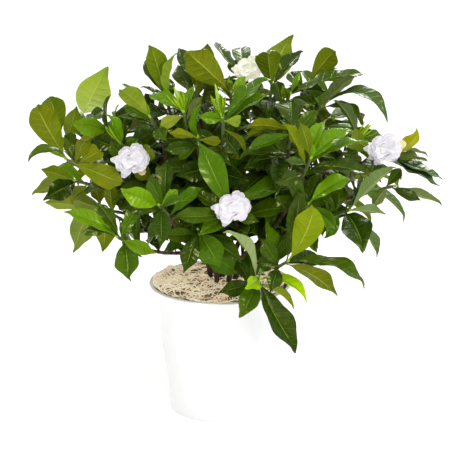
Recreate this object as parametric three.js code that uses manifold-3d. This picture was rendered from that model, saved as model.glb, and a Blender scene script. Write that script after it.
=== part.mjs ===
// Potted gardenia: a many-stemmed bush with white double blooms in a flared white pot.
// Millimetres, +Z up. The origin is the centre of the pot's flat base, and the viewer looks along +Y.
import * as THREE from 'three';
import { mergeVertices } from 'three/addons/utils/BufferGeometryUtils.js';
import Module from 'manifold-3d';

const wasm = await Module();
wasm.setup();

// Driving dimensions
const GAP = 0.3;
const POT = { rim: 100, height: 185, base: 70, flareStart: 150, flareRadius: 89, wall: 6, floor: 9, sides: 32,
  flare: [0.62, 0.38] };
const MIX = { top: 165.5, holeRadius: 31, holeDepth: 68 };
const MOSS = { bottom: 165.8, edgeTop: 180, crown: 3.5, relief: 2, rings: 5, sides: 24 };
const CROWN = { bottom: 99, shoulder: 140, top: 160, low: 10, wide: 26 };
const HUB = new THREE.Vector3(12, 0, 225);
const TWIG = { foot: 2.3, tip: 1.9, sides: 5 };
const BRANCH = { start: 3, end: 2.2, sides: 4, steps: 3, endShare: 0.12, last: 0.97 };
const BLADE = { petiole: 0.08, baseGrow: 1.15, tipGrow: 0.85, thickness: 1.5, petioleHalf: 1.1, fused: 0.3,
  rootShare: 0.45, bow: 1.35, handles: [0.33, 0.72], twistFrom: 0.3 };
const LEAF_STEPS = [0, 0.18, 0.42, 0.66, 0.87, 1];
const SLIM_STEPS = [0, 0.22, 0.54, 0.84, 1];
const WIDE_LEAF = 28;
const SLIM_LEAF = 16;
const PLAIN_STEPS = [0, 0.3, 0.72, 1];
const YOUNG_STEPS = [0, 0.45, 1];
const YOUNG = { length: [20, 36], wide: [6.5, 9], spread: [12, 34], jitter: 0.6, rolls: [0, 40, -40] };
const BUD = { radii: [1.5, 2.6, 3.3, 2.4, 0.6], steps: [0, 0.2, 0.42, 0.72, 1], sides: 5, toward: 3 };
const CLEARANCE = 1.9;
const FUSED_TOLERANCE = 0.1;
const GROOM = { shortest: 0.75, turnLimit: 0.5, passes: 12 };
const POT_CLEARANCE = 3;
const SEEDS = { seen: 40, ruled: 60, young: 80, back: 100 };

// The reference view: a place is given by its pixel in a 450 pixel wide picture and by how far it
// stands toward the viewer, in millimetres, from the plane through the look point.
const VIEW = { centre: 225, focal: 1800, distance: 2500, tiltDeg: 16.2,
  look: new THREE.Vector3(6.7, 0, 266.4) };
const TILT = THREE.MathUtils.degToRad(VIEW.tiltDeg);
const RIGHT = new THREE.Vector3(1, 0, 0);
const UPWARD = new THREE.Vector3(0, Math.sin(TILT), Math.cos(TILT));
const TOWARD = new THREE.Vector3(0, -Math.cos(TILT), Math.sin(TILT));
const WORLD_UP = new THREE.Vector3(0, 0, 1);
const degrees = THREE.MathUtils.degToRad;

function seen([px, py], toward) {
  const scale = (VIEW.distance - toward) / VIEW.focal;
  return VIEW.look.clone()
    .addScaledVector(RIGHT, (px - VIEW.centre) * scale)
    .addScaledVector(UPWARD, (VIEW.centre - py) * scale)
    .addScaledVector(TOWARD, toward);
}

function towardOf(point) {
  return point.clone().sub(VIEW.look).dot(TOWARD);
}

function pixelOf(point) {
  const from = point.clone().sub(VIEW.look);
  const scale = VIEW.focal / (VIEW.distance - from.dot(TOWARD));
  return [VIEW.centre + from.dot(RIGHT) * scale, VIEW.centre - from.dot(UPWARD) * scale];
}

// Park-Miller draws: the same seed always gives the same numbers
function draws(seed) {
  let state = (seed * 7919 + 104729) % 2147483647;
  const next = () => {
    state = (state * 16807) % 2147483647;
    return state / 2147483647;
  };
  next();
  next();
  return (low, high) => low + (high - low) * next();
}

// A leaf as the viewer sees it: the pixel of its tip and the width that shows, in millimetres. The
// upper side faces the viewer in `upper`, the underside in `under`. `at` is how far below the top of
// the twig it grows, `lean` is 1 for a tip nearer to the viewer than its foot, -1 for one farther and
// less for one that lies flatter to the view, and `curve` is how far it bends to the left on its way
// to the tip, as a share of its length.
const upper = (tip, wide, more = {}) => ({ side: 1, tip, wide, ...more });
const under = (tip, wide, more = {}) => ({ side: -1, tip, wide, ...more });

// Shoots that the front view shows. `top` is the pixel of the twig's top and `toward` its depth.
const SHOOTS = [
  { name: 'bloom_centre', top: [232, 209], toward: 158, axis: [0.0, 0.25, 0.97],
    twig: 34, bloom: true, leaves: [
    upper([199, 140], 36, { at: 8, lean: 0.3, curve: 0.04 }), upper([298, 186], 23, { at: 10 }),
    upper([276, 170], 21, { at: 22 }), upper([171, 217], 23, { at: 16, curve: 0.1 }),
    upper([259, 222], 18, { at: 8, lean: 1 }), upper([257, 176], 25, { at: 18 }),
    upper([190, 192], 17, { at: 24 }), upper([198, 236], 20, { at: 20 })] },
  { name: 'bloom_left', top: [131, 161], toward: 118, axis: [-0.25, 0.2, 0.95],
    twig: 34, bloom: true, leaves: [
    upper([110, 139], 20, { at: 14 }), under([152, 180], 24, { at: 12 }),
    under([151, 147], 24, { at: 14, lean: 1 }), upper([104, 158], 20, { at: 22 }),
    upper([170, 160], 22, { at: 20 })] },
  { name: 'bloom_right', top: [384, 150], toward: 84, axis: [0.3, 0.15, 0.94],
    twig: 34, bloom: true, leaves: [
    under([417, 126], 19, { at: 10, curve: -0.42 }), upper([430, 155], 7, { at: 10 }),
    upper([429, 161], 13, { at: 12, arch: 0.04, curve: -0.1 }),
    upper([444, 179], 11, { at: 14, arch: 0.03, curve: -0.12 }),
    upper([441, 186], 12, { at: 16, arch: 0.03, curve: -0.1 }), under([348, 135], 28, { at: 12 }),
    upper([371, 176], 24, { at: 16 })] },
  { name: 'bloom_top', top: [248, 70], toward: 20, axis: [0.05, 0.5, 0.86],
    twig: 30, bloom: true, leaves: [
    upper([242, 47], 28, { at: 10 }), upper([259, 56], 17, { at: 12 }),
    upper([220, 43], 13, { at: 8, curve: 0.45 }), upper([229, 60], 18, { at: 14 }),
    upper([236, 98], 26, { at: 12 }), upper([262, 98], 26, { at: 12 })] },
  { name: 'rim_right', top: [259, 277], toward: 128, axis: [0.25, 0.3, 0.85],
    twig: 36, young: 1, leaves: [
    upper([298, 352], 32, { at: 6, arch: 0.04, curve: -0.1 }), upper([246, 289], 22, { lean: 1 }),
    upper([240, 318], 29, { at: 8 }), upper([266, 216], 21, { curve: -0.06 }),
    under([222, 230], 14, { arch: 0.16 }), upper([308, 303], 12, { arch: 0.2 }),
    upper([218, 292], 24, { at: 14 }), under([295, 309], 9, { at: 18 }),
    upper([236, 258], 20, { at: 16 })] },
  { name: 'low_right', top: [288, 261], toward: 160, axis: [0.35, 0.25, 0.8], twig: 34, leaves: [
    under([313, 204], 40, { curve: -0.1 }), upper([300, 187], 25, { at: 3 }),
    upper([368, 286], 17, { arch: 0.12, lean: 1 }), under([338, 296], 21, { at: 6 }),
    upper([322, 262], 24, { at: 14, lean: -1 }), upper([256, 262], 22, { at: 12 }),
    upper([262, 238], 22, { at: 16 }), upper([270, 291], 22, { at: 16 })] },
  { name: 'mid_right', top: [308, 204], toward: 152, axis: [0.15, 0.45, 0.8], twig: 36, leaves: [
    upper([351, 178], 22), upper([337, 228], 22), upper([286, 226], 20, { at: 14 }),
    upper([322, 172], 20, { at: 12 }), upper([284, 168], 22, { at: 16 }),
    upper([300, 176], 16, { at: 10 }), upper([271, 214], 24, { at: 18 }),
    upper([276, 196], 20, { at: 24 }), upper([316, 253], 20, { at: 14 })] },
  { name: 'drop_right', top: [350, 210], toward: 120, axis: [0.55, 0.2, 0.7], twig: 34, leaves: [
    under([396, 165], 19), upper([361, 173], 14, { at: 4 }), under([386, 214], 12),
    upper([364, 252], 44, { curve: 0.05 }), under([379, 257], 8, { at: 6 }),
    upper([325, 239], 18, { at: 8 }), upper([330, 192], 20, { at: 12 })] },
  { name: 'far_right', top: [394, 186], toward: 60, axis: [0.8, 0.2, 0.4], twig: 34, leaves: [
    under([443, 204], 12, { arch: 0.04, curve: -0.08 }),
    upper([421, 200], 15, { arch: 0.04, curve: -0.06 }), under([372, 208], 18, { at: 8 }),
    upper([402, 168], 16, { at: 4 }), upper([361, 190], 24, { at: 12 })] },
  { name: 'high_mid_right', top: [311, 158], toward: 178, axis: [0.25, 0.6, 0.7],
    twig: 36, young: 1, leaves: [
    under([300, 122], 19), upper([326, 120], 18), upper([353, 128], 22), upper([369, 141], 14),
    upper([284, 160], 11, { lean: 1 }), upper([371, 175], 19, { at: 8 }),
    under([281, 119], 15, { lean: 1 }), upper([276, 184], 22, { at: 14 }),
    upper([345, 168], 16, { at: 12 })] },
  { name: 'broad_right', top: [294, 129], toward: 140, axis: [0.2, 0.7, 0.6], twig: 34, leaves: [
    upper([291, 98], 39), under([245, 127], 13, { lean: 1 }), upper([246, 152], 19),
    under([244, 140], 15, { at: 6, arch: 0.22 }), upper([318, 110], 20, { at: 8 }),
    upper([252, 118], 22, { at: 12 }), upper([330, 128], 20, { at: 12 })] },
  { name: 'back_right_arch', top: [322, 107], toward: 35, axis: [0.5, 0.6, 0.2], twig: 34, leaves: [
    upper([390, 122], 17, { arch: 0.32 }), upper([364, 126], 15, { arch: 0.25 }),
    under([357, 75], 17, { lean: 1 }), upper([300, 92], 20, { at: 10 })] },
  { name: 'grey_right', top: [358, 138], toward: 70, axis: [0.5, 0.55, 0.5],
    twig: 34, bud: [371, 125], leaves: [
    under([333, 99], 15), upper([380, 136], 20), upper([332, 140], 22, { at: 8 }),
    upper([374, 134], 18, { at: 6 }), upper([350, 160], 20, { at: 12 })] },
  { name: 'long_right', top: [290, 94], toward: 80, axis: [0.35, 0.75, 0.4],
    twig: 34, young: 1, leaves: [
    upper([364, 73], 17, { lean: -1, arch: 0.05 }), upper([316, 104], 18, { at: 10 }),
    upper([283, 86], 13, { lean: 1 }), upper([304, 112], 20, { at: 8 }),
    upper([276, 124], 24, { at: 12 }), upper([276, 80], 20, { at: 14 })] },
  { name: 'top_right', top: [309, 82], toward: 18, axis: [0.35, 0.85, 0.1], twig: 34, leaves: [
    under([336, 50], 32, { curve: 0.04 }), upper([338, 68], 16), upper([325, 92], 20, { at: 8 }),
    upper([290, 72], 22, { at: 6 }), upper([300, 106], 24, { at: 10 })] },
  { name: 'top_mid', top: [272, 84], toward: 24, axis: [0.1, 0.95, 0.2], twig: 34, leaves: [
    under([291, 35], 44, { lean: -1, curve: 0.05 }), upper([304, 50], 20), under([267, 52], 38),
    under([252, 98], 24, { at: 8 }), upper([284, 114], 26, { at: 10 }),
    upper([264, 116], 26, { at: 14 })] },
  { name: 'crest_young', top: [231, 92], toward: 96, axis: [0.0, 0.9, 0.45],
    twig: 36, young: 2, leaves: [
    under([184, 50], 42), upper([246, 76], 13), upper([247, 91], 12, { lean: 1 }), upper([205, 79], 11),
    upper([224, 78], 9, { at: 4 }), upper([201, 93], 18, { at: 8 }), upper([262, 88], 20, { at: 10 }),
    upper([246, 118], 26, { at: 14 }), upper([216, 122], 24, { at: 16 })] },
  { name: 'crest_back', top: [196, 88], toward: 45, axis: [-0.1, 0.95, 0.1], twig: 34, leaves: [
    upper([178, 47], 22), under([209, 43], 26), upper([176, 66], 26, { at: 6 }),
    upper([206, 68], 22, { at: 8 }), under([190, 50], 22, { at: 8 }), upper([176, 112], 26, { at: 10 }),
    upper([206, 118], 28, { at: 12 }), upper([224, 104], 26, { at: 10 })] },
  { name: 'crest_left', top: [166, 98], toward: 74, axis: [-0.25, 0.9, 0.35],
    twig: 36, young: 1, leaves: [
    under([150, 44], 31), upper([142, 61], 25, { curve: -0.08 }), under([176, 51], 14),
    upper([159, 66], 11), upper([141, 86], 9, { at: 8 }), upper([170, 78], 20, { at: 6 }),
    upper([146, 112], 24, { at: 8 }), upper([156, 108], 18, { at: 4 }),
    upper([176, 126], 26, { at: 12 }), upper([190, 104], 24, { at: 10 })] },
  { name: 'bud_mid_left', top: [184, 112], toward: 132, axis: [-0.1, 0.8, 0.6],
    twig: 36, young: 1, bud: [174, 87], leaves: [
    upper([150, 94], 22), under([159, 126], 17, { lean: 1 }), upper([171, 88], 12),
    upper([195, 85], 12), under([203, 96], 13, { at: 3 }), upper([180, 80], 14, { at: 8 })] },
  { name: 'bud_mid', top: [223, 118], toward: 152, axis: [0.0, 0.8, 0.6],
    twig: 36, young: 1, bud: [215, 84], leaves: [
    upper([199, 116], 17, { lean: 1 }), under([241, 120], 16, { lean: 1 }),
    upper([271, 77], 23, { at: 5 }), upper([269, 94], 14, { lean: 1 }), upper([213, 97], 15, { at: 4 }),
    under([245, 153], 10, { at: 2, curve: 0.12 }), upper([239, 155], 22, { at: 12, lean: 1 })] },
  { name: 'curled_mid', top: [198, 137], toward: 132, axis: [-0.05, 0.6, 0.75], twig: 36, leaves: [
    under([169, 133], 14, { lean: 1 }), under([222, 141], 14, { lean: 1 }),
    upper([150, 141], 20, { at: 8 }), upper([163, 150], 20, { at: 12 }),
    upper([178, 160], 13, { at: 4 }), upper([200, 103], 12), under([240, 160], 16, { at: 10 })] },
  { name: 'spray_left', top: [150, 117], toward: 122, axis: [-0.4, 0.7, 0.6],
    twig: 36, young: 1, leaves: [
    upper([122, 83], 13), under([119, 89], 26), upper([123, 105], 17),
    upper([166, 140], 22, { at: 14 }), upper([115, 118], 11, { at: 6, lean: 1 }),
    upper([139, 140], 20, { at: 10, lean: 1 }), upper([176, 128], 18, { at: 12 })] },
  { name: 'bud_left', top: [121, 144], toward: 112, axis: [-0.35, 0.7, 0.6],
    twig: 34, young: 1, bud: [112, 121], leaves: [
    upper([107, 113], 12), upper([126, 103], 24, { at: 2 }), upper([138, 139], 15, { lean: 1 }),
    upper([92, 138], 22, { at: 6, lean: 1 }), upper([100, 152], 22, { at: 10, lean: 1 }),
    upper([118, 104], 10)] },
  { name: 'arch_left', top: [107, 129], toward: 84, axis: [-0.5, 0.7, 0.45], twig: 34, leaves: [
    upper([69, 123], 27, { arch: 0.2, lean: 1 }), upper([92, 148], 20, { at: 6 }), upper([110, 94], 8),
    under([162, 123], 11, { at: 4, lean: 1 })] },
  { name: 'pale_left', top: [82, 114], toward: -6, axis: [-0.45, 0.75, -0.1], twig: 32, leaves: [
    under([107, 67], 50, { lean: -1, curve: 0.03 }), upper([96, 126], 22, { at: 6 }),
    upper([104, 110], 18, { at: 8 })] },
  { name: 'left_high', top: [60, 138], toward: 44, axis: [-0.75, 0.55, 0.2], twig: 34, leaves: [
    under([49, 95], 34), under([30, 113], 22, { lean: -1 }), under([88, 152], 24),
    under([77, 106], 28, { lean: -1 }), upper([70, 132], 18, { at: 8 }),
    under([98, 134], 24, { at: 10 })] },
  { name: 'left_crown', top: [66, 159], toward: 98, axis: [-0.75, 0.45, 0.5],
    twig: 36, young: 1, leaves: [
    under([36, 104], 42, { curve: 0.04 }), upper([26, 160], 12, { arch: 0.22, lean: 1 }),
    under([124, 184], 34, { lean: 1 }), under([84, 140], 20, { at: 6 }),
    under([102, 150], 26, { at: 10 }), upper([52, 136], 16, { at: 8 })] },
  { name: 'left_low', top: [76, 181], toward: 58, axis: [-0.8, 0.2, 0.4], twig: 34, leaves: [
    upper([43, 199], 30), under([40, 169], 20), under([31, 195], 20, { lean: -1 }),
    upper([58, 165], 14, { at: 4 }), under([62, 206], 26, { at: 8 }), upper([98, 190], 24, { at: 8 }),
    under([106, 176], 26, { at: 12 }), under([100, 205], 20, { at: 8 })] },
  { name: 'left_skirt', top: [96, 209], toward: 30, axis: [-0.7, 0.1, 0.2], twig: 34, leaves: [
    under([44, 203], 22), under([76, 253], 38, { curve: -0.16 }), under([63, 178], 24),
    under([104, 252], 34), under([72, 198], 24, { at: 6 }), under([110, 180], 18, { at: 8 }),
    under([84, 218], 24, { at: 10 })] },
  { name: 'low_left', top: [117, 237], toward: 132, axis: [-0.5, 0.3, 0.75],
    twig: 36, young: 1, leaves: [
    upper([63, 212], 18, { lean: 1 }), upper([96, 202], 14), upper([141, 203], 20),
    upper([157, 254], 20, { arch: 0.16 }), upper([128, 281], 36, { curve: 0.06 }),
    upper([82, 231], 12, { at: 6, lean: -1 })] },
  { name: 'upright_left', top: [112, 214], toward: 70, axis: [-0.6, 0.35, 0.4], twig: 34, leaves: [
    under([109, 183], 20), upper([84, 236], 22, { at: 6 }), upper([142, 258], 17, { at: 8 }),
    upper([134, 232], 22, { at: 8 })] },
  { name: 'folded_left', top: [159, 205], toward: 162, axis: [-0.3, 0.35, 0.85], twig: 36, leaves: [
    upper([120, 190], 28, { lean: 1 }), upper([178, 189], 14), upper([187, 199], 14, { lean: 1 }),
    upper([162, 246], 28), upper([148, 176], 20, { at: 12 }), upper([124, 208], 20, { at: 6 }),
    upper([168, 157], 24, { at: 10 })] },
  { name: 'low_mid', top: [198, 229], toward: 118, axis: [-0.1, 0.3, 0.8], twig: 34, leaves: [
    upper([184, 273], 25), upper([221, 267], 36, { lean: 1 }), upper([243, 262], 24, { at: 12 }),
    upper([204, 264], 20, { at: 14 }), upper([203, 252], 20, { at: 6 }),
    upper([236, 248], 24, { at: 6, lean: 1 }), upper([163, 236], 22, { at: 10 }),
    upper([250, 226], 22, { at: 12 })] },
  { name: 'dark_mid', top: [214, 166], toward: 78, axis: [0.0, 0.5, 0.8], twig: 34, fill: 4, leaves: [
    upper([176, 176], 30, { lean: 1 }), upper([250, 180], 30, { lean: 1 }), upper([222, 202], 28)] },
  { name: 'dark_right', top: [276, 212], toward: 72, axis: [0.2, 0.4, 0.8], twig: 34, fill: 4, leaves: [
    upper([240, 226], 30, { lean: 1 }), upper([300, 240], 30, { lean: 1 }), upper([278, 250], 30),
    upper([316, 214], 28)] },
  { name: 'dark_left', top: [168, 186], toward: 66, axis: [-0.25, 0.4, 0.8],
    twig: 34, fill: 4, leaves: [
    upper([136, 208], 30, { lean: 1 }), upper([190, 222], 30), upper([166, 222], 28)] },
  { name: 'dark_high', top: [278, 150], toward: 84, axis: [0.1, 0.6, 0.7], twig: 34, fill: 4, leaves: [
    upper([244, 168], 30, { lean: 1 }), upper([312, 172], 30, { lean: 1 }), upper([276, 196], 30),
    upper([304, 136], 28)] },
];

// Shoots that the front view hides: they fill the far side of the dome, one golden angle apart
const DOME = { centre: new THREE.Vector3(18, 12, 322), reach: new THREE.Vector3(190, 176, 128),
  shoots: 14, low: -0.36, high: 0.86, sweep: 1.02, golden: 0.6180339887, near: [0.86, 1] };
const BACK = { leaves: 7, whorl: 3, spread: [48, 80], length: [76, 100], wide: [0.36, 0.44], step: 8,
  twig: 40, rise: 0.35, seedFrom: 500 };
const RULED = { first: 3, jitter: 0.3, lower: 8, perShift: 0.5, droop: 0.1, facing: 0.6 };

// Woody stems: where each leaves the soil, and where it ends in its forks
const STEMS = [
  { foot: [-14, 5], fork: [-72, -6, 285], radius: 4 },
  { foot: [-5, -17], fork: [-48, -74, 268], radius: 3.6 },
  { foot: [12, -18], fork: [52, -84, 262], radius: 3.8 },
  { foot: [22, -1], fork: [98, -18, 280], radius: 4 },
  { foot: [14, 19], fork: [70, 72, 288], radius: 3.6 },
  { foot: [-9, 21], fork: [-56, 74, 288], radius: 3.6 },
  { foot: [2, 1], fork: [12, -4, 322], radius: 4.2 },
];
const STEM = { buried: 128, straight: 194, forkRadius: 3.1, firstFork: 0.05, sides: 5 };

// Petals: where each tip lies from the bloom's heart, seen from the front (right, up, toward)
const PETALS = [
  { tip: [8, 19, 3], wide: 20, cup: 0.12 }, { tip: [21, 8, 1], wide: 21, cup: 0.12 },
  { tip: [18, -8, 0], wide: 19, cup: 0.12 }, { tip: [-9, -19, 0], wide: 18, cup: 0.08 },
  { tip: [-22, -4, 0], wide: 20, cup: 0.1 }, { tip: [-12, 11, 2], wide: 20, cup: 0.12 },
  { tip: [12, 8, 10], wide: 15, cup: 0.2 }, { tip: [7, -7, 10], wide: 14, cup: 0.2 },
  { tip: [-10, -8, 11], wide: 15, cup: 0.2 }, { tip: [-4, 7, 12], wide: 14, cup: 0.2 },
];
const PETAL_STEPS = [0, 0.55, 1];
const BLOOM = { seat: 7, seatWide: 4.2, petalThick: 1.1, endShare: 0.5, stalk: 7 };

// Solids from closed meshes
function closedSolid(geometry) {
  const bare = geometry.clone();
  for (const name of Object.keys(bare.attributes)) {
    if (name !== 'position') bare.deleteAttribute(name);
  }
  const merged = mergeVertices(bare, 1e-4);
  const mesh = new wasm.Mesh({
    numProp: 3,
    vertProperties: new Float32Array(merged.attributes.position.array),
    triVerts: new Uint32Array(merged.index.array),
  });
  mesh.merge();
  return new wasm.Manifold(mesh);
}

// Closes up the short edges and turns the slivers that are left where solids were joined
function groomed(points, faces) {
  const normalOf = ([a, b, c]) => new THREE.Vector3().subVectors(points[b], points[a])
    .cross(new THREE.Vector3().subVectors(points[c], points[a]));
  const facesAt = () => {
    const around = points.map(() => []);
    faces.forEach((face) => face.forEach((corner) => around[corner].push(face)));
    return around;
  };
  const ringOf = (around, corner) => new Set(around[corner].flat().filter((other) => other !== corner));

  for (let pass = 0; pass < GROOM.passes; pass += 1) {
    const around = facesAt();
    const touched = new Set();
    let changed = false;
    const edges = faces.flatMap((face) => face.map((a, k) => [a, face[(k + 1) % 3]]))
      .filter(([a, b]) => a < b)
      .map(([a, b]) => [a, b, points[a].distanceTo(points[b])])
      .filter((edge) => edge[2] < GROOM.shortest).sort((one, other) => one[2] - other[2]);
    for (const [a, b] of edges) {
      const ringA = ringOf(around, a);
      const ringB = ringOf(around, b);
      const shared = [...ringA].filter((corner) => ringB.has(corner));
      if (touched.has(a) || touched.has(b) || shared.length !== 2) continue;
      const kept = [...around[a], ...around[b]].filter((face) => !(face.includes(a) && face.includes(b)));
      const before = kept.map(normalOf);
      const [oldA, oldB] = [points[a], points[b]];
      const middle = oldA.clone().lerp(oldB, 0.5);
      points[a] = middle;
      points[b] = middle;
      const turned = (face, i) => normalOf(face).normalize().dot(before[i].normalize()) < GROOM.turnLimit;
      if (kept.some(turned)) {
        points[a] = oldA;
        points[b] = oldB;
        continue;
      }
      faces = faces.filter((face) => !(face.includes(a) && face.includes(b)));
      faces.filter((face) => face.includes(b)).forEach((face) => face.splice(face.indexOf(b), 1, a));
      [a, b, ...ringA, ...ringB].forEach((corner) => touched.add(corner));
      changed = true;
    }
    if (!changed) break;
  }
  return { points, faces };
}

function geometryOf(solid) {
  const mesh = solid.getMesh();
  const corners = Array.from({ length: mesh.numVert }, (_, i) => new THREE.Vector3().fromArray(
    mesh.vertProperties, mesh.numProp * i));
  const triangles = Array.from({ length: mesh.numTri }, (_, i) => [...mesh.triVerts.slice(3 * i, 3 * i + 3)]);
  const { points, faces } = groomed(corners, triangles);
  const used = [...new Set(faces.flat())];
  const place = new Map(used.map((corner, i) => [corner, i]));
  const geometry = indexed(
    used.map((corner) => points[corner]), faces.flat().map((corner) => place.get(corner)));
  geometry.computeVertexNormals();
  return geometry;
}

function indexed(points, faces) {
  const geometry = new THREE.BufferGeometry();
  const numbers = points.flatMap((p) => [p.x, p.y, p.z]);
  geometry.setAttribute('position', new THREE.Float32BufferAttribute(numbers, 3));
  geometry.setIndex(faces);
  return geometry;
}

// Keeps the largest body, because a scrap may be cut loose where blades cross
function oneBody(solid) {
  const bodies = solid.asOriginal().simplify(FUSED_TOLERANCE).decompose();
  return bodies.reduce((best, body) => (body.volume() > best.volume() ? body : best));
}

// A ring-by-ring skin over sections that all have the same number of points, closed at both ends
function skin(sections) {
  const count = sections[0].length;
  const points = sections.flat();
  const faces = [];
  for (let s = 0; s + 1 < sections.length; s += 1) {
    for (let k = 0; k < count; k += 1) {
      const a = s * count + k;
      const b = s * count + ((k + 1) % count);
      faces.push(a, b, b + count, a, b + count, a + count);
    }
  }
  const last = (sections.length - 1) * count;
  for (let k = 1; k + 1 < count; k += 1) {
    faces.push(0, k + 1, k, last, last + k, last + k + 1);
  }
  return { points, faces };
}

// Tubes
function tubeSections(route, radii, sides, endAxis = null) {
  let normal = new THREE.Vector3(0.31, 0.83, 0.46);
  return route.map((point, i) => {
    const ahead = route[Math.min(i + 1, route.length - 1)];
    const behind = route[Math.max(i - 1, 0)];
    const along = endAxis && i === route.length - 1 ? endAxis : ahead.clone().sub(behind).normalize();
    normal = normal.clone().addScaledVector(along, -normal.dot(along)).normalize();
    const across = new THREE.Vector3().crossVectors(along, normal);
    return Array.from({ length: sides }, (_, k) => {
      const turn = (2 * Math.PI * k) / sides;
      return point.clone()
        .addScaledVector(normal, Math.cos(turn) * radii[i])
        .addScaledVector(across, Math.sin(turn) * radii[i]);
    });
  });
}

function bezier(a, b, c, d, t) {
  const s = 1 - t;
  return a.clone().multiplyScalar(s * s * s)
    .addScaledVector(b, 3 * s * s * t)
    .addScaledVector(c, 3 * s * t * t)
    .addScaledVector(d, t * t * t);
}

// Blades: a leaf or petal is a thin shell, V-folded along its midrib and arched from foot to tip
const PEAK_AT = BLADE.baseGrow / (BLADE.baseGrow + BLADE.tipGrow);
const PEAK = PEAK_AT ** BLADE.baseGrow * (1 - PEAK_AT) ** BLADE.tipGrow;

function leafOutline(t) {
  const s = Math.max(0, (t - BLADE.petiole) / (1 - BLADE.petiole));
  return (s ** BLADE.baseGrow * (1 - s) ** BLADE.tipGrow) / PEAK;
}

function petalOutline(t) {
  return Math.min(1, 0.28 + 1.15 * t) * (t > 0.8 ? 1 - (1 - BLOOM.endShare) * ((t - 0.8) / 0.2) ** 2 : 1);
}

function bladeRows(leaf, steps) {
  const along = leaf.tip.clone().sub(leaf.foot);
  const length = along.length();
  const side = new THREE.Vector3().crossVectors(along, leaf.up).normalize();
  const bow = length * leaf.arch * BLADE.bow;
  const [near, far] = BLADE.handles;
  const second = leaf.foot.clone().addScaledVector(along, near)
    .addScaledVector(leaf.up, bow).addScaledVector(side, leaf.sweep * length);
  const third = leaf.foot.clone().addScaledVector(along, far)
    .addScaledVector(leaf.up, bow).addScaledVector(side, leaf.sweep * length);
  const step = 1e-3;
  return steps.map((t) => {
    const mid = bezier(leaf.foot, second, third, leaf.tip, t);
    const after = bezier(leaf.foot, second, third, leaf.tip, Math.min(1, t + step));
    const before = bezier(leaf.foot, second, third, leaf.tip, Math.max(0, t - step));
    const tangent = after.sub(before).normalize();
    const upright = leaf.up.clone().addScaledVector(tangent, -leaf.up.dot(tangent)).normalize();
    const flat = new THREE.Vector3().crossVectors(tangent, upright);
    const turn = leaf.twist * (t - BLADE.twistFrom);
    const normal = upright.clone().multiplyScalar(Math.cos(turn)).addScaledVector(flat, Math.sin(turn));
    const across = new THREE.Vector3().crossVectors(normal, tangent);
    const half = Math.max(leaf.footHalf * (1 - t), 0.5 * leaf.wide * leaf.outline(t));
    const rise = Math.sin(leaf.fold) * half;
    const reach = Math.cos(leaf.fold) * half;
    return {
      mid, normal, across,
      left: mid.clone().addScaledVector(across, -reach).addScaledVector(normal, rise),
      right: mid.clone().addScaledVector(across, reach).addScaledVector(normal, rise),
    };
  });
}

// The blade's solid: each wing is split along the same diagonal on both faces
function bladeGeometry(rows, thickness, pointed) {
  const lens = rows.map((row, i) => {
    const share = i === 0 ? BLADE.rootShare : 1;
    return [
      row.mid.clone().lerp(row.left, share),
      row.mid.clone().addScaledVector(row.normal, -0.5 * share * thickness),
      row.mid.clone().lerp(row.right, share),
      row.mid.clone().addScaledVector(row.normal, 0.5 * share * thickness),
    ];
  });
  const body = pointed ? lens.slice(0, -1) : lens;
  const points = body.flat();
  const faces = [];
  const LEFT = 0;
  const BELOW = 1;
  const FAR = 2;
  const ABOVE = 3;
  for (let s = 0; s + 1 < body.length; s += 1) {
    const at = (corner, row) => (s + row) * 4 + corner;
    faces.push(at(LEFT, 0), at(BELOW, 0), at(BELOW, 1), at(LEFT, 0), at(BELOW, 1), at(LEFT, 1));
    faces.push(at(LEFT, 0), at(ABOVE, 1), at(ABOVE, 0), at(LEFT, 0), at(LEFT, 1), at(ABOVE, 1));
    faces.push(at(FAR, 0), at(BELOW, 1), at(BELOW, 0), at(FAR, 0), at(FAR, 1), at(BELOW, 1));
    faces.push(at(FAR, 0), at(ABOVE, 0), at(ABOVE, 1), at(FAR, 0), at(ABOVE, 1), at(FAR, 1));
  }
  faces.push(BELOW, LEFT, ABOVE, BELOW, ABOVE, FAR);
  const last = (body.length - 1) * 4;
  if (pointed) {
    const tip = points.push(rows[rows.length - 1].mid) - 1;
    [[LEFT, BELOW], [BELOW, FAR], [FAR, ABOVE], [ABOVE, LEFT]]
      .forEach(([a, b]) => faces.push(last + a, last + b, tip));
  } else {
    faces.push(last + LEFT, last + BELOW, last + ABOVE, last + BELOW, last + FAR, last + ABOVE);
  }
  return indexed(points, faces);
}

// Clearance: triangles as flat lists of nine numbers, with the box that holds them all
function shell(points, faces) {
  const triangles = [];
  const box = new THREE.Box3();
  for (let i = 0; i < faces.length; i += 3) {
    const corners = [0, 1, 2].map((k) => points[faces[i + k]]);
    triangles.push(corners.flatMap((p) => [p.x, p.y, p.z]));
  }
  points.forEach((p) => box.expandByPoint(p));
  return { triangles, box };
}

function bladeMiddle(rows) {
  const points = rows.flatMap((row) => [row.left, row.mid, row.right]);
  const faces = [];
  for (let s = 0; s + 1 < rows.length; s += 1) {
    const a = 3 * s;
    faces.push(a, a + 1, a + 4, a, a + 4, a + 3, a + 2, a + 4, a + 1, a + 2, a + 5, a + 4);
  }
  return shell(points, faces);
}

// The blade without the part of its stalk that is fused to the twig
function pastFoot(rows) {
  const [first, second, ...rest] = rows;
  const near = { ...first };
  for (const part of ['mid', 'left', 'right']) {
    near[part] = first[part].clone().lerp(second[part], BLADE.fused);
  }
  return [near, second, ...rest];
}

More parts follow.
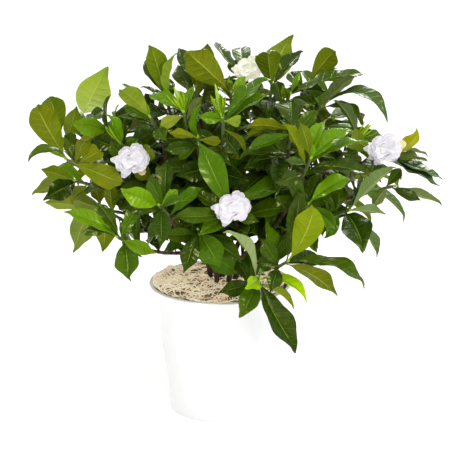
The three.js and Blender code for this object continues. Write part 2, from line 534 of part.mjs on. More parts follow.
// A blade swollen by the clearance on every side
function bladeSwollen(rows, clearance) {
  const sections = rows.map((row, i) => {
    const end = i === rows.length - 1 ? clearance : 0;
    const ahead = new THREE.Vector3().crossVectors(row.across, row.normal).multiplyScalar(end);
    const corner = (point, out, lift) => point.clone().add(ahead)
      .addScaledVector(row.across, out * clearance).addScaledVector(row.normal, lift * clearance);
    return [
      corner(row.left, -1, 1), corner(row.left, -1, -1), corner(row.mid, 0, -1),
      corner(row.right, 1, -1), corner(row.right, 1, 1), corner(row.mid, 0, 1),
    ];
  });
  const { points, faces } = skin(sections);
  return shell(points, faces);
}

function segmentCrosses(t, ax, ay, az, bx, by, bz) {
  const dx = bx - ax;
  const dy = by - ay;
  const dz = bz - az;
  const e1x = t[3] - t[0];
  const e1y = t[4] - t[1];
  const e1z = t[5] - t[2];
  const e2x = t[6] - t[0];
  const e2y = t[7] - t[1];
  const e2z = t[8] - t[2];
  const px = dy * e2z - dz * e2y;
  const py = dz * e2x - dx * e2z;
  const pz = dx * e2y - dy * e2x;
  const det = e1x * px + e1y * py + e1z * pz;
  if (Math.abs(det) < 1e-12) return false;
  const sx = ax - t[0];
  const sy = ay - t[1];
  const sz = az - t[2];
  const u = (sx * px + sy * py + sz * pz) / det;
  if (u < 0 || u > 1) return false;
  const qx = sy * e1z - sz * e1y;
  const qy = sz * e1x - sx * e1z;
  const qz = sx * e1y - sy * e1x;
  const v = (dx * qx + dy * qy + dz * qz) / det;
  if (v < 0 || u + v > 1) return false;
  const w = (e2x * qx + e2y * qy + e2z * qz) / det;
  return w >= 0 && w <= 1;
}

function trianglesCross(a, b) {
  for (let k = 0; k < 3; k += 1) {
    const high = Math.max(a[k], a[k + 3], a[k + 6]);
    const low = Math.min(a[k], a[k + 3], a[k + 6]);
    if (high < Math.min(b[k], b[k + 3], b[k + 6]) || low > Math.max(b[k], b[k + 3], b[k + 6])) return false;
  }
  for (const [one, other] of [[a, b], [b, a]]) {
    for (let k = 0; k < 9; k += 3) {
      const n = (k + 3) % 9;
      const ends = [other[k], other[k + 1], other[k + 2], other[n], other[n + 1], other[n + 2]];
      if (segmentCrosses(one, ...ends)) return true;
    }
  }
  return false;
}

const shellsCross = (a, b) => a.box.intersectsBox(b.box)
  && a.triangles.some((one) => b.triangles.some((other) => trianglesCross(one, other)));

// The pot with its filling, as the radius that must stay free at each height
function potRadius(z) {
  if (z > POT.height) return 0;
  if (z < POT.flareStart) return POT.base + ((POT.flareRadius - POT.base) * z) / POT.flareStart;
  const s = (z - POT.flareStart) / (POT.height - POT.flareStart);
  return POT.flareRadius + (POT.rim - POT.flareRadius) * (POT.flare[0] * s + POT.flare[1] * s * s);
}

function meetsPot(rows) {
  return rows.some((row, i) => [row.left, row.mid, row.right].some((point, k) => {
    const next = i + 1 < rows.length ? [rows[i + 1].left, rows[i + 1].mid, rows[i + 1].right][k] : point;
    return [0, 0.34, 0.67].some((share) => {
      const p = point.clone().lerp(next, share);
      const radius = Math.hypot(p.x, p.y);
      return radius < POT.rim + POT_CLEARANCE
        && p.z < POT.height + POT_CLEARANCE
        && radius < potRadius(Math.min(p.z, POT.height)) + POT_CLEARANCE;
    });
  }));
}

// What already stands, by the node it belongs to
const standing = [];
const stand = (node, item) => standing.push({ node, ...item });
const crossesOther = (swollen, node) => standing.some(
  (item) => item.node !== node && shellsCross(swollen, item));
const crossesOwn = (swollen, node) => standing.some(
  (item) => item.node === node && item.blade && shellsCross(swollen, item));

// Shoots: the twig runs from its foot, where the branch ends, to its top
function viewAxis([right, up, toward]) {
  return new THREE.Vector3().addScaledVector(RIGHT, right).addScaledVector(UPWARD, up)
    .addScaledVector(TOWARD, toward).normalize();
}

function frontShoot(entry, index) {
  const axis = viewAxis(entry.axis);
  const heart = seen(entry.top, entry.toward);
  const top = entry.bloom ? heart.clone().addScaledVector(axis, -BLOOM.stalk - GAP) : heart;
  return {
    ...entry, node: `shoot_${entry.name}`, seed: index + 1, axis, top, heart,
    foot: top.clone().addScaledVector(axis, -entry.twig),
  };
}

function backShoot(index) {
  const draw = draws(BACK.seedFrom + index);
  const share = (index + 0.5) / DOME.shoots;
  const lift = DOME.low + (DOME.high - DOME.low) * share;
  const golden = ((index + 1) * DOME.golden) % 1;
  const around = Math.PI * (0.5 + DOME.sweep * (golden - 0.5));
  const flat = Math.sqrt(Math.max(0, 1 - lift * lift));
  const out = new THREE.Vector3(flat * Math.cos(around), flat * Math.sin(around), lift);
  const top = DOME.centre.clone().add(out.clone().multiply(DOME.reach).multiplyScalar(draw(...DOME.near)));
  const axis = top.clone().sub(HUB).normalize().addScaledVector(WORLD_UP, BACK.rise).normalize();
  return {
    name: `back_${index + 1}`, node: `shoot_back_${index + 1}`, seed: SEEDS.back + index,
    axis, top, heart: top,
    twig: BACK.twig, foot: top.clone().addScaledVector(axis, -BACK.twig), leaves: [], back: true,
  };
}

const shoots = [...SHOOTS.map(frontShoot), ...Array.from({ length: DOME.shoots }, (_, i) => backShoot(i))];

function twigParts(shoot) {
  const start = shoot.foot.clone().addScaledVector(shoot.axis, GAP * 0.7);
  const route = [start, start.clone().lerp(shoot.top, 0.5), shoot.top];
  const radii = [TWIG.foot, (TWIG.foot + TWIG.tip) / 2, TWIG.tip];
  return { route, radii };
}

// A spindle-shaped flower bud stands on the twig's top
function budRoute(shoot) {
  const foot = shoot.top.clone().addScaledVector(shoot.axis, -TWIG.tip);
  const tip = seen(shoot.bud, towardOf(shoot.top) + BUD.toward);
  return BUD.steps.map((share) => foot.clone().lerp(tip, share));
}

// Leaves
function leafOf(foot, tip, up, wide, seed) {
  const draw = draws(seed);
  return {
    foot, tip, up, wide, outline: leafOutline, footHalf: BLADE.petioleHalf,
    arch: draw(...LEAF.arch), sweep: draw(...LEAF.sweep),
    fold: degrees(draw(...LEAF.fold)), twist: degrees(draw(...LEAF.twist)),
  };
}

const SHIFTS = [0, 6, -6, 12, -12, 19, -19, 27, -27, 36, -36, 46, -46, 58, -58];
const ROLLS = [0, 14, -14, 26, -26];
const LEAF = { leastLong: 1.05, widestShare: 0.43, slimShare: 0.36, longest: 118, spacing: 3, lower: 0.5,
  facing: 0.6, arch: [0.05, 0.12], sweep: [-0.05, 0.05], fold: [12, 24], twist: [-22, 22] };

function seenLeaf(shoot, entry, index, shift, roll) {
  const at = (entry.at ?? 0) * LEAF.lower + index * LEAF.spacing;
  const foot = shoot.top.clone().addScaledVector(shoot.axis, -at - TWIG.tip);
  const [footX, footY] = pixelOf(foot);
  const level = towardOf(foot);
  const flat = seen(entry.tip, level).distanceTo(foot);
  const length = Math.min(LEAF.longest, Math.max(LEAF.leastLong * flat, entry.wide / LEAF.widestShare));
  const above = entry.tip[1] < footY ? 1 : -1;
  const lean = entry.lean ?? -entry.side * above;
  const depth = lean * Math.sqrt(Math.max(0, length * length - flat * flat));
  const tip = seen(entry.tip, level + depth + shift);
  const along = tip.clone().sub(foot);
  const wide = Math.max(entry.wide, LEAF.slimShare * along.length());
  along.normalize();
  const facing = TOWARD.clone().addScaledVector(along, -TOWARD.dot(along)).normalize()
    .multiplyScalar(entry.side);
  const edge = new THREE.Vector3().crossVectors(along, facing);
  const wish = WORLD_UP.clone().multiplyScalar(LEAF.facing).add(shoot.axis);
  if (edge.dot(wish) < 0) edge.negate();
  const turn = Math.acos(Math.min(1, entry.wide / wide)) + degrees(roll);
  const up = facing.multiplyScalar(Math.cos(turn)).addScaledVector(edge, Math.sin(turn));
  const leaf = leafOf(foot, tip, up, wide, shoot.seed * SEEDS.seen + index);
  if (entry.arch) leaf.arch = entry.arch;
  if (entry.curve) leaf.sweep = -entry.curve * entry.side;
  return leaf;
}

function ruledLeaf(shoot, index, shift, roll) {
  const draw = draws(shoot.seed * SEEDS.ruled + index);
  const whorl = Math.floor(index / BACK.whorl);
  const foot = shoot.top.clone().addScaledVector(shoot.axis, -whorl * BACK.step - RULED.first);
  const sideways = new THREE.Vector3().crossVectors(shoot.axis, WORLD_UP).normalize();
  const lifted = new THREE.Vector3().crossVectors(sideways, shoot.axis);
  const turn = (2 * Math.PI * (index + 0.5 * whorl)) / BACK.whorl + draw(-RULED.jitter, RULED.jitter)
    + degrees(roll);
  const spread = degrees(draw(...BACK.spread) + whorl * RULED.lower + shift * RULED.perShift);
  const out = sideways.clone().multiplyScalar(Math.cos(turn)).addScaledVector(lifted, Math.sin(turn));
  const length = draw(...BACK.length);
  const along = shoot.axis.clone().multiplyScalar(Math.cos(spread)).addScaledVector(out, Math.sin(spread));
  const tip = foot.clone().addScaledVector(along, length);
  tip.z -= RULED.droop * length;
  along.copy(tip).sub(foot).normalize();
  const up = shoot.axis.clone().addScaledVector(WORLD_UP, RULED.facing);
  up.addScaledVector(along, -up.dot(along)).normalize();
  return leafOf(foot, tip, up, length * draw(...BACK.wide), shoot.seed * SEEDS.ruled + index);
}

function youngLeaf(shoot, index, roll) {
  const draw = draws(shoot.seed * SEEDS.young + index);
  const foot = shoot.top.clone().addScaledVector(shoot.axis, -TWIG.tip);
  const sideways = new THREE.Vector3().crossVectors(shoot.axis, RIGHT.clone().add(WORLD_UP)).normalize();
  const lifted = new THREE.Vector3().crossVectors(sideways, shoot.axis);
  const turn = Math.PI * index + draw(-YOUNG.jitter, YOUNG.jitter) + degrees(roll);
  const out = sideways.clone().multiplyScalar(Math.cos(turn)).addScaledVector(lifted, Math.sin(turn));
  const spread = degrees(draw(...YOUNG.spread));
  const length = draw(...YOUNG.length);
  const along = shoot.axis.clone().multiplyScalar(Math.cos(spread)).addScaledVector(out, Math.sin(spread));
  const up = out.clone().multiplyScalar(-1);
  up.addScaledVector(along, -up.dot(along)).normalize();
  const tip = foot.clone().addScaledVector(along, length);
  return leafOf(foot, tip, up, draw(...YOUNG.wide), shoot.seed * SEEDS.young + index);
}

const stepsFor = (wide) => {
  if (wide > WIDE_LEAF) return LEAF_STEPS;
  return wide > SLIM_LEAF ? SLIM_STEPS : PLAIN_STEPS;
};

// Tries the leaf's places in turn: clear of all, then clear of the other nodes only
function settle(shoot, make, steps, rolls) {
  let fallback = null;
  for (const roll of rolls) {
    for (const shift of SHIFTS) {
      const leaf = make(shift, roll);
      const rows = bladeRows(leaf, steps);
      if (meetsPot(rows)) continue;
      const swollen = bladeSwollen(rows, CLEARANCE);
      if (crossesOther(swollen, shoot.node)) continue;
      if (!crossesOwn(bladeSwollen(pastFoot(rows), CLEARANCE / 2), shoot.node)) return rows;
      fallback = fallback ?? rows;
    }
  }
  return fallback;
}

// Woody stems and the branch that carries each shoot
function stemRoute(stem) {
  const [x, y] = stem.foot;
  const low = new THREE.Vector3(x * 0.8, y * 0.8, STEM.buried);
  const ground = new THREE.Vector3(x, y, MOSS.bottom - 8);
  const clear = new THREE.Vector3(x, y, STEM.straight);
  const fork = new THREE.Vector3(...stem.fork);
  const rise = clear.clone().addScaledVector(WORLD_UP, 0.42 * (fork.z - clear.z));
  const bend = clear.clone().lerp(fork, 0.7);
  return [low, ground, clear, ...[0.33, 0.66, 1].map((t) => bezier(clear, rise, bend, fork, t))];
}

const stemRoutes = STEMS.map(stemRoute);

const nearestStem = (shoot) => stemRoutes.reduce((best, route) => (
  route[5].distanceTo(shoot.foot) < best[5].distanceTo(shoot.foot) ? route : best));

function branchRoute(shoot, stem, share, sway) {
  const [, , clear, low, high, fork] = stem;
  const start = share < 0.5 ? low.clone().lerp(high, 2 * share) : high.clone().lerp(fork, 2 * share - 1);
  const heading = (share < 0.5 ? high.clone().sub(low) : fork.clone().sub(high)).normalize();
  const end = shoot.foot.clone().addScaledVector(shoot.axis, -GAP * 0.7);
  const span = start.distanceTo(end);
  const second = start.clone().addScaledVector(heading, 0.35 * span).addScaledVector(RIGHT, sway)
    .setZ(Math.max(start.z + 0.2 * span, clear.z));
  const third = end.clone().addScaledVector(shoot.axis, -0.4 * span).addScaledVector(WORLD_UP, sway * 0.5);
  third.z = Math.max(third.z, POT.height + 12);
  return Array.from({ length: BRANCH.steps + 1 },
    (_, i) => bezier(start, second, third, end, i / BRANCH.steps));
}

const branchRadii = Array.from({ length: BRANCH.steps + 1 },
  (_, i) => BRANCH.start + ((BRANCH.end - BRANCH.start) * i) / BRANCH.steps);

function routeMeetsPot(route) {
  return route.some((p) => Math.hypot(p.x, p.y) < POT.rim + 8 && p.z < POT.height + 7
    && Math.hypot(p.x, p.y) > 84);
}

// The pot and what fills it
function potSolid() {
  const outside = [];
  const flareSteps = 4;
  outside.push(new THREE.Vector2(0, 0), new THREE.Vector2(POT.base - 2, 0), new THREE.Vector2(POT.base, 2));
  for (let i = 0; i <= flareSteps; i += 1) {
    const z = POT.flareStart + ((POT.height - 2 - POT.flareStart) * i) / flareSteps;
    outside.push(new THREE.Vector2(potRadius(z), z));
  }
  const inner = (z) => potRadius(z) - POT.wall;
  outside.push(new THREE.Vector2(POT.rim - 2, POT.height), new THREE.Vector2(POT.rim - 4, POT.height));
  for (const z of [POT.height - 2, POT.flareStart + 12, POT.flareStart, POT.floor + 6]) {
    outside.push(new THREE.Vector2(inner(z), z));
  }
  outside.push(new THREE.Vector2(inner(POT.floor) - 6, POT.floor), new THREE.Vector2(0, POT.floor));
  const turned = new THREE.LatheGeometry(outside, POT.sides);
  turned.rotateX(Math.PI / 2);
  return closedSolid(turned);
}

function lathed(profile, sides) {
  const turned = new THREE.LatheGeometry(profile.map(([r, z]) => new THREE.Vector2(r, z)), sides);
  turned.rotateX(Math.PI / 2);
  return closedSolid(turned);
}

function uprightHole(x, y, radius, low, high, sides = 8) {
  const hole = new THREE.CylinderGeometry(radius, radius, high - low, sides);
  hole.rotateX(Math.PI / 2);
  hole.translate(x, y, (low + high) / 2);
  return closedSolid(hole);
}

function mixSolid() {
  const clear = POT.wall + 1.2;
  const body = lathed([
    [0, POT.floor + GAP], [potRadius(POT.floor) - clear - 8, POT.floor + GAP],
    [potRadius(POT.floor + 10) - clear, POT.floor + 10],
    [potRadius(POT.flareStart) - clear, POT.flareStart], [potRadius(MIX.top) - clear, MIX.top], [0, MIX.top],
  ], 24);
  return body.subtract(uprightHole(0, 0, MIX.holeRadius, MIX.top - MIX.holeDepth, MIX.top + 5, 12));
}

function mossEdge(z) {
  return potRadius(z) - POT.wall - 1;
}

function mossHeight(radius, turn) {
  const share = radius / mossEdge(MOSS.edgeTop);
  const lumps = Math.sin(3 * turn + 0.12 * radius) * Math.cos(2 * turn - 0.17 * radius)
    + 0.6 * Math.sin(7 * turn + 0.31 * radius);
  return MOSS.edgeTop + MOSS.crown * (1 - share * share) + MOSS.relief * lumps * (share > 0.99 ? 0.4 : 1);
}

function mossSolid() {
  const edge = mossEdge(MOSS.edgeTop);
  const points = [new THREE.Vector3(0, 0, mossHeight(0, 0))];
  const faces = [];
  const ring = (r, z) => {
    for (let k = 0; k < MOSS.sides; k += 1) {
      const turn = (2 * Math.PI * k) / MOSS.sides;
      points.push(new THREE.Vector3(r * Math.cos(turn), r * Math.sin(turn), z(r, turn)));
    }
  };
  for (let i = 1; i <= MOSS.rings; i += 1) ring((edge * i) / MOSS.rings, mossHeight);
  ring(mossEdge(MOSS.bottom), () => MOSS.bottom);
  const bottom = points.push(new THREE.Vector3(0, 0, MOSS.bottom)) - 1;
  for (let k = 0; k < MOSS.sides; k += 1) {
    const next = (k + 1) % MOSS.sides;
    faces.push(0, 1 + k, 1 + next);
    for (let i = 0; i < MOSS.rings; i += 1) {
      const a = 1 + i * MOSS.sides;
      const b = a + MOSS.sides;
      faces.push(a + k, b + k, b + next, a + k, b + next, a + next);
    }
    const last = 1 + MOSS.rings * MOSS.sides;
    faces.push(bottom, last + next, last + k);
  }
  const holeFor = (stem) => uprightHole(...stem.foot, stem.radius + 1, MOSS.bottom - 5, MOSS.edgeTop + 25);
  return STEMS.reduce((mat, stem) => mat.subtract(holeFor(stem)), closedSolid(indexed(points, faces)));
}

// Blooms
function petalRows(heart, petal) {
  const [right, up, toward] = petal.tip;
  const foot = heart.clone().addScaledVector(TOWARD, -3);
  const tip = heart.clone().addScaledVector(RIGHT, right).addScaledVector(UPWARD, up)
    .addScaledVector(TOWARD, toward);
  const along = tip.clone().sub(foot).normalize();
  const face = TOWARD.clone().addScaledVector(along, -TOWARD.dot(along)).normalize();
  return bladeRows({
    foot, tip, up: face, wide: petal.wide, outline: petalOutline, footHalf: 1.5,
    arch: -petal.cup, sweep: 0, fold: degrees(10), twist: 0,
  }, PETAL_STEPS);
}

function bloomSolid(shoot) {
  const seat = shoot.heart.clone().addScaledVector(shoot.axis, -BLOOM.seat);
  const throat = shoot.heart.clone().addScaledVector(TOWARD, 2);
  const cup = skin(tubeSections([seat, shoot.heart, throat], [2.4, BLOOM.seatWide, 2], 6));
  const petals = PETALS.map((petal) => closedSolid(
    bladeGeometry(petalRows(shoot.heart, petal), BLOOM.petalThick, false)));
  return oneBody(wasm.Manifold.union([closedSolid(indexed(cup.points, cup.faces)), ...petals]));
}

// Growing: twigs and blooms take their places first, then the branches, then the leaves
const growth = new Map(shoots.map((shoot) => [shoot.node, []]));
for (const shoot of shoots) {
  const { route, radii } = twigParts(shoot);
  const twig = skin(tubeSections(route, radii, TWIG.sides));
  growth.get(shoot.node).push(closedSolid(indexed(twig.points, twig.faces)));
  stand(shoot.node, shell(twig.points, twig.faces));
  if (shoot.bud) {
    const bud = skin(tubeSections(budRoute(shoot), BUD.radii, BUD.sides));
    growth.get(shoot.node).push(closedSolid(indexed(bud.points, bud.faces)));
    stand(shoot.node, { ...shell(bud.points, bud.faces), blade: true });
  }
  if (shoot.bloom) PETALS.forEach((petal) => stand(shoot.name, bladeMiddle(petalRows(shoot.heart, petal))));
}

const wood = [];
function addWood(route, radii, sides, shoot) {
  const { points, faces } = skin(tubeSections(route, radii, sides, shoot.axis));
  wood.push(closedSolid(indexed(points, faces)));
  stand('woody_stems', shell(points, faces));
}

const SWAYS = [0, 14, -14, 28, -28, 42, -42, 60, -60];
function clearBranch(shoot, stem, share) {
  const swollen = branchRadii.map((radius) => radius + CLEARANCE);
  const clearSway = SWAYS.find((sway) => {
    const route = branchRoute(shoot, stem, share, sway);
    const end = route[BRANCH.steps].clone().lerp(route[BRANCH.steps - 1], BRANCH.endShare);
    const trimmed = [...route.slice(0, -1), end];
    const { points, faces } = skin(tubeSections(trimmed, swollen, BRANCH.sides));
    const fat = shell(points, faces);
    const blocked = standing.some((item) => item.node !== 'woody_stems' && shellsCross(fat, item));
    return !blocked && !routeMeetsPot(route);
  });
  return branchRoute(shoot, stem, share, clearSway ?? 0);
}

// The highest shoot of each stem is its leader, and carries on where the stem ends
stemRoutes.forEach((stem, i) => {
  const carried = shoots.filter((shoot) => nearestStem(shoot) === stem).sort((a, b) => a.foot.z - b.foot.z);
  const top = carried[carried.length - 1];
  const leader = clearBranch(top, stem, 1);
  const { radius } = STEMS[i];
  const lower = stem.map((_, k) => radius + ((STEM.forkRadius - radius) * Math.max(0, k - 2)) / 3);
  addWood([...stem, ...leader.slice(1)], [...lower, ...branchRadii.slice(1)], STEM.sides, top);
  carried.slice(0, -1).forEach((shoot, k) => {
    const share = STEM.firstFork + ((BRANCH.last - STEM.firstFork) * k) / Math.max(1, carried.length - 2);
    addWood(clearBranch(shoot, stem, share), branchRadii, BRANCH.sides, shoot);
  });
});

function grow(shoot, make, steps, rolls) {
  const rows = settle(shoot, make, steps, rolls);
  if (!rows) return;
  growth.get(shoot.node).push(closedSolid(bladeGeometry(rows, BLADE.thickness, true)));
  stand(shoot.node, { ...bladeMiddle(pastFoot(rows)), blade: true });
}

for (const shoot of shoots) {
  shoot.leaves.forEach((entry, index) => grow(
    shoot, (shift, roll) => seenLeaf(shoot, entry, index, shift, roll), stepsFor(entry.wide), ROLLS));
}
for (const shoot of shoots) {
  const count = shoot.back ? BACK.leaves : shoot.fill ?? 0;
  for (let index = 0; index < count; index += 1) {
    grow(shoot, (shift, roll) => ruledLeaf(shoot, index, shift, roll), PLAIN_STEPS, ROLLS);
  }
  for (let index = 0; index < (shoot.young ?? 0); index += 1) {
    grow(shoot, (shift, roll) => youngLeaf(shoot, index, roll), YOUNG_STEPS, YOUNG.rolls);
  }
}

// The model
const finish = (color, roughness) => new THREE.MeshStandardMaterial({ color, roughness, metalness: 0 });
const gardenia = new THREE.Group();
gardenia.name = 'potted_gardenia';

function place(name, solid, material) {
  const mesh = new THREE.Mesh(geometryOf(solid), material);
  mesh.name = name;
  gardenia.add(mesh);
}

place('pot', potSolid(), finish(0xf2f2f0, 0.25));
place('potting_mix', mixSolid(), finish(0x3a2a1e, 0.95));
place('moss_mat', mossSolid(), finish(0xcdb996, 0.95));
const crown = lathed([[0, CROWN.bottom], [CROWN.low, CROWN.bottom], [CROWN.wide, CROWN.shoulder],
  [CROWN.wide, CROWN.top], [0, CROWN.top]], 9);
place('woody_stems', oneBody(wasm.Manifold.union([crown, ...wood])), finish(0x4a3424, 0.8));
for (const shoot of shoots) {
  place(shoot.node, oneBody(wasm.Manifold.union(growth.get(shoot.node))), finish(0x3f7a1c, 0.35));
  if (shoot.bloom) place(shoot.name, bloomSolid(shoot), finish(0xf4f1f4, 0.6));
}

export default gardenia;
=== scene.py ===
"""Potted gardenia: the finished surfaces of the bush, its blooms, the moss and the glazed pot.

Lengths are in millimetres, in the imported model's frame, and turn into metres where a mesh is made.
"""
import logging
import math
from collections.abc import Callable, Sequence
from dataclasses import dataclass, field, replace
from enum import Enum

import bpy
import numpy as np
from mathutils import Euler, Matrix, Vector


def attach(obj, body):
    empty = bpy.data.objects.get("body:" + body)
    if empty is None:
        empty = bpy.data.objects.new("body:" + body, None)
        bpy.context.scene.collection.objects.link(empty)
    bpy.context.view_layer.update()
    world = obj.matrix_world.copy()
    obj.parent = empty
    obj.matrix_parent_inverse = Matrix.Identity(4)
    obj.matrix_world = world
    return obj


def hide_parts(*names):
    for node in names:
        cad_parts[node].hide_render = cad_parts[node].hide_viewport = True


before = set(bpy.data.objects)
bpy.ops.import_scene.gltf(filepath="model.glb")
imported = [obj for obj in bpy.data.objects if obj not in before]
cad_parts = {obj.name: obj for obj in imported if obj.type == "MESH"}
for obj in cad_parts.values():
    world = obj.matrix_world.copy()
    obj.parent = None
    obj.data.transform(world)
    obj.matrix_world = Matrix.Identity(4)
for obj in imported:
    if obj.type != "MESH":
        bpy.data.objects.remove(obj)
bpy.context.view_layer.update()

Array = np.ndarray
Point = tuple[float, float, float]
Pixel = tuple[float, float]
Colour = tuple[float, float, float]
Rgba = tuple[float, float, float, float]
Span = tuple[float, float]
Numbers = tuple[float, ...]

MM = 0.001
SAME_PLACE = 1e-5
ROOT_BODY = "root"
log = logging.getLogger("gardenia")


# Small vector helpers


def cross(a: Array, b: Array) -> Array:
    """Gives the cross product along the last axis."""
    return a[..., [1, 2, 0]] * b[..., [2, 0, 1]] - a[..., [2, 0, 1]] * b[..., [1, 2, 0]]


def dot(a: Array, b: Array) -> Array:
    """Gives the dot product along the last axis, kept as a column."""
    return np.sum(a * b, axis=-1, keepdims=True)


def unit(a: Array) -> Array:
    """Gives vectors of length one."""
    return a / np.linalg.norm(a, axis=-1, keepdims=True)


def bezier(a: Array, b: Array, c: Array, d: Array, t: Array) -> Array:
    """Walks along a cubic curve.

    Args:
        a: First point, the curve's start.
        b: First handle.
        c: Second handle.
        d: Last point, the curve's end.
        t: Shares of the way, from 0 to 1.

    Returns:
        One point for each share.
    """
    t = np.asarray(t, dtype=float).reshape(-1, 1)
    s = 1 - t
    return a * (s * s * s) + b * (3 * s * s * t) + c * (3 * s * t * t) + d * (t * t * t)


def smooth(low: float, high: float, x: Array) -> Array:
    """Rises smoothly from 0 at low to 1 at high."""
    s = np.clip((np.asarray(x, dtype=float) - low) / (high - low), 0, 1)
    return s * s * (3 - 2 * s)


SCREEN_TOE = 0.04045
SCREEN_SLOPE = 12.92
SCREEN_OFFSET = 0.055
SCREEN_POWER = 2.4


def linear(red: int, green: int, blue: int) -> Colour:
    """Turns an 8-bit screen colour into the linear one that a shader takes.

    Args:
        red: Red, from 0 to 255.
        green: Green, from 0 to 255.
        blue: Blue, from 0 to 255.

    Returns:
        The colour, with each part from 0 to 1.
    """
    return tuple(part / SCREEN_SLOPE if part < SCREEN_TOE
                 else ((part + SCREEN_OFFSET) / (1 + SCREEN_OFFSET)) ** SCREEN_POWER
                 for part in (red / 255, green / 255, blue / 255))


class Draws:
    """Repeatable draws: the same seed always gives the same numbers."""

    FACTOR = 16807
    PRIME = 2147483647
    SPREAD = 7919
    OFFSET = 104729

    def __init__(self, seed: int) -> None:
        """Starts the row of draws.

        Args:
            seed: Whole number that names the row.
        """
        self.state = (seed * self.SPREAD + self.OFFSET) % self.PRIME
        self.between(0, 1)
        self.between(0, 1)

    def between(self, low: float, high: float) -> float:
        """Draws the next number between low and high."""
        self.state = (self.state * self.FACTOR) % self.PRIME
        return low + (high - low) * (self.state / self.PRIME)


# The reference view


@dataclass(frozen=True)
class ReferenceView:
    """The view that the bush is laid out in: a pinhole camera and its square frame.

    Attributes:
        centre: Pixel of the frame's middle, across and down.
        focal: Focal length, in pixels.
        distance: Distance from the camera to the place that it looks at.
        tilt: How far the camera looks down.
        look: Place that it looks at.
        frame_width: Width of the frame, in pixels.
        sensor: Width of the camera's sensor.
        far: How far it sees, in metres.
    """

    centre: float = 225.0
    focal: float = 1800.0
    distance: float = 2500.0
    tilt: float = math.radians(16.2)
    look: Point = (6.7, 0.0, 266.4)
    frame_width: float = 450.0
    sensor: float = 36.0
    far: float = 50.0

    @property
    def right(self) -> Array:
        """Gives the direction to the viewer's right."""
        return np.array((1.0, 0.0, 0.0))

    @property
    def upward(self) -> Array:
        """Gives the direction up the viewer's frame."""
        return np.array((0.0, math.sin(self.tilt), math.cos(self.tilt)))

    @property
    def toward(self) -> Array:
        """Gives the direction toward the viewer."""
        return np.array((0.0, -math.cos(self.tilt), math.sin(self.tilt)))

    def seen(self, pixel: Pixel, toward: float) -> Array:
        """Finds the place that shows at a pixel.

        Args:
            pixel: The pixel, counted from the frame's upper left corner.
            toward: How far the place stands toward the viewer from the look point's plane.

        Returns:
            The place in millimetres.
        """
        scale = (self.distance - toward) / self.focal
        return (np.array(self.look) + self.right * ((pixel[0] - self.centre) * scale)
                + self.upward * ((self.centre - pixel[1]) * scale) + self.toward * toward)

    def toward_of(self, point: Array) -> float:
        """Gives how far a place stands toward the viewer."""
        return float(np.dot(point - np.array(self.look), self.toward))

    def pixel_of(self, point: Array) -> Pixel:
        """Finds the pixel that a place shows at.

        Args:
            point: The place in millimetres.

        Returns:
            The pixel, counted from the frame's upper left corner.
        """
        away = point - np.array(self.look)
        scale = self.focal / (self.distance - float(np.dot(away, self.toward)))
        return (self.centre + float(np.dot(away, self.right)) * scale,
                self.centre - float(np.dot(away, self.upward)) * scale)

    def axis(self, parts: Point) -> Array:
        """Gives the unit direction for parts to the right, up and toward the viewer."""
        return unit(self.right * parts[0] + self.upward * parts[1] + self.toward * parts[2])

    def add_camera(self) -> None:
        """Adds the camera that sees this view and makes it the scene's."""
        bpy.ops.object.camera_add()
        camera = bpy.context.object
        camera.name = "studio_camera"
        camera.data.sensor_width = self.sensor
        camera.data.lens = self.sensor * self.focal / self.frame_width
        camera.data.clip_end = self.far
        place = np.array(self.look) + self.toward * self.distance
        turn = Matrix((self.right, self.upward, self.toward)).transposed().to_4x4()
        camera.matrix_world = Matrix.Translation(Vector(place * MM)) @ turn
        bpy.context.scene.camera = camera


VIEW = ReferenceView()
WORLD_UP = np.array((0.0, 0.0, 1.0))


# Colours of the leaves


@dataclass(frozen=True)
class LeafTone:
    """The colours of a leaf's two faces.

    Attributes:
        upper: Colour of the glossy upper face.
        under: Colour of the matte underside.
    """

    upper: Colour
    under: Colour


class Tone(Enum):
    """Named leaf colours, from the youngest leaves to the oldest."""

    LIME = LeafTone(linear(166, 204, 6), linear(166, 196, 30))
    BRIGHT = LeafTone(linear(96, 134, 4), linear(130, 150, 12))
    FRESH = LeafTone(linear(66, 101, 4), linear(112, 128, 16))
    MID = LeafTone(linear(60, 85, 5), linear(104, 116, 18))
    DARK = LeafTone(linear(40, 60, 4), linear(84, 95, 18))
    OLIVE = LeafTone(linear(60, 82, 4), linear(107, 119, 8))
    PALE = LeafTone(linear(98, 126, 8), linear(136, 152, 42))
    SAGE = LeafTone(linear(80, 100, 20), linear(122, 134, 46))
    SILVER = LeafTone(linear(120, 140, 70), linear(172, 186, 122))
    # Partly a grey-green leaf colour and partly painted sheen: the grey that glossy leaves show when seen
    # edge-on.
    GREY = LeafTone(linear(62, 82, 36), linear(104, 118, 66))
    YELLOW = LeafTone(linear(140, 146, 8), linear(150, 154, 8))


# The layout of the bush


class Side(Enum):
    """The face that a leaf turns to the viewer."""

    UPPER = 1
    UNDER = -1


@dataclass(frozen=True)
class SeenLeaf:
    """A leaf as the viewer sees it.

    Attributes:
        tip: Pixel of the leaf's tip.
        wide: Width that shows.
        tone: Colours of its two faces.
        side: The face that it turns to the viewer.
        at: How far below the top of the twig it grows.
        lean: 1 for a tip nearer to the viewer than its foot, -1 for one farther, less for one that
            lies flatter to the view, 0 to be worked out.
        arch: How high it arches, as a share of its length, or 0 to be drawn.
        curve: How far it bends to the left on its way to the tip, as a share of its length.
    """

    tip: Pixel
    wide: float
    tone: Tone
    side: Side = Side.UPPER
    at: float = 0.0
    lean: float = 0.0
    arch: float = 0.0
    curve: float = 0.0


def upper(tip: Pixel, wide: float, tone: Tone, **more: float) -> SeenLeaf:
    """Describes a leaf that shows its upper face."""
    return SeenLeaf(tip, wide, tone, Side.UPPER, **more)


def under(tip: Pixel, wide: float, tone: Tone, **more: float) -> SeenLeaf:
    """Describes a leaf that shows its underside."""
    return SeenLeaf(tip, wide, tone, Side.UNDER, **more)


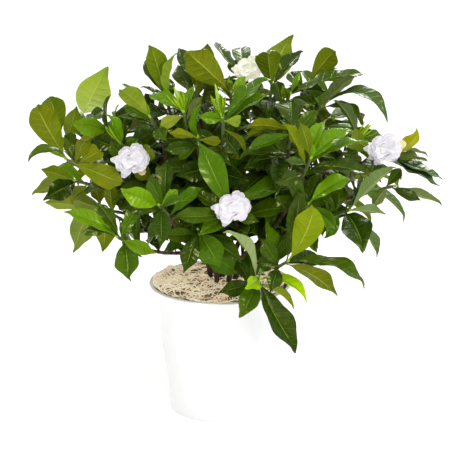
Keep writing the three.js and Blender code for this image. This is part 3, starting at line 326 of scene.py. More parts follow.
@dataclass(frozen=True)
class Shoot:
    """A leafy shoot that the front view shows.

    Attributes:
        name: Plain name, part of the node's name.
        pixel: Pixel of the twig's top, or of the bloom's heart.
        toward: Depth of that place, toward the viewer.
        parts: The twig's direction, to the right, up and toward the viewer.
        twig: Length of the twig.
        young: Number of young leaves at its top.
        fill: Number of older leaves further down.
        bloom: Whether it bears a bloom.
        bud: Pixel of a flower bud's tip.
        leaves: The leaves that the front view shows.
    """

    name: str
    pixel: Pixel
    toward: float
    parts: Point
    twig: float
    young: int = 0
    fill: int = 0
    bloom: bool = False
    bud: Pixel | None = None
    leaves: tuple[SeenLeaf, ...] = ()


SHOOTS: tuple[Shoot, ...] = (
    Shoot("bloom_centre", (232, 209), 158, (0.0, 0.25, 0.97), 34, bloom=True, leaves=(
        upper((199, 140), 36, Tone.FRESH, at=8, lean=0.3, curve=0.04),
        upper((298, 186), 23, Tone.FRESH, at=10),
        upper((276, 170), 21, Tone.DARK, at=22), upper((171, 217), 23, Tone.MID, at=16, curve=0.1),
        upper((259, 222), 18, Tone.MID, at=8, lean=1), upper((257, 176), 25, Tone.MID, at=18),
        upper((190, 192), 17, Tone.MID, at=24), upper((198, 236), 20, Tone.FRESH, at=20),)),
    Shoot("bloom_left", (131, 161), 118, (-0.25, 0.2, 0.95), 34, bloom=True, leaves=(
        upper((110, 139), 20, Tone.MID, at=14), under((152, 180), 24, Tone.OLIVE, at=12),
        under((151, 147), 24, Tone.OLIVE, at=14, lean=1), upper((104, 158), 20, Tone.DARK, at=22),
        upper((170, 160), 22, Tone.DARK, at=20),)),
    Shoot("bloom_right", (384, 150), 84, (0.3, 0.15, 0.94), 34, bloom=True, leaves=(
        under((417, 126), 19, Tone.YELLOW, at=10, curve=-0.42), upper((430, 155), 7, Tone.GREY, at=10),
        upper((429, 161), 13, Tone.GREY, at=12, arch=0.04, curve=-0.1),
        upper((444, 179), 11, Tone.GREY, at=14, arch=0.03, curve=-0.12),
        upper((441, 186), 12, Tone.GREY, at=16, arch=0.03, curve=-0.1),
        under((348, 135), 28, Tone.OLIVE, at=12),
        upper((371, 176), 24, Tone.DARK, at=16),)),
    Shoot("bloom_top", (248, 70), 20, (0.05, 0.5, 0.86), 30, bloom=True, leaves=(
        upper((242, 47), 28, Tone.GREY, at=10), upper((259, 56), 17, Tone.MID, at=12),
        upper((220, 43), 13, Tone.GREY, at=8, curve=0.45),
        upper((229, 60), 18, Tone.MID, at=14), upper((236, 98), 26, Tone.DARK, at=12),
        upper((262, 98), 26, Tone.DARK, at=12),)),
    Shoot("rim_right", (259, 277), 128, (0.25, 0.3, 0.85), 36, young=1, leaves=(
        upper((298, 352), 32, Tone.DARK, at=6, arch=0.04, curve=-0.1),
        upper((246, 289), 22, Tone.LIME, lean=1), upper((240, 318), 29, Tone.MID, at=8),
        upper((266, 216), 21, Tone.BRIGHT, curve=-0.06), under((222, 230), 14, Tone.SILVER, arch=0.16),
        upper((308, 303), 12, Tone.LIME, arch=0.2), upper((218, 292), 24, Tone.DARK, at=14),
        under((295, 309), 9, Tone.OLIVE, at=18), upper((236, 258), 20, Tone.DARK, at=16),)),
    Shoot("low_right", (288, 261), 160, (0.35, 0.25, 0.8), 34, leaves=(
        under((313, 204), 40, Tone.BRIGHT, curve=-0.1), upper((300, 187), 25, Tone.DARK, at=3),
        upper((368, 286), 17, Tone.MID, arch=0.12, lean=1), under((338, 296), 21, Tone.OLIVE, at=6),
        upper((322, 262), 24, Tone.DARK, at=14, lean=-1), upper((256, 262), 22, Tone.DARK, at=12),
        upper((262, 238), 22, Tone.MID, at=16), upper((270, 291), 22, Tone.DARK, at=16),)),
    Shoot("mid_right", (308, 204), 152, (0.15, 0.45, 0.8), 36, leaves=(
        upper((351, 178), 22, Tone.BRIGHT), upper((337, 228), 22, Tone.FRESH),
        upper((286, 226), 20, Tone.MID, at=14), upper((322, 172), 20, Tone.DARK, at=12),
        upper((284, 168), 22, Tone.MID, at=16), upper((300, 176), 16, Tone.DARK, at=10),
        upper((271, 214), 24, Tone.DARK, at=18), upper((276, 196), 20, Tone.MID, at=24),
        upper((316, 253), 20, Tone.MID, at=14),)),
    Shoot("drop_right", (350, 210), 120, (0.55, 0.2, 0.7), 34, leaves=(
        under((396, 165), 19, Tone.GREY), upper((361, 173), 14, Tone.DARK, at=4),
        under((386, 214), 12, Tone.GREY), upper((364, 252), 44, Tone.DARK, curve=0.05),
        under((379, 257), 8, Tone.GREY, at=6), upper((325, 239), 18, Tone.FRESH, at=8),
        upper((330, 192), 20, Tone.MID, at=12),)),
    Shoot("far_right", (394, 186), 60, (0.8, 0.2, 0.4), 34, leaves=(
        under((443, 204), 12, Tone.GREY, arch=0.04, curve=-0.08),
        upper((421, 200), 15, Tone.GREY, arch=0.04, curve=-0.06),
        under((372, 208), 18, Tone.GREY, at=8), upper((402, 168), 16, Tone.MID, at=4),
        upper((361, 190), 24, Tone.MID, at=12),)),
    Shoot("high_mid_right", (311, 158), 178, (0.25, 0.6, 0.7), 36, young=1, leaves=(
        under((300, 122), 19, Tone.OLIVE), upper((326, 120), 18, Tone.BRIGHT),
        upper((353, 128), 22, Tone.BRIGHT), upper((369, 141), 14, Tone.BRIGHT),
        upper((284, 160), 11, Tone.GREY, lean=1), upper((371, 175), 19, Tone.DARK, at=8),
        under((281, 119), 15, Tone.OLIVE, lean=1), upper((276, 184), 22, Tone.DARK, at=14),
        upper((345, 168), 16, Tone.DARK, at=12),)),
    Shoot("broad_right", (294, 129), 140, (0.2, 0.7, 0.6), 34, leaves=(
        upper((291, 98), 39, Tone.DARK), under((245, 127), 13, Tone.OLIVE, lean=1),
        upper((246, 152), 19, Tone.FRESH), under((244, 140), 15, Tone.OLIVE, at=6, arch=0.22),
        upper((318, 110), 20, Tone.MID, at=8), upper((252, 118), 22, Tone.DARK, at=12),
        upper((330, 128), 20, Tone.DARK, at=12),)),
    Shoot("back_right_arch", (322, 107), 35, (0.5, 0.6, 0.2), 34, leaves=(
        upper((390, 122), 17, Tone.GREY, arch=0.32), upper((364, 126), 15, Tone.MID, arch=0.25),
        under((357, 75), 17, Tone.GREY, lean=1), upper((300, 92), 20, Tone.DARK, at=10),)),
    Shoot("grey_right", (358, 138), 70, (0.5, 0.55, 0.5), 34, bud=(371, 125), leaves=(
        under((333, 99), 15, Tone.GREY), upper((380, 136), 20, Tone.MID),
        upper((332, 140), 22, Tone.DARK, at=8), upper((374, 134), 18, Tone.DARK, at=6),
        upper((350, 160), 20, Tone.DARK, at=12),)),
    Shoot("long_right", (290, 94), 80, (0.35, 0.75, 0.4), 34, young=1, leaves=(
        upper((364, 73), 17, Tone.MID, lean=-1, arch=0.05), upper((316, 104), 18, Tone.DARK, at=10),
        upper((283, 86), 13, Tone.PALE, lean=1), upper((304, 112), 20, Tone.MID, at=8),
        upper((276, 124), 24, Tone.DARK, at=12), upper((276, 80), 20, Tone.DARK, at=14),)),
    Shoot("top_right", (309, 82), 18, (0.35, 0.85, 0.1), 34, leaves=(
        under((336, 50), 32, Tone.OLIVE, curve=0.04), upper((338, 68), 16, Tone.MID),
        upper((325, 92), 20, Tone.MID, at=8), upper((290, 72), 22, Tone.MID, at=6),
        upper((300, 106), 24, Tone.DARK, at=10),)),
    Shoot("top_mid", (272, 84), 24, (0.1, 0.95, 0.2), 34, leaves=(
        under((291, 35), 44, Tone.OLIVE, lean=-1, curve=0.05), upper((304, 50), 20, Tone.DARK),
        under((267, 52), 38, Tone.OLIVE), under((252, 98), 24, Tone.OLIVE, at=8),
        upper((284, 114), 26, Tone.DARK, at=10), upper((264, 116), 26, Tone.DARK, at=14),)),
    Shoot("crest_young", (231, 92), 96, (0.0, 0.9, 0.45), 36, young=2, leaves=(
        under((184, 50), 42, Tone.OLIVE), upper((246, 76), 13, Tone.BRIGHT),
        upper((247, 91), 12, Tone.BRIGHT, lean=1), upper((205, 79), 11, Tone.BRIGHT),
        upper((224, 78), 9, Tone.DARK, at=4), upper((201, 93), 18, Tone.DARK, at=8),
        upper((262, 88), 20, Tone.MID, at=10), upper((246, 118), 26, Tone.DARK, at=14),
        upper((216, 122), 24, Tone.DARK, at=16),)),
    Shoot("crest_back", (196, 88), 45, (-0.1, 0.95, 0.1), 34, leaves=(
        upper((178, 47), 22, Tone.DARK), under((209, 43), 26, Tone.OLIVE),
        upper((176, 66), 26, Tone.MID, at=6),
        upper((206, 68), 22, Tone.DARK, at=8),
        under((190, 50), 22, Tone.OLIVE, at=8), upper((176, 112), 26, Tone.DARK, at=10),
        upper((206, 118), 28, Tone.DARK, at=12), upper((224, 104), 26, Tone.DARK, at=10),)),
    Shoot("crest_left", (166, 98), 74, (-0.25, 0.9, 0.35), 36, young=1, leaves=(
        under((150, 44), 31, Tone.OLIVE), upper((142, 61), 25, Tone.DARK, curve=-0.08),
        under((176, 51), 14, Tone.PALE), upper((159, 66), 11, Tone.MID),
        upper((141, 86), 9, Tone.GREY, at=8), upper((170, 78), 20, Tone.DARK, at=6),
        upper((146, 112), 24, Tone.DARK, at=8), upper((156, 108), 18, Tone.MID, at=4),
        upper((176, 126), 26, Tone.DARK, at=12), upper((190, 104), 24, Tone.DARK, at=10),)),
    Shoot("bud_mid_left", (184, 112), 132, (-0.1, 0.8, 0.6), 36, young=1, bud=(174, 87), leaves=(
        upper((150, 94), 22, Tone.BRIGHT), under((159, 126), 17, Tone.PALE, lean=1),
        upper((171, 88), 12, Tone.BRIGHT), upper((195, 85), 12, Tone.BRIGHT),
        under((203, 96), 13, Tone.GREY, at=3), upper((180, 80), 14, Tone.MID, at=8),)),
    Shoot("bud_mid", (223, 118), 152, (0.0, 0.8, 0.6), 36, young=1, bud=(215, 84), leaves=(
        upper((199, 116), 17, Tone.BRIGHT, lean=1), under((241, 120), 16, Tone.PALE, lean=1),
        upper((271, 77), 23, Tone.FRESH, at=5), upper((269, 94), 14, Tone.BRIGHT, lean=1),
        upper((213, 97), 15, Tone.BRIGHT, at=4), under((245, 153), 10, Tone.OLIVE, at=2, curve=0.12),
        upper((239, 155), 22, Tone.DARK, at=12, lean=1),)),
    Shoot("curled_mid", (198, 137), 132, (-0.05, 0.6, 0.75), 36, leaves=(
        under((169, 133), 14, Tone.OLIVE, lean=1), under((222, 141), 14, Tone.OLIVE, lean=1),
        upper((150, 141), 20, Tone.DARK, at=8), upper((163, 150), 20, Tone.DARK, at=12),
        upper((178, 160), 13, Tone.PALE, at=4), upper((200, 103), 12, Tone.BRIGHT),
        under((240, 160), 16, Tone.OLIVE, at=10),)),
    Shoot("spray_left", (150, 117), 122, (-0.4, 0.7, 0.6), 36, young=1, leaves=(
        upper((122, 83), 13, Tone.FRESH), under((119, 89), 26, Tone.PALE),
        upper((123, 105), 17, Tone.MID), upper((166, 140), 22, Tone.MID, at=14),
        upper((115, 118), 11, Tone.MID, at=6, lean=1),
        upper((139, 140), 20, Tone.DARK, at=10, lean=1), upper((176, 128), 18, Tone.DARK, at=12),)),
    Shoot("bud_left", (121, 144), 112, (-0.35, 0.7, 0.6), 34, young=1, bud=(112, 121), leaves=(
        upper((107, 113), 12, Tone.BRIGHT), upper((126, 103), 24, Tone.DARK, at=2),
        upper((138, 139), 15, Tone.MID, lean=1), upper((92, 138), 22, Tone.DARK, at=6, lean=1),
        upper((100, 152), 22, Tone.DARK, at=10, lean=1), upper((118, 104), 10, Tone.BRIGHT),)),
    Shoot("arch_left", (107, 129), 84, (-0.5, 0.7, 0.45), 34, leaves=(
        upper((69, 123), 27, Tone.BRIGHT, arch=0.2, lean=1), upper((92, 148), 20, Tone.MID, at=6),
        upper((110, 94), 8, Tone.DARK), under((162, 123), 11, Tone.GREY, at=4, lean=1),)),
    Shoot("pale_left", (82, 114), -6, (-0.45, 0.75, -0.1), 32, leaves=(
        under((107, 67), 50, Tone.PALE, lean=-1, curve=0.03), upper((96, 126), 22, Tone.MID, at=6),
        upper((104, 110), 18, Tone.MID, at=8),)),
    Shoot("left_high", (60, 138), 44, (-0.75, 0.55, 0.2), 34, leaves=(
        under((49, 95), 34, Tone.OLIVE), under((30, 113), 22, Tone.OLIVE, lean=-1),
        under((88, 152), 24, Tone.OLIVE), under((77, 106), 28, Tone.OLIVE, lean=-1),
        upper((70, 132), 18, Tone.MID, at=8), under((98, 134), 24, Tone.OLIVE, at=10),)),
    Shoot("left_crown", (66, 159), 98, (-0.75, 0.45, 0.5), 36, young=1, leaves=(
        under((36, 104), 42, Tone.OLIVE, curve=0.04), upper((26, 160), 12, Tone.OLIVE, arch=0.22, lean=1),
        under((124, 184), 34, Tone.OLIVE, lean=1), under((84, 140), 20, Tone.OLIVE, at=6),
        under((102, 150), 26, Tone.OLIVE, at=10),
        upper((52, 136), 16, Tone.OLIVE, at=8),)),
    Shoot("left_low", (76, 181), 58, (-0.8, 0.2, 0.4), 34, leaves=(
        upper((43, 199), 30, Tone.DARK), under((40, 169), 20, Tone.OLIVE),
        under((31, 195), 20, Tone.SAGE, lean=-1), upper((58, 165), 14, Tone.BRIGHT, at=4),
        under((62, 206), 26, Tone.OLIVE, at=8), upper((98, 190), 24, Tone.MID, at=8),
        under((106, 176), 26, Tone.OLIVE, at=12), under((100, 205), 20, Tone.OLIVE, at=8),)),
    Shoot("left_skirt", (96, 209), 30, (-0.7, 0.1, 0.2), 34, leaves=(
        under((44, 203), 22, Tone.SAGE), under((76, 253), 38, Tone.SAGE, curve=-0.16),
        under((63, 178), 24, Tone.OLIVE), under((104, 252), 34, Tone.OLIVE),
        under((72, 198), 24, Tone.SAGE, at=6), under((110, 180), 18, Tone.OLIVE, at=8),
        under((84, 218), 24, Tone.SAGE, at=10),)),
    Shoot("low_left", (117, 237), 132, (-0.5, 0.3, 0.75), 36, young=1, leaves=(
        upper((63, 212), 18, Tone.BRIGHT, lean=1), upper((96, 202), 14, Tone.MID),
        upper((141, 203), 20, Tone.FRESH), upper((157, 254), 20, Tone.BRIGHT, arch=0.16),
        upper((128, 281), 36, Tone.FRESH, curve=0.06), upper((82, 231), 12, Tone.DARK, at=6, lean=-1),)),
    Shoot("upright_left", (112, 214), 70, (-0.6, 0.35, 0.4), 34, leaves=(
        under((109, 183), 20, Tone.OLIVE), upper((84, 236), 22, Tone.MID, at=6),
        upper((142, 258), 17, Tone.MID, at=8), upper((134, 232), 22, Tone.MID, at=8),)),
    Shoot("folded_left", (159, 205), 162, (-0.3, 0.35, 0.85), 36, leaves=(
        upper((120, 190), 28, Tone.BRIGHT, lean=1), upper((178, 189), 14, Tone.BRIGHT),
        upper((187, 199), 14, Tone.FRESH, lean=1), upper((162, 246), 28, Tone.DARK),
        upper((148, 176), 20, Tone.MID, at=12), upper((124, 208), 20, Tone.DARK, at=6),
        upper((168, 157), 24, Tone.DARK, at=10),)),
    Shoot("low_mid", (198, 229), 118, (-0.1, 0.3, 0.8), 34, leaves=(
        upper((184, 273), 25, Tone.DARK), upper((221, 267), 36, Tone.FRESH, lean=1),
        upper((243, 262), 24, Tone.DARK, at=12), upper((204, 264), 20, Tone.DARK, at=14),
        upper((203, 252), 20, Tone.MID, at=6), upper((236, 248), 24, Tone.MID, at=6, lean=1),
        upper((163, 236), 22, Tone.MID, at=10), upper((250, 226), 22, Tone.DARK, at=12),)),
    Shoot("dark_mid", (214, 166), 78, (0.0, 0.5, 0.8), 34, fill=4, leaves=(
        upper((176, 176), 30, Tone.DARK, lean=1), upper((250, 180), 30, Tone.DARK, lean=1),
        upper((222, 202), 28, Tone.DARK),)),
    Shoot("dark_right", (276, 212), 72, (0.2, 0.4, 0.8), 34, fill=4, leaves=(
        upper((240, 226), 30, Tone.DARK, lean=1), upper((300, 240), 30, Tone.DARK, lean=1),
        upper((278, 250), 30, Tone.DARK), upper((316, 214), 28, Tone.DARK),)),
    Shoot("dark_left", (168, 186), 66, (-0.25, 0.4, 0.8), 34, fill=4, leaves=(
        upper((136, 208), 30, Tone.DARK, lean=1), upper((190, 222), 30, Tone.DARK),
        upper((166, 222), 28, Tone.DARK),)),
    Shoot("dark_high", (278, 150), 84, (0.1, 0.6, 0.7), 34, fill=4, leaves=(
        upper((244, 168), 30, Tone.DARK, lean=1), upper((312, 172), 30, Tone.DARK, lean=1),
        upper((276, 196), 30, Tone.DARK), upper((304, 136), 28, Tone.DARK),)),
)


BRIGHT_SHOOTS = ("crest_young", "spray_left", "bud_mid", "bud_mid_left", "bud_left", "mid_right",
                 "high_mid_right", "low_left", "arch_left", "bloom_centre")
DARK_SHOOTS = ("dark_mid", "dark_right", "dark_left", "dark_high", "curled_mid", "low_mid",
               "folded_left")
CREAM_BLOOMS = ("bloom_top",)


# Rules of growth


@dataclass(frozen=True)
class HiddenDome:
    """The shoots that the front view hides: they fill the dome's far side, one golden angle apart.

    Attributes:
        centre: The dome's centre.
        reach: Its reach to the sides, to the back and upward.
        shoots: Number of shoots.
        low: Lowest shoot, as a share of the reach.
        high: Highest shoot, as a share of the reach.
        sweep: Share of the half circle that they cover.
        golden: Share of the sweep from one shoot to the next.
        near: Range of how near they come to the dome's surface.
        leaves: Leaves on each shoot.
        whorl: Leaves in one whorl.
        step: Distance between whorls.
        spread: Range of angles between leaf and twig, in degrees.
        length: Range of leaf lengths.
        wide: Range of leaf widths, as a share of the length.
        twig: Length of a twig.
        rise: How far the twigs turn upward.
        seed_from: Whole number that the shoots' draws start from.
    """

    centre: Point = (18.0, 12.0, 322.0)
    reach: Point = (190.0, 176.0, 128.0)
    shoots: int = 14
    low: float = -0.36
    high: float = 0.86
    sweep: float = 1.02
    golden: float = 0.6180339887
    near: Span = (0.86, 1.0)
    leaves: int = 7
    whorl: int = 3
    step: float = 8.0
    spread: Span = (48.0, 80.0)
    length: Span = (76.0, 100.0)
    wide: Span = (0.36, 0.44)
    twig: float = 40.0
    rise: float = 0.35
    seed_from: int = 500


@dataclass(frozen=True)
class RuledLeaves:
    """Leaves that stand in whorls by rule.

    Attributes:
        first: How far below the twig's top the first whorl stands.
        jitter: How far a leaf turns from its place in the whorl, either way.
        lower: How much wider each lower whorl spreads, in degrees.
        per_shift: How much wider a leaf spreads for each millimetre that it is shifted, in degrees.
        droop: How far a leaf hangs, as a share of its length.
        facing: How strongly a leaf turns its face upward.
    """

    first: float = 3.0
    jitter: float = 0.3
    lower: float = 8.0
    per_shift: float = 0.5
    droop: float = 0.1
    facing: float = 0.6


@dataclass(frozen=True)
class YoungLeaves:
    """Young leaves at a twig's top.

    Attributes:
        length: Range of lengths.
        wide: Range of widths.
        spread: Range of angles between leaf and twig, in degrees.
        jitter: How far a leaf turns from its place round the twig, either way.
    """

    length: Span = (20.0, 36.0)
    wide: Span = (6.5, 9.0)
    spread: Span = (12.0, 34.0)
    jitter: float = 0.6


@dataclass(frozen=True)
class LeafRule:
    """How a grown leaf is made from what the viewer sees of it.

    Attributes:
        least_long: Least length, as a multiple of the length that shows.
        widest_share: Greatest width, as a share of the length.
        slim_share: Least width, as a share of the length.
        longest: Greatest length.
        spacing: Distance from one leaf to the next down the twig.
        lower: Share of a leaf's own distance that counts.
        facing: How strongly leaf edges turn upward.
        arch: Range of arches, as a share of the length.
        sweep: Range of sideways bends, as a share of the length.
        fold: Range of the angles that the wings rise at, in degrees.
        twist: Range of twists, in degrees.
    """

    least_long: float = 1.05
    widest_share: float = 0.43
    slim_share: float = 0.36
    longest: float = 118.0
    spacing: float = 3.0
    lower: float = 0.5
    facing: float = 0.6
    arch: Span = (0.05, 0.12)
    sweep: Span = (-0.05, 0.05)
    fold: Span = (12.0, 24.0)
    twist: Span = (-22.0, 22.0)


@dataclass(frozen=True)
class InnerLeaves:
    """Leaves on the branches, deep in the bush.

    Attributes:
        name: Name of their piece.
        leaves: Leaves on each branch.
        tries: Places that are tried for each.
        shares: Range of their places along the branch.
        length: Range of lengths.
        spread: Range of angles between leaf and branch, in degrees.
        rise: How far they turn upward.
        within: Farthest tip, as a share of the dome's reach.
        lowest: Lowest tip.
        lowest_seen: Lowest row of the frame that a tip may show at, so that the stems show.
        clearance: Clearance from everything but the wood.
        wood_clearance: Clearance from the wood.
        fused: Share of a leaf's first stretch that may lie in the wood.
        aside: How far the level that they turn about leans to the viewer's right.
        sunk: How far from the branch's middle they start, as a share of its radius.
        toward: How strongly they turn to the viewer.
        tones: Their colours, in turn.
        seed_from: Whole number that their draws start from.
    """

    name: str = "inner_leaves"
    leaves: int = 15
    tries: int = 22
    shares: Span = (0.4, 1.0)
    length: Span = (42.0, 82.0)
    spread: Span = (35.0, 100.0)
    rise: float = 0.25
    within: float = 0.92
    lowest: float = 226.0
    lowest_seen: float = 254.0
    clearance: float = 0.9
    wood_clearance: float = 0.3
    fused: float = 0.8
    aside: float = 0.2
    sunk: float = 0.8
    toward: float = 0.3
    tones: tuple[Tone, ...] = (Tone.FRESH, Tone.MID, Tone.OLIVE, Tone.MID)
    seed_from: int = 9000


@dataclass(frozen=True)
class Stem:
    """A woody stem.

    Attributes:
        foot: Where it leaves the soil, from the pot's middle.
        fork: Where it forks.
        radius: Its radius below the fork.
    """

    foot: Span
    fork: Point
    radius: float


@dataclass(frozen=True)
class StemRule:
    """What the woody stems share.

    Attributes:
        buried: Height where they leave the root crown.
        root_share: How near the pot's middle they start, as a share of their foot's distance.
        ground: Height of the soil.
        straight: Height up to which they stand upright.
        rise: How far they keep upright past that, as a share of the height that is left.
        bend: Where they have turned to the fork, as a share of the way to it.
        steps: Their points past the upright stretch, as shares of the way.
        fork_radius: Their radius at the fork.
        taper_from: Number of the point where they start to taper.
        first_fork: Where the lowest branch leaves them, as a share of their upper part.
        sides: Faces round them, for clearances.
    """

    buried: float = 128.0
    root_share: float = 0.8
    ground: float = 157.8
    straight: float = 194.0
    rise: float = 0.42
    bend: float = 0.7
    steps: Numbers = (0.33, 0.66, 1)
    fork_radius: float = 3.1
    taper_from: int = 2
    first_fork: float = 0.05
    sides: int = 5


DOME = HiddenDome()
INNER = InnerLeaves()
RULED = RuledLeaves()
YOUNG = YoungLeaves()
LEAF = LeafRule()
STEM = StemRule()
STEMS = (
    Stem((-14, 5), (-72, -6, 285), 4.0),
    Stem((-5, -17), (-48, -74, 268), 3.6),
    Stem((12, -18), (52, -84, 262), 3.8),
    Stem((22, -1), (98, -18, 280), 4.0),
    Stem((14, 19), (70, 72, 288), 3.6),
    Stem((-9, 21), (-56, 74, 288), 3.6),
    Stem((2, 1), (12, -4, 322), 4.2),
)
WOOD_NODE = "woody_stems"
TWIG_TIP = 1.9


# Leaves and petals: a blade is V-folded along its midrib and arched from foot to tip


PETIOLE_SHARE = 0.08
BASE_GROW = 1.15
TIP_GROW = 0.85
PEAK_AT = BASE_GROW / (BASE_GROW + TIP_GROW)
PEAK = PEAK_AT ** BASE_GROW * (1 - PEAK_AT) ** TIP_GROW
PETAL_FOOT_SHARE = 0.28
PETAL_GROW = 1.15
PETAL_END_FROM = 0.8
PETAL_END_LONG = 0.2
PETAL_END_SHARE = 0.5


def leaf_outline(t: Array) -> Array:
    """Gives a leaf's width along its length, as a share of its widest place."""
    s = np.maximum(0.0, (t - PETIOLE_SHARE) / (1 - PETIOLE_SHARE))
    return s ** BASE_GROW * (1 - s) ** TIP_GROW / PEAK


def petal_outline(t: Array) -> Array:
    """Gives a petal's width along its length, as a share of its widest place.

    Args:
        t: Shares of the way from foot to tip.

    Returns:
        One share of the width for each.
    """
    past = (t - PETAL_END_FROM) / PETAL_END_LONG
    end = np.where(past > 0, 1 - (1 - PETAL_END_SHARE) * past ** 2, 1.0)
    return np.minimum(1.0, PETAL_FOOT_SHARE + PETAL_GROW * t) * end


@dataclass
class Rows:
    """Cross-sections of a blade: one row of each array for each section.

    Attributes:
        mid: Points of the midrib.
        normal: Directions that the upper face turns to.
        across: Directions across the blade.
        left: Points of the left edge.
        right: Points of the right edge.
    """

    mid: Array
    normal: Array
    across: Array
    left: Array
    right: Array

    def past_foot(self, fused: float) -> "Rows":
        """Leaves out the part of the stalk that is fused to the twig.

        Args:
            fused: That part, as a share of the first stretch.

        Returns:
            The cross-sections of the rest.
        """
        mid, left, right = self.mid.copy(), self.left.copy(), self.right.copy()
        for line in (mid, left, right):
            line[0] += (line[1] - line[0]) * fused
        return replace(self, mid=mid, left=left, right=right)


@dataclass
class Blade:
    """A leaf or petal, by its foot and tip and how it bends between them.

    Attributes:
        foot: Where it leaves the twig.
        tip: Where it ends.
        up: Direction that its upper face turns to.
        wide: Its greatest width.
        arch: How high it arches, as a share of its length.
        sweep: How far it bends sideways, as a share of its length.
        fold: Angle that its wings rise at.
        twist: Angle that it turns through along its length.
        foot_half: Half the width of its stalk.
        outline: Its width along its length.
        BOW: Height of the middle line's handles for an arch of 1.
        HANDLES: Where those handles stand, as shares of the way.
        TWIST_FROM: Where it isn't twisted, as a share of the way.
        STEP: Share of the way that its direction is measured over.
    """

    foot: Array
    tip: Array
    up: Array
    wide: float
    arch: float
    sweep: float
    fold: float
    twist: float
    foot_half: float = 1.1
    outline: Callable[[Array], Array] = leaf_outline

    BOW = 1.35
    HANDLES = (0.33, 0.72)
    TWIST_FROM = 0.3
    STEP = 1e-3

    def length(self) -> float:
        """Gives the straight length from foot to tip."""
        return float(np.linalg.norm(self.tip - self.foot))

    def frame_at(self, t: Array) -> tuple[Array, Array, Array, Array]:
        """Finds the blade's middle line and directions.

        Args:
            t: Shares of the way from foot to tip.

        Returns:
            The middle points, the normals, the directions across and the half widths as a column.
        """
        along = self.tip - self.foot
        length = np.linalg.norm(along)
        side = unit(cross(along, self.up))
        bow = length * self.arch * self.BOW
        second, third = (self.foot + along * share + self.up * bow + side * (self.sweep * length)
                         for share in self.HANDLES)
        curve = (self.foot, second, third, self.tip)
        mid = bezier(*curve, t)
        ahead = bezier(*curve, np.minimum(1.0, t + self.STEP))
        behind = bezier(*curve, np.maximum(0.0, t - self.STEP))
        tangent = unit(ahead - behind)
        upright = unit(self.up - tangent * dot(tangent, self.up))
        flat = cross(tangent, upright)
        turn = (self.twist * (t - self.TWIST_FROM)).reshape(-1, 1)
        normal = upright * np.cos(turn) + flat * np.sin(turn)
        half = np.maximum(self.foot_half * (1 - t), 0.5 * self.wide * self.outline(t))
        return mid, normal, cross(normal, tangent), half.reshape(-1, 1)

    def rows(self, steps: Sequence[float]) -> Rows:
        """Cuts the blade into cross-sections.

        Args:
            steps: Where, as shares of its length.

        Returns:
            The cross-sections.
        """
        mid, normal, across, half = self.frame_at(np.array(steps, dtype=float))
        rise = normal * (math.sin(self.fold) * half)
        reach = across * (math.cos(self.fold) * half)
        return Rows(mid, normal, across, mid - reach + rise, mid + reach + rise)


# Shells: triangles that stand for a piece when clearances are tested


def skin_faces(sections: int, count: int) -> Array:
    """Lists the triangles over rings of points, closed at both ends.

    Args:
        sections: Number of rings.
        count: Number of points in each ring.

    Returns:
        Rows of three point numbers.
    """
    faces = []
    for s in range(sections - 1):
        for k in range(count):
            a, b = s * count + k, s * count + (k + 1) % count
            faces += [(a, b, b + count), (a, b + count, a + count)]
    last = (sections - 1) * count
    for k in range(1, count - 1):
        faces += [(0, k + 1, k), (last, last + k, last + k + 1)]
    return np.array(faces)


def middle_shell(rows: Rows) -> Array:
    """Lays triangles over a blade's middle surface.

    Args:
        rows: The blade's cross-sections.

    Returns:
        The triangles.
    """
    points = np.stack((rows.left, rows.mid, rows.right), axis=1).reshape(-1, 3)
    first = ((0, 1, 4), (0, 4, 3), (2, 4, 1), (2, 5, 4))
    faces = [np.array(first) + 3 * row for row in range(len(rows.mid) - 1)]
    return points[np.concatenate(faces)]


def swollen_shell(rows: Rows, clearance: float) -> Array:
    """Lays triangles round a blade, swollen on every side.

    Args:
        rows: The blade's cross-sections.
        clearance: How far it swells.

    Returns:
        The triangles.
    """
    ends = np.zeros((len(rows.mid), 1))
    ends[-1] = clearance
    ahead = cross(rows.across, rows.normal) * ends
    corners = [(rows.left, -1, 1), (rows.left, -1, -1), (rows.mid, 0, -1),
               (rows.right, 1, -1), (rows.right, 1, 1), (rows.mid, 0, 1)]
    sections = [point + ahead + rows.across * (out * clearance) + rows.normal * (lift * clearance)
                for point, out, lift in corners]
    points = np.stack(sections, axis=1).reshape(-1, 3)
    return points[skin_faces(len(rows.mid), len(corners))]


TUBE_START = np.array((0.31, 0.83, 0.46))


def tube_rings(route: Array, radii: Sequence[float], sides: int,
               end_axis: Array | None = None) -> Array:
    """Lays rings of points round a route.

    Args:
        route: Points along the middle of the tube.
        radii: The tube's radius at each point.
        sides: Points in each ring.
        end_axis: Direction of the tube's end, if it isn't the route's own.

    Returns:
        The rings, one after the other.
    """
    normal = TUBE_START
    turns = 2 * math.pi * np.arange(sides).reshape(-1, 1) / sides
    rings = []
    for i, point in enumerate(route):
        along = unit(route[min(i + 1, len(route) - 1)] - route[max(i - 1, 0)])
        if end_axis is not None and i == len(route) - 1:
            along = end_axis
        normal = unit(normal - along * np.dot(normal, along))
        across = cross(along, normal)
        rings.append(point + (normal * np.cos(turns) + across * np.sin(turns)) * radii[i])
    return np.concatenate(rings)


def tube_shell(route: Array, radii: Sequence[float], sides: int,
               end_axis: Array | None = None) -> Array:
    """Gives the triangles of a closed tube, laid out as tube_rings does."""
    return tube_rings(route, radii, sides, end_axis)[skin_faces(len(route), sides)]


PARALLEL = 1e-12


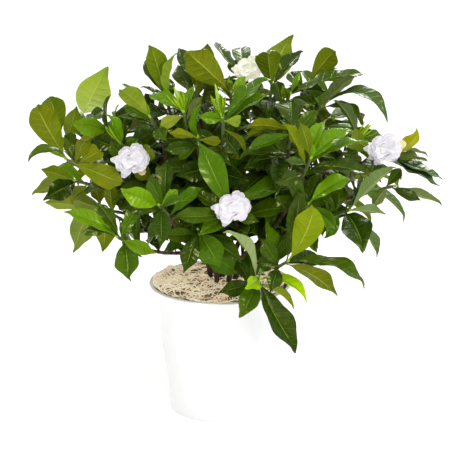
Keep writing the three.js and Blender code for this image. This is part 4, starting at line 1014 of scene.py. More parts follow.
def segments_cross(triangles: Array, starts: Array, ends: Array) -> Array:
    """Tests pairs of a triangle and a segment.

    Args:
        triangles: One triangle for each pair.
        starts: The segments' first ends.
        ends: The segments' other ends.

    Returns:
        Whether each pair crosses.
    """
    first = triangles[:, 0]
    edge_a, edge_b = triangles[:, 1] - first, triangles[:, 2] - first
    way = ends - starts
    p = cross(way, edge_b)
    det = np.sum(edge_a * p, axis=1)
    safe = np.where(np.abs(det) < PARALLEL, np.inf, det)
    from_first = starts - first
    u = np.sum(from_first * p, axis=1) / safe
    q = cross(from_first, edge_a)
    v = np.sum(way * q, axis=1) / safe
    w = np.sum(edge_b * q, axis=1) / safe
    hit = (u >= 0) & (u <= 1) & (v >= 0) & (u + v <= 1) & (w >= 0) & (w <= 1)
    return hit & (np.abs(det) >= PARALLEL)


class Clearance:
    """What already stands in the bush, as triangles, and the node that each belongs to."""

    def __init__(self) -> None:
        """Starts with nothing standing."""
        self.triangles = np.empty((0, 3, 3))
        self.low = np.empty((0, 3))
        self.high = np.empty((0, 3))
        self.owner = np.empty(0, dtype=int)
        self.is_blade = np.empty(0, dtype=bool)
        self.names: dict[str, int] = {}

    def number(self, node: str) -> int:
        """Gives the number that stands for a node's name."""
        return self.names.setdefault(node, len(self.names))

    def stand(self, node: str, shell: Array, blade: bool = False) -> None:
        """Adds a piece.

        Args:
            node: Name of the node that it belongs to.
            shell: Its triangles.
            blade: Whether other leaves of its own node keep clear of it too.
        """
        self.triangles = np.concatenate((self.triangles, shell))
        self.low = np.concatenate((self.low, shell.min(axis=1)))
        self.high = np.concatenate((self.high, shell.max(axis=1)))
        self.owner = np.concatenate((self.owner, np.full(len(shell), self.number(node))))
        self.is_blade = np.concatenate((self.is_blade, np.full(len(shell), blade)))

    def meets(self, shell: Array, among: Array) -> bool:
        """Tests a shell against the chosen triangles.

        Args:
            shell: Triangles to test.
            among: Which of the standing triangles count.

        Returns:
            Whether any pair crosses.
        """
        low, high = shell.min(axis=1), shell.max(axis=1)
        near = (among & np.all(self.low <= high.max(axis=0), axis=1)
                & np.all(self.high >= low.min(axis=0), axis=1))
        rows = np.flatnonzero(near)
        if not len(rows):
            return False
        close = np.all(low[:, None] <= self.high[rows][None], axis=2)
        close &= np.all(high[:, None] >= self.low[rows][None], axis=2)
        mine, theirs = np.nonzero(close)
        if not len(mine):
            return False
        a, b = shell[mine], self.triangles[rows[theirs]]
        return any(segments_cross(one, other[:, k], other[:, (k + 1) % 3]).any()
                   for one, other in ((a, b), (b, a)) for k in range(3))

    def others(self, node: str) -> Array:
        """Chooses what belongs to other nodes."""
        return self.owner != self.number(node)

    def own_blades(self, node: str) -> Array:
        """Chooses the node's own leaves."""
        return (self.owner == self.number(node)) & self.is_blade


# The pot's sizes, which leaves and branches keep clear of


@dataclass(frozen=True)
class PotShape:
    """The pot's outside, in millimetres.

    Attributes:
        rim: Radius of the lip.
        height: Height of the lip.
        base: Radius of the foot.
        flare_start: Height where the lip starts to flare.
        flare_radius: Radius there.
        wall: Thickness of the wall.
        floor: Thickness of the floor.
        flare: Shares of the lip's straight and curved rise.
    """

    rim: float = 100.0
    height: float = 185.0
    base: float = 70.0
    flare_start: float = 150.0
    flare_radius: float = 89.0
    wall: float = 6.0
    floor: float = 9.0
    flare: Span = (0.62, 0.38)

    def radius(self, z: float) -> float:
        """Gives the outside's radius.

        Args:
            z: Height.

        Returns:
            The radius there, and 0 above the lip.
        """
        if z > self.height:
            return 0.0
        if z < self.flare_start:
            return self.base + (self.flare_radius - self.base) * z / self.flare_start
        s = (z - self.flare_start) / (self.height - self.flare_start)
        rise = self.flare[0] * s + self.flare[1] * s * s
        return self.flare_radius + (self.rim - self.flare_radius) * rise


POT = PotShape()


# Growth: where every twig, branch and leaf of the bush stands


@dataclass
class GrownShoot:
    """A shoot in its place.

    Attributes:
        node: Name of the node that it finishes.
        seed: Whole number that its draws start from.
        axis: The twig's direction.
        top: The twig's top.
        heart: The bloom's heart, or the twig's top.
        twig: The twig's length.
        plan: What the front view shows of it.
        back: Whether the front view hides it.
        blades: Its leaves, each with its colours.
        young: Its young leaves, each with its colours.
    """

    node: str
    seed: int
    axis: Array
    top: Array
    heart: Array
    twig: float
    plan: Shoot
    back: bool = False
    blades: list[tuple[Blade, LeafTone]] = field(default_factory=list)
    young: list[tuple[Blade, LeafTone]] = field(default_factory=list)

    @property
    def foot(self) -> Array:
        """Gives the twig's foot, where the branch ends."""
        return self.top - self.axis * self.twig


@dataclass
class WoodTube:
    """A woody stem or branch.

    Attributes:
        route: Its points.
        radii: Its radius at each of them.
    """

    route: Array
    radii: list[float]


@dataclass
class Bush:
    """Lays out the whole plant: twigs and blooms first, then branches, then leaves.

    Attributes:
        gap: Gap between a branch and the twig that it carries.
        seam: Share of the gap that the branch and the twig each keep clear of the other's end.
        hub: Place that the hidden shoots point away from.
        clearance: Clearance between pieces.
        pot_clearance: Clearance between leaves and pot.
        over_pot: Height over the lip that the branches keep.
        rim_clear: Radius past which a branch may come near the lip, and the room it leaves round
            the lip and over it.
        fused: Share of a leaf's first stretch that is fused to its twig.
        twig_foot: Radius of a twig's foot.
        twig_tip: Radius of its top.
        twig_sides: Faces round it, for clearances.
        stalk: Distance from a bloom's heart to its twig.
        leaf_steps: Cross-sections of a wide leaf.
        slim_steps: Cross-sections of a narrower leaf.
        plain_steps: Cross-sections of the narrowest leaves and of those placed by rule.
        young_steps: Cross-sections of a young leaf.
        wide_leaf: Width past which a leaf counts as wide.
        slim_leaf: Width past which it counts as narrower.
        shifts: How far a leaf that finds no room is moved toward the viewer, in turn.
        rolls: How far it is rolled, in degrees, in turn.
        young_rolls: The same for a young leaf.
        sways: How far a branch that finds no room bends aside, in turn.
        branch_start: Radius of a branch where it leaves its stem.
        branch_end: Radius of its end.
        branch_sides: Faces round it, for clearances.
        branch_steps: Stretches along it.
        branch_end_share: Share of its last stretch that may meet the twig.
        branch_last: Where the highest branch leaves its stem, as a share of the stem's upper part.
        along_stem: How far a branch follows its stem at first, as a share of its length.
        along_twig: How far it runs along its twig's line at last, as a share of its length.
        least_rise: How far it rises at least, as a share of its length.
        sway_lift: How far it rises for each millimetre that it bends aside.
        between: Places tested for the pot, as shares of the way between cross-sections.
        shoots: The shoots that have grown.
        wood: The stems and branches that have grown.
        inner: The leaves on the branches, each with its colours.
        standing: What stands in the bush already.
    """

    gap: float = 0.3
    seam: float = 0.7
    hub: Point = (12.0, 0.0, 225.0)
    clearance: float = 1.9
    pot_clearance: float = 3.0
    over_pot: float = 12.0
    rim_clear: Point = (84.0, 8.0, 7.0)
    fused: float = 0.3
    twig_foot: float = 2.3
    twig_tip: float = TWIG_TIP
    twig_sides: int = 5
    stalk: float = 7.0
    leaf_steps: Numbers = (0, 0.18, 0.42, 0.66, 0.87, 1)
    slim_steps: Numbers = (0, 0.22, 0.54, 0.84, 1)
    plain_steps: Numbers = (0, 0.3, 0.72, 1)
    young_steps: Numbers = (0, 0.45, 1)
    wide_leaf: float = 28.0
    slim_leaf: float = 16.0
    shifts: Numbers = (0, 6, -6, 12, -12, 19, -19, 27, -27, 36, -36, 46, -46, 58, -58)
    rolls: Numbers = (0, 14, -14, 26, -26)
    young_rolls: Numbers = (0, 40, -40)
    sways: Numbers = (0, 14, -14, 28, -28, 42, -42, 60, -60)
    branch_start: float = 3.0
    branch_end: float = 2.2
    branch_sides: int = 4
    branch_steps: int = 3
    branch_end_share: float = 0.12
    branch_last: float = 0.97
    along_stem: float = 0.35
    along_twig: float = 0.4
    least_rise: float = 0.2
    sway_lift: float = 0.5
    between: Numbers = (0.0, 0.34, 0.67)
    shoots: list[GrownShoot] = field(default_factory=list)
    wood: list[WoodTube] = field(default_factory=list)
    inner: list[tuple[Blade, LeafTone]] = field(default_factory=list)
    standing: Clearance = field(default_factory=Clearance)

    SEEN_SEED = 40
    RULED_SEED = 60
    YOUNG_SEED = 80
    BACK_SEED = 100
    BACK_TONES = (Tone.MID, Tone.FRESH, Tone.MID, Tone.DARK)
    FILL_TONES = (Tone.DARK, Tone.MID)

    def grow(self) -> None:
        """Lays out the plant."""
        self.shoots = [self.front_shoot(plan, i) for i, plan in enumerate(SHOOTS)]
        self.shoots += [self.back_shoot(i) for i in range(DOME.shoots)]
        for shoot in self.shoots:
            self.stand_twig(shoot)
        self.grow_wood()
        for shoot in self.shoots:
            for i, entry in enumerate(shoot.plan.leaves):
                self.settle(shoot, lambda shift, roll: self.seen_leaf(shoot, entry, i, shift, roll),
                            self.steps_for(entry.wide), self.rolls, entry.tone.value)
        for shoot in self.shoots:
            for i in range(DOME.leaves if shoot.back else shoot.plan.fill):
                self.settle(shoot, lambda shift, roll: self.ruled_leaf(shoot, i, shift, roll),
                            self.plain_steps, self.rolls, self.ruled_tone(shoot, i))
            for i in range(shoot.plan.young):
                self.settle(shoot, lambda shift, roll: self.young_leaf(shoot, i, roll),
                            self.young_steps, self.young_rolls, Tone.BRIGHT.value, young=True)
        for i, tube in enumerate(self.wood):
            for k in range(INNER.leaves):
                self.settle_inner(tube, INNER.seed_from + i * INNER.leaves + k)

    def front_shoot(self, plan: Shoot, index: int) -> GrownShoot:
        """Places a shoot that the front view shows.

        Args:
            plan: What the view shows of it.
            index: Its number.

        Returns:
            The shoot in its place, without leaves.
        """
        axis = VIEW.axis(plan.parts)
        heart = VIEW.seen(plan.pixel, plan.toward)
        top = heart - axis * (self.stalk + self.gap) if plan.bloom else heart
        return GrownShoot(f"shoot_{plan.name}", index + 1, axis, top, heart, plan.twig, plan)

    def back_shoot(self, index: int) -> GrownShoot:
        """Places a shoot of the dome's far side, one golden angle on from the last.

        Args:
            index: Its number among the hidden shoots.

        Returns:
            The shoot in its place, without leaves.
        """
        draw = Draws(DOME.seed_from + index)
        lift = DOME.low + (DOME.high - DOME.low) * ((index + 0.5) / DOME.shoots)
        around = math.pi * (0.5 + DOME.sweep * (((index + 1) * DOME.golden) % 1 - 0.5))
        flat = math.sqrt(max(0.0, 1 - lift * lift))
        out = np.array((flat * math.cos(around), flat * math.sin(around), lift))
        top = np.array(DOME.centre) + out * np.array(DOME.reach) * draw.between(*DOME.near)
        axis = unit(unit(top - np.array(self.hub)) + WORLD_UP * DOME.rise)
        plan = Shoot(f"back_{index + 1}", (0, 0), 0, (0, 0, 0), DOME.twig)
        return GrownShoot(f"shoot_{plan.name}", self.BACK_SEED + index, axis, top, top, DOME.twig,
                          plan, back=True)

    def twig_route(self, shoot: GrownShoot) -> Array:
        """Gives the twig's foot, middle and top."""
        start = shoot.foot + shoot.axis * (self.gap * self.seam)
        return np.array((start, (start + shoot.top) / 2, shoot.top))

    def twig_radii(self) -> list[float]:
        """Gives the twig's radius at its foot, middle and top."""
        return [self.twig_foot, (self.twig_foot + self.twig_tip) / 2, self.twig_tip]

    def stand_twig(self, shoot: GrownShoot) -> None:
        """Stands a twig with its bud or bloom, before anything else grows.

        Args:
            shoot: The shoot that the twig belongs to.
        """
        twig = tube_shell(self.twig_route(shoot), self.twig_radii(), self.twig_sides)
        self.standing.stand(shoot.node, twig)
        if shoot.plan.bud:
            bud = tube_shell(BUD.route(shoot), BUD.radii, BUD.plain_sides)
            self.standing.stand(shoot.node, bud, blade=True)
        if shoot.plan.bloom:
            for petal in PETALS:
                rows = petal.blade(shoot.heart).rows(BLOOM.plain_steps)
                self.standing.stand(shoot.plan.name, middle_shell(rows))

    def steps_for(self, wide: float) -> Numbers:
        """Chooses a leaf's cross-sections.

        Args:
            wide: Its width.

        Returns:
            Where it is cut, as shares of its length.
        """
        if wide > self.wide_leaf:
            return self.leaf_steps
        return self.slim_steps if wide > self.slim_leaf else self.plain_steps

    def blade(self, foot: Array, tip: Array, up: Array, wide: float, seed: int) -> Blade:
        """Makes a leaf with its own seeded bends.

        Args:
            foot: Where it leaves the twig.
            tip: Where it ends.
            up: Direction that its upper face turns to.
            wide: Its width.
            seed: Whole number that its draws start from.

        Returns:
            The leaf.
        """
        draw = Draws(seed)
        arch, sweep = draw.between(*LEAF.arch), draw.between(*LEAF.sweep)
        fold, twist = draw.between(*LEAF.fold), draw.between(*LEAF.twist)
        return Blade(foot, tip, up, wide, arch, sweep, math.radians(fold), math.radians(twist))

    def seen_leaf(self, shoot: GrownShoot, entry: SeenLeaf, index: int, shift: float,
                  roll: float) -> Blade:
        """Places a leaf so that it shows as the front view has it.

        Args:
            shoot: The shoot that carries it.
            entry: How the viewer sees it.
            index: Its number on the shoot.
            shift: How far its tip is moved toward the viewer.
            roll: Angle that it is rolled by, in degrees.

        Returns:
            The leaf.
        """
        below = entry.at * LEAF.lower + index * LEAF.spacing + self.twig_tip
        foot = shoot.top - shoot.axis * below
        level = VIEW.toward_of(foot)
        flat = float(np.linalg.norm(VIEW.seen(entry.tip, level) - foot))
        length = min(LEAF.longest, max(LEAF.least_long * flat, entry.wide / LEAF.widest_share))
        above = 1 if entry.tip[1] < VIEW.pixel_of(foot)[1] else -1
        lean = entry.lean or -entry.side.value * above
        depth = lean * math.sqrt(max(0.0, length * length - flat * flat))
        tip = VIEW.seen(entry.tip, level + depth + shift)
        along = tip - foot
        wide = max(entry.wide, LEAF.slim_share * float(np.linalg.norm(along)))
        along = unit(along)
        facing = unit(VIEW.toward - along * np.dot(VIEW.toward, along)) * entry.side.value
        edge = cross(along, facing)
        if np.dot(edge, WORLD_UP * LEAF.facing + shoot.axis) < 0:
            edge = -edge
        turn = math.acos(min(1.0, entry.wide / wide)) + math.radians(roll)
        up = facing * math.cos(turn) + edge * math.sin(turn)
        leaf = self.blade(foot, tip, up, wide, shoot.seed * self.SEEN_SEED + index)
        leaf.arch = entry.arch or leaf.arch
        if entry.curve:
            leaf.sweep = -entry.curve * entry.side.value
        return leaf

    def ruled_leaf(self, shoot: GrownShoot, index: int, shift: float, roll: float) -> Blade:
        """Places a leaf in its whorl round the twig, by rule.

        Args:
            shoot: The shoot that carries it.
            index: Its number on the shoot.
            shift: How far it is shifted, which spreads it wider.
            roll: Angle that it is turned on round the twig, in degrees.

        Returns:
            The leaf.
        """
        draw = Draws(shoot.seed * self.RULED_SEED + index)
        whorl = index // DOME.whorl
        foot = shoot.top - shoot.axis * (whorl * DOME.step + RULED.first)
        sideways = unit(cross(shoot.axis, WORLD_UP))
        lifted = cross(sideways, shoot.axis)
        turn = 2 * math.pi * (index + 0.5 * whorl) / DOME.whorl
        turn += draw.between(-RULED.jitter, RULED.jitter) + math.radians(roll)
        wider = whorl * RULED.lower + shift * RULED.per_shift
        spread = math.radians(draw.between(*DOME.spread) + wider)
        out = sideways * math.cos(turn) + lifted * math.sin(turn)
        length = draw.between(*DOME.length)
        tip = foot + (shoot.axis * math.cos(spread) + out * math.sin(spread)) * length
        tip = tip - WORLD_UP * (RULED.droop * length)
        along = unit(tip - foot)
        up = shoot.axis + WORLD_UP * RULED.facing
        up = unit(up - along * np.dot(up, along))
        wide = length * draw.between(*DOME.wide)
        return self.blade(foot, tip, up, wide, shoot.seed * self.RULED_SEED + index)

    def young_leaf(self, shoot: GrownShoot, index: int, roll: float) -> Blade:
        """Places a young leaf, which still points along the twig.

        Args:
            shoot: The shoot that carries it.
            index: Its number among the young leaves.
            roll: Angle that it is turned on round the twig, in degrees.

        Returns:
            The leaf.
        """
        draw = Draws(shoot.seed * self.YOUNG_SEED + index)
        foot = shoot.top - shoot.axis * self.twig_tip
        sideways = unit(cross(shoot.axis, VIEW.right + WORLD_UP))
        lifted = cross(sideways, shoot.axis)
        turn = math.pi * index + draw.between(-YOUNG.jitter, YOUNG.jitter) + math.radians(roll)
        out = sideways * math.cos(turn) + lifted * math.sin(turn)
        spread = math.radians(draw.between(*YOUNG.spread))
        length = draw.between(*YOUNG.length)
        along = unit(shoot.axis * math.cos(spread) + out * math.sin(spread))
        up = unit(-out + along * np.dot(out, along))
        tip, wide = foot + along * length, draw.between(*YOUNG.wide)
        return self.blade(foot, tip, up, wide, shoot.seed * self.YOUNG_SEED + index)

    def ruled_tone(self, shoot: GrownShoot, index: int) -> LeafTone:
        """Chooses the colours of a leaf that is placed by rule.

        Args:
            shoot: The shoot that carries it.
            index: Its number on the shoot.

        Returns:
            Its colours.
        """
        tones = self.BACK_TONES if shoot.back else self.FILL_TONES
        return tones[(shoot.seed + index) % len(tones)].value

    def meets_pot(self, rows: Rows) -> bool:
        """Tests a leaf against the pot.

        Args:
            rows: The leaf's cross-sections.

        Returns:
            Whether it comes too near.
        """
        for line in (rows.left, rows.mid, rows.right):
            ahead = np.concatenate((line[1:], line[-1:]))
            for share in self.between:
                for x, y, z in line + (ahead - line) * share:
                    near = math.hypot(x, y) - self.pot_clearance
                    if (near < POT.rim and z < POT.height + self.pot_clearance
                            and near < POT.radius(min(z, POT.height))):
                        return True
        return False

    def settle(self, shoot: GrownShoot, make: Callable[[float, float], Blade],
               steps: Sequence[float], rolls: Sequence[float], tone: LeafTone,
               young: bool = False) -> None:
        """Tries a leaf's places in turn: clear of all, then clear of the other nodes only.

        A leaf that finds neither is left out.

        Args:
            shoot: The shoot that carries it.
            make: Gives the leaf for a shift and a roll.
            steps: Its cross-sections.
            rolls: The rolls to try, in degrees.
            tone: Its colours.
            young: Whether it is a young leaf.
        """
        fallback = None
        others, own = self.standing.others(shoot.node), self.standing.own_blades(shoot.node)
        for roll in rolls:
            for shift in self.shifts:
                leaf = make(shift, roll)
                rows = leaf.rows(steps)
                shell = swollen_shell(rows, self.clearance)
                if self.meets_pot(rows) or self.standing.meets(shell, others):
                    continue
                free = rows.past_foot(self.fused)
                if not self.standing.meets(swollen_shell(free, self.clearance / 2), own):
                    self.keep(shoot, leaf, free, tone, young)
                    return
                fallback = fallback or (leaf, free)
        if fallback:
            self.keep(shoot, *fallback, tone, young)

    def settle_inner(self, tube: WoodTube, seed: int) -> None:
        """Tries places for a leaf on a branch, inside the bush, and leaves it out if none is clear.

        Args:
            tube: The branch.
            seed: Whole number that its draws start from.
        """
        draw = Draws(seed)
        others = self.standing.others(WOOD_NODE)
        wooden = ~others
        for _ in range(INNER.tries):
            share = draw.between(*INNER.shares) * (len(tube.route) - 1)
            i = min(int(share), len(tube.route) - 2)
            centre = tube.route[i] + (tube.route[i + 1] - tube.route[i]) * (share - i)
            axis = unit(tube.route[i + 1] - tube.route[i])
            sideways = unit(cross(axis, WORLD_UP + VIEW.right * INNER.aside))
            turn = draw.between(0, 2 * math.pi)
            out = sideways * math.cos(turn) + cross(sideways, axis) * math.sin(turn)
            length = draw.between(*INNER.length)
            spread = math.radians(draw.between(*INNER.spread))
            along = unit(axis * math.cos(spread) + out * math.sin(spread) + WORLD_UP * INNER.rise)
            foot = centre + out * tube.radii[i] * INNER.sunk
            tip = foot + along * length
            facing = unit(axis + WORLD_UP * RULED.facing + VIEW.toward * INNER.toward)
            up = unit(facing - along * np.dot(facing, along))
            leaf = self.blade(foot, tip, up, length * draw.between(*DOME.wide), seed)
            from_centre = (tip - np.array(DOME.centre)) / np.array(DOME.reach)
            if (np.linalg.norm(from_centre) > INNER.within or tip[2] < INNER.lowest
                    or VIEW.pixel_of(tip)[1] > INNER.lowest_seen):
                continue
            rows = leaf.rows(self.plain_steps)
            shell = swollen_shell(rows, INNER.clearance)
            free = swollen_shell(rows.past_foot(INNER.fused), INNER.wood_clearance)
            if (self.meets_pot(rows) or self.standing.meets(shell, others)
                    or self.standing.meets(free, wooden)):
                continue
            self.inner.append((leaf, INNER.tones[seed % len(INNER.tones)].value))
            self.standing.stand(INNER.name, middle_shell(rows), blade=True)
            return

    def keep(self, shoot: GrownShoot, leaf: Blade, free: Rows, tone: LeafTone,
             young: bool) -> None:
        """Keeps a leaf where it is and stands it in the bush."""
        (shoot.young if young else shoot.blades).append((leaf, tone))
        self.standing.stand(shoot.node, middle_shell(free), blade=True)

    def stem_route(self, stem: Stem) -> Array:
        """Lays out a woody stem.

        Args:
            stem: The stem.

        Returns:
            Its points, from under the soil to its fork.
        """
        x, y = stem.foot
        low = np.array((x * STEM.root_share, y * STEM.root_share, STEM.buried))
        ground = np.array((x, y, STEM.ground))
        clear = np.array((x, y, STEM.straight))
        fork = np.array(stem.fork)
        rise = clear + WORLD_UP * (STEM.rise * (fork[2] - clear[2]))
        bend = clear + (fork - clear) * STEM.bend
        return np.concatenate(((low, ground, clear), bezier(clear, rise, bend, fork, STEM.steps)))

    def branch_route(self, shoot: GrownShoot, stem: Array, share: float, sway: float) -> Array:
        """Gives a branch's points.

        Args:
            shoot: The shoot that it carries.
            stem: The route of the stem that it leaves.
            share: Where on the stem's upper part it leaves, from 0 to 1.
            sway: How far it bends aside.

        Returns:
            The points, from the stem to the twig's foot.
        """
        clear, low, high, fork = stem[2:]
        if share < 0.5:
            start, heading = low + (high - low) * (2 * share), unit(high - low)
        else:
            start, heading = high + (fork - high) * (2 * share - 1), unit(fork - high)
        end = shoot.foot - shoot.axis * (self.gap * self.seam)
        span = float(np.linalg.norm(end - start))
        second = start + heading * (self.along_stem * span) + VIEW.right * sway
        second[2] = max(start[2] + self.least_rise * span, clear[2])
        third = end - shoot.axis * (self.along_twig * span) + WORLD_UP * (sway * self.sway_lift)
        third[2] = max(third[2], POT.height + self.over_pot)
        shares = np.arange(self.branch_steps + 1) / self.branch_steps
        return bezier(start, second, third, end, shares)

    def branch_radii(self) -> list[float]:
        """Gives a branch's radius at each of its points."""
        fall = (self.branch_end - self.branch_start) / self.branch_steps
        return [self.branch_start + fall * i for i in range(self.branch_steps + 1)]

    def clear_branch(self, shoot: GrownShoot, stem: Array, share: float) -> Array:
        """Finds the branch that bends clear of all twigs and blooms.

        Args:
            shoot: The shoot that it carries.
            stem: The route of the stem that it leaves.
            share: Where on the stem's upper part it leaves, from 0 to 1.

        Returns:
            Its points, or the straightest branch's if none is clear.
        """
        swollen = [radius + self.clearance for radius in self.branch_radii()]
        leafy = self.standing.others(WOOD_NODE)
        near, beside, above = self.rim_clear
        for sway in self.sways:
            route = self.branch_route(shoot, stem, share, sway)
            trimmed = route.copy()
            trimmed[-1] += (route[-2] - route[-1]) * self.branch_end_share
            radius = np.hypot(route[:, 0], route[:, 1])
            at_rim = ((radius > near) & (radius < POT.rim + beside)
                      & (route[:, 2] < POT.height + above))
            shell = tube_shell(trimmed, swollen, self.branch_sides)
            if not at_rim.any() and not self.standing.meets(shell, leafy):
                return route
        return self.branch_route(shoot, stem, share, 0)

    def add_wood(self, route: Array, radii: list[float], sides: int, shoot: GrownShoot) -> None:
        """Keeps a stem or branch and stands it in the bush."""
        self.wood.append(WoodTube(route, radii))
        self.standing.stand(WOOD_NODE, tube_shell(route, radii, sides, shoot.axis))

    def grow_wood(self) -> None:
        """Grows the stems, each with its leader, and the branches that carry the other shoots."""
        routes = [self.stem_route(stem) for stem in STEMS]
        forks = np.array([route[-1] for route in routes])
        nearest = {shoot.node: int(np.argmin(np.linalg.norm(forks - shoot.foot, axis=1)))
                   for shoot in self.shoots}
        for i, (stem, route) in enumerate(zip(STEMS, routes)):
            carried = sorted((shoot for shoot in self.shoots if nearest[shoot.node] == i),
                             key=lambda shoot: shoot.foot[2])
            leader = self.clear_branch(carried[-1], route, 1)
            taper = (STEM.fork_radius - stem.radius) / len(STEM.steps)
            radii = [stem.radius + taper * max(0, k - STEM.taper_from) for k in range(len(route))]
            self.add_wood(np.concatenate((route, leader[1:])), radii + self.branch_radii()[1:],
                          STEM.sides, carried[-1])
            spacing = (self.branch_last - STEM.first_fork) / max(1, len(carried) - 2)
            for k, shoot in enumerate(carried[:-1]):
                branch = self.clear_branch(shoot, route, STEM.first_fork + spacing * k)
                self.add_wood(branch, self.branch_radii(), self.branch_sides, shoot)


# Blooms and buds


@dataclass(frozen=True)
class Petal:
    """A petal of a bloom.

    Attributes:
        tip: Where its tip lies from the bloom's heart, to the right, up and toward the viewer.
        wide: Its width.
        cup: How deep it is cupped, as a share of its length.
        foot: Where its foot lies.
        foot_half: Half the width of its foot.
        point: How much its end narrows, from 0 for a round one to 1 for a sharp one.
        fold: Angle that its sides rise at, in degrees.
    """

    tip: Point
    wide: float
    cup: float
    foot: Point = (0.0, 0.0, -3.0)
    foot_half: float = 1.5
    point: float = 0.0
    fold: float = 10.0

    def blade(self, heart: Array) -> Blade:
        """Stands the petal in a bloom.

        Args:
            heart: The bloom's heart.

        Returns:
            The petal as a blade.
        """
        foot, tip = (heart + VIEW.right * right + VIEW.upward * up + VIEW.toward * toward
                     for right, up, toward in (self.foot, self.tip))
        along = unit(tip - foot)
        face = unit(VIEW.toward - along * np.dot(VIEW.toward, along))
        return Blade(foot, tip, face, self.wide, arch=-self.cup, sweep=0.0,
                     fold=math.radians(self.fold), twist=0.0, foot_half=self.foot_half,
                     outline=petal_outline)


PETALS = (
    Petal((8, 19, 3), 20, 0.12), Petal((21, 8, 1), 21, 0.12), Petal((18, -8, 0), 19, 0.12),
    Petal((-9, -19, 0), 18, 0.08), Petal((-22, -4, 0), 20, 0.1), Petal((-12, 11, 2), 20, 0.12),
    Petal((12, 8, 10), 15, 0.2), Petal((7, -7, 10), 14, 0.2), Petal((-10, -8, 11), 15, 0.2),
    Petal((-4, 7, 12), 14, 0.2),
)
OUTER_COUNT = 6
INNER_PETALS = (
    Petal((-22, -2, 5), 17, 0.1, (2, 2, 1), 4), Petal((-12, 12, 5), 16, 0.1, (2, 0, 1), 4),
    Petal((-11, -16, 5), 16, 0.1, (3, 1, 2), 4), Petal((-15, 4, 8), 15, 0.14, (4, 0, 4), 4),
    Petal((-14, -8, 9), 15, 0.14, (4, -1, 5), 4), Petal((9, 17, 5), 17, 0.1, (-2, -2, 1), 4),
    Petal((22, 7, 5), 18, 0.1, (-2, -1, 1), 4), Petal((19, -8, 6), 16, 0.1, (-1, 2, 2), 4),
    Petal((10, -13, 5), 13, 0.1, (-2, 0, 4), 4), Petal((13, 12, 9), 15, 0.14, (-2, -2, 5), 4),
    Petal((17, 0, 9.5), 15, 0.14, (-3, -1, 6), 4), Petal((-11, -3, 10.5), 17, 0.12, (8, 0, 6.5), 6),
    Petal((14, 5, 11), 17, 0.12, (-5, 1, 7), 6),
)
OUTER_PETALS = (
    Petal((11, 21, 3), 19, 0.12), Petal((23, 6, 1), 21, 0.12), Petal((18, -11, 0), 16, 0.12),
    Petal((-11, -22, 0), 18, 0.08, point=0.6), Petal((-27, 2, 0), 18, 0.1, point=0.65),
    Petal((-11, 16, 2), 18, 0.12), Petal((-19, -10, 0), 17, 0.1, point=0.4),
)
FADED_PETALS = {
    "bloom_left": (Petal((18, -17, 1), 10, 0.1),),
    "bloom_right": (Petal((29, 9, 2), 11, 0.1),),
}
FADED = LeafTone(linear(236, 214, 128), linear(226, 204, 122))


@dataclass(frozen=True)
class BloomShape:
    """What the blooms share.

    Attributes:
        plain_steps: Cross-sections of a petal, for clearances.
        seat: How far under the bloom's heart its cup starts.
    """

    plain_steps: Numbers = (0, 0.55, 1)
    seat: float = 7.0


@dataclass(frozen=True)
class BudShape:
    """A spindle-shaped flower bud.

    Attributes:
        radii: Its radius at each of its points.
        steps: Where those points are, as shares of its length.
        plain_sides: Faces round it, for clearances.
        toward: How much nearer to the viewer its tip is than the twig's top.
    """

    radii: Numbers = (1.5, 2.6, 3.3, 2.4, 0.6)
    steps: Numbers = (0, 0.2, 0.42, 0.72, 1)
    plain_sides: int = 5
    toward: float = 3.0

    def route(self, shoot: GrownShoot) -> Array:
        """Lays out the bud's middle line.

        Args:
            shoot: The shoot that bears it.

        Returns:
            Its points, from the twig's top to the bud's tip.
        """
        foot = shoot.top - shoot.axis * TWIG_TIP
        tip = VIEW.seen(shoot.plan.bud, VIEW.toward_of(shoot.top) + self.toward)
        return foot + (tip - foot) * np.array(self.steps).reshape(-1, 1)


BLOOM = BloomShape()
BUD = BudShape()


# Meshes


def only(thing: bpy.types.Object) -> None:
    """Selects one object and makes it the active one.

    Args:
        thing: The object.
    """
    bpy.ops.object.select_all(action="DESELECT")
    thing.select_set(True)
    bpy.context.view_layer.objects.active = thing


class Sheet:
    """A flat grid, modelled once, whose copies are bent into leaves and petals.

    Attributes:
        u: Each point's place across, from -1 to 1.
        s: Each point's place along, from 0 at the foot to 1 at the tip.
        faces: Rows of four point numbers.
    """

    def __init__(self, columns: Sequence[float], rows: int) -> None:
        """Models the grid.

        Args:
            columns: Where its lines run from foot to tip, from -1 to 1.
            rows: Number of faces from foot to tip.
        """
        bpy.ops.object.select_all(action="DESELECT")
        gaps = len(columns) - 1
        bpy.ops.mesh.primitive_grid_add(x_subdivisions=gaps, y_subdivisions=rows, size=2)
        grid = bpy.context.object
        points = np.array([vertex.co for vertex in grid.data.vertices])
        place = np.rint((points[:, 0] + 1) / 2 * gaps).astype(int)
        self.u = np.array(columns)[place]
        self.s = (points[:, 1] + 1) / 2
        self.faces = np.array([tuple(face.vertices)[::-1] for face in grid.data.polygons])
        bpy.data.objects.remove(grid)


@dataclass(frozen=True)
class Tints:
    """Names of what a piece's points carry.

    Attributes:
        upper: The colour of the upper face.
        under: The colour of the underside.
        uv: The place on the blade, across and along.
    """

    upper: str = "upper_tint"
    under: str = "under_tint"
    uv: str = "blade"


TINTS = Tints()


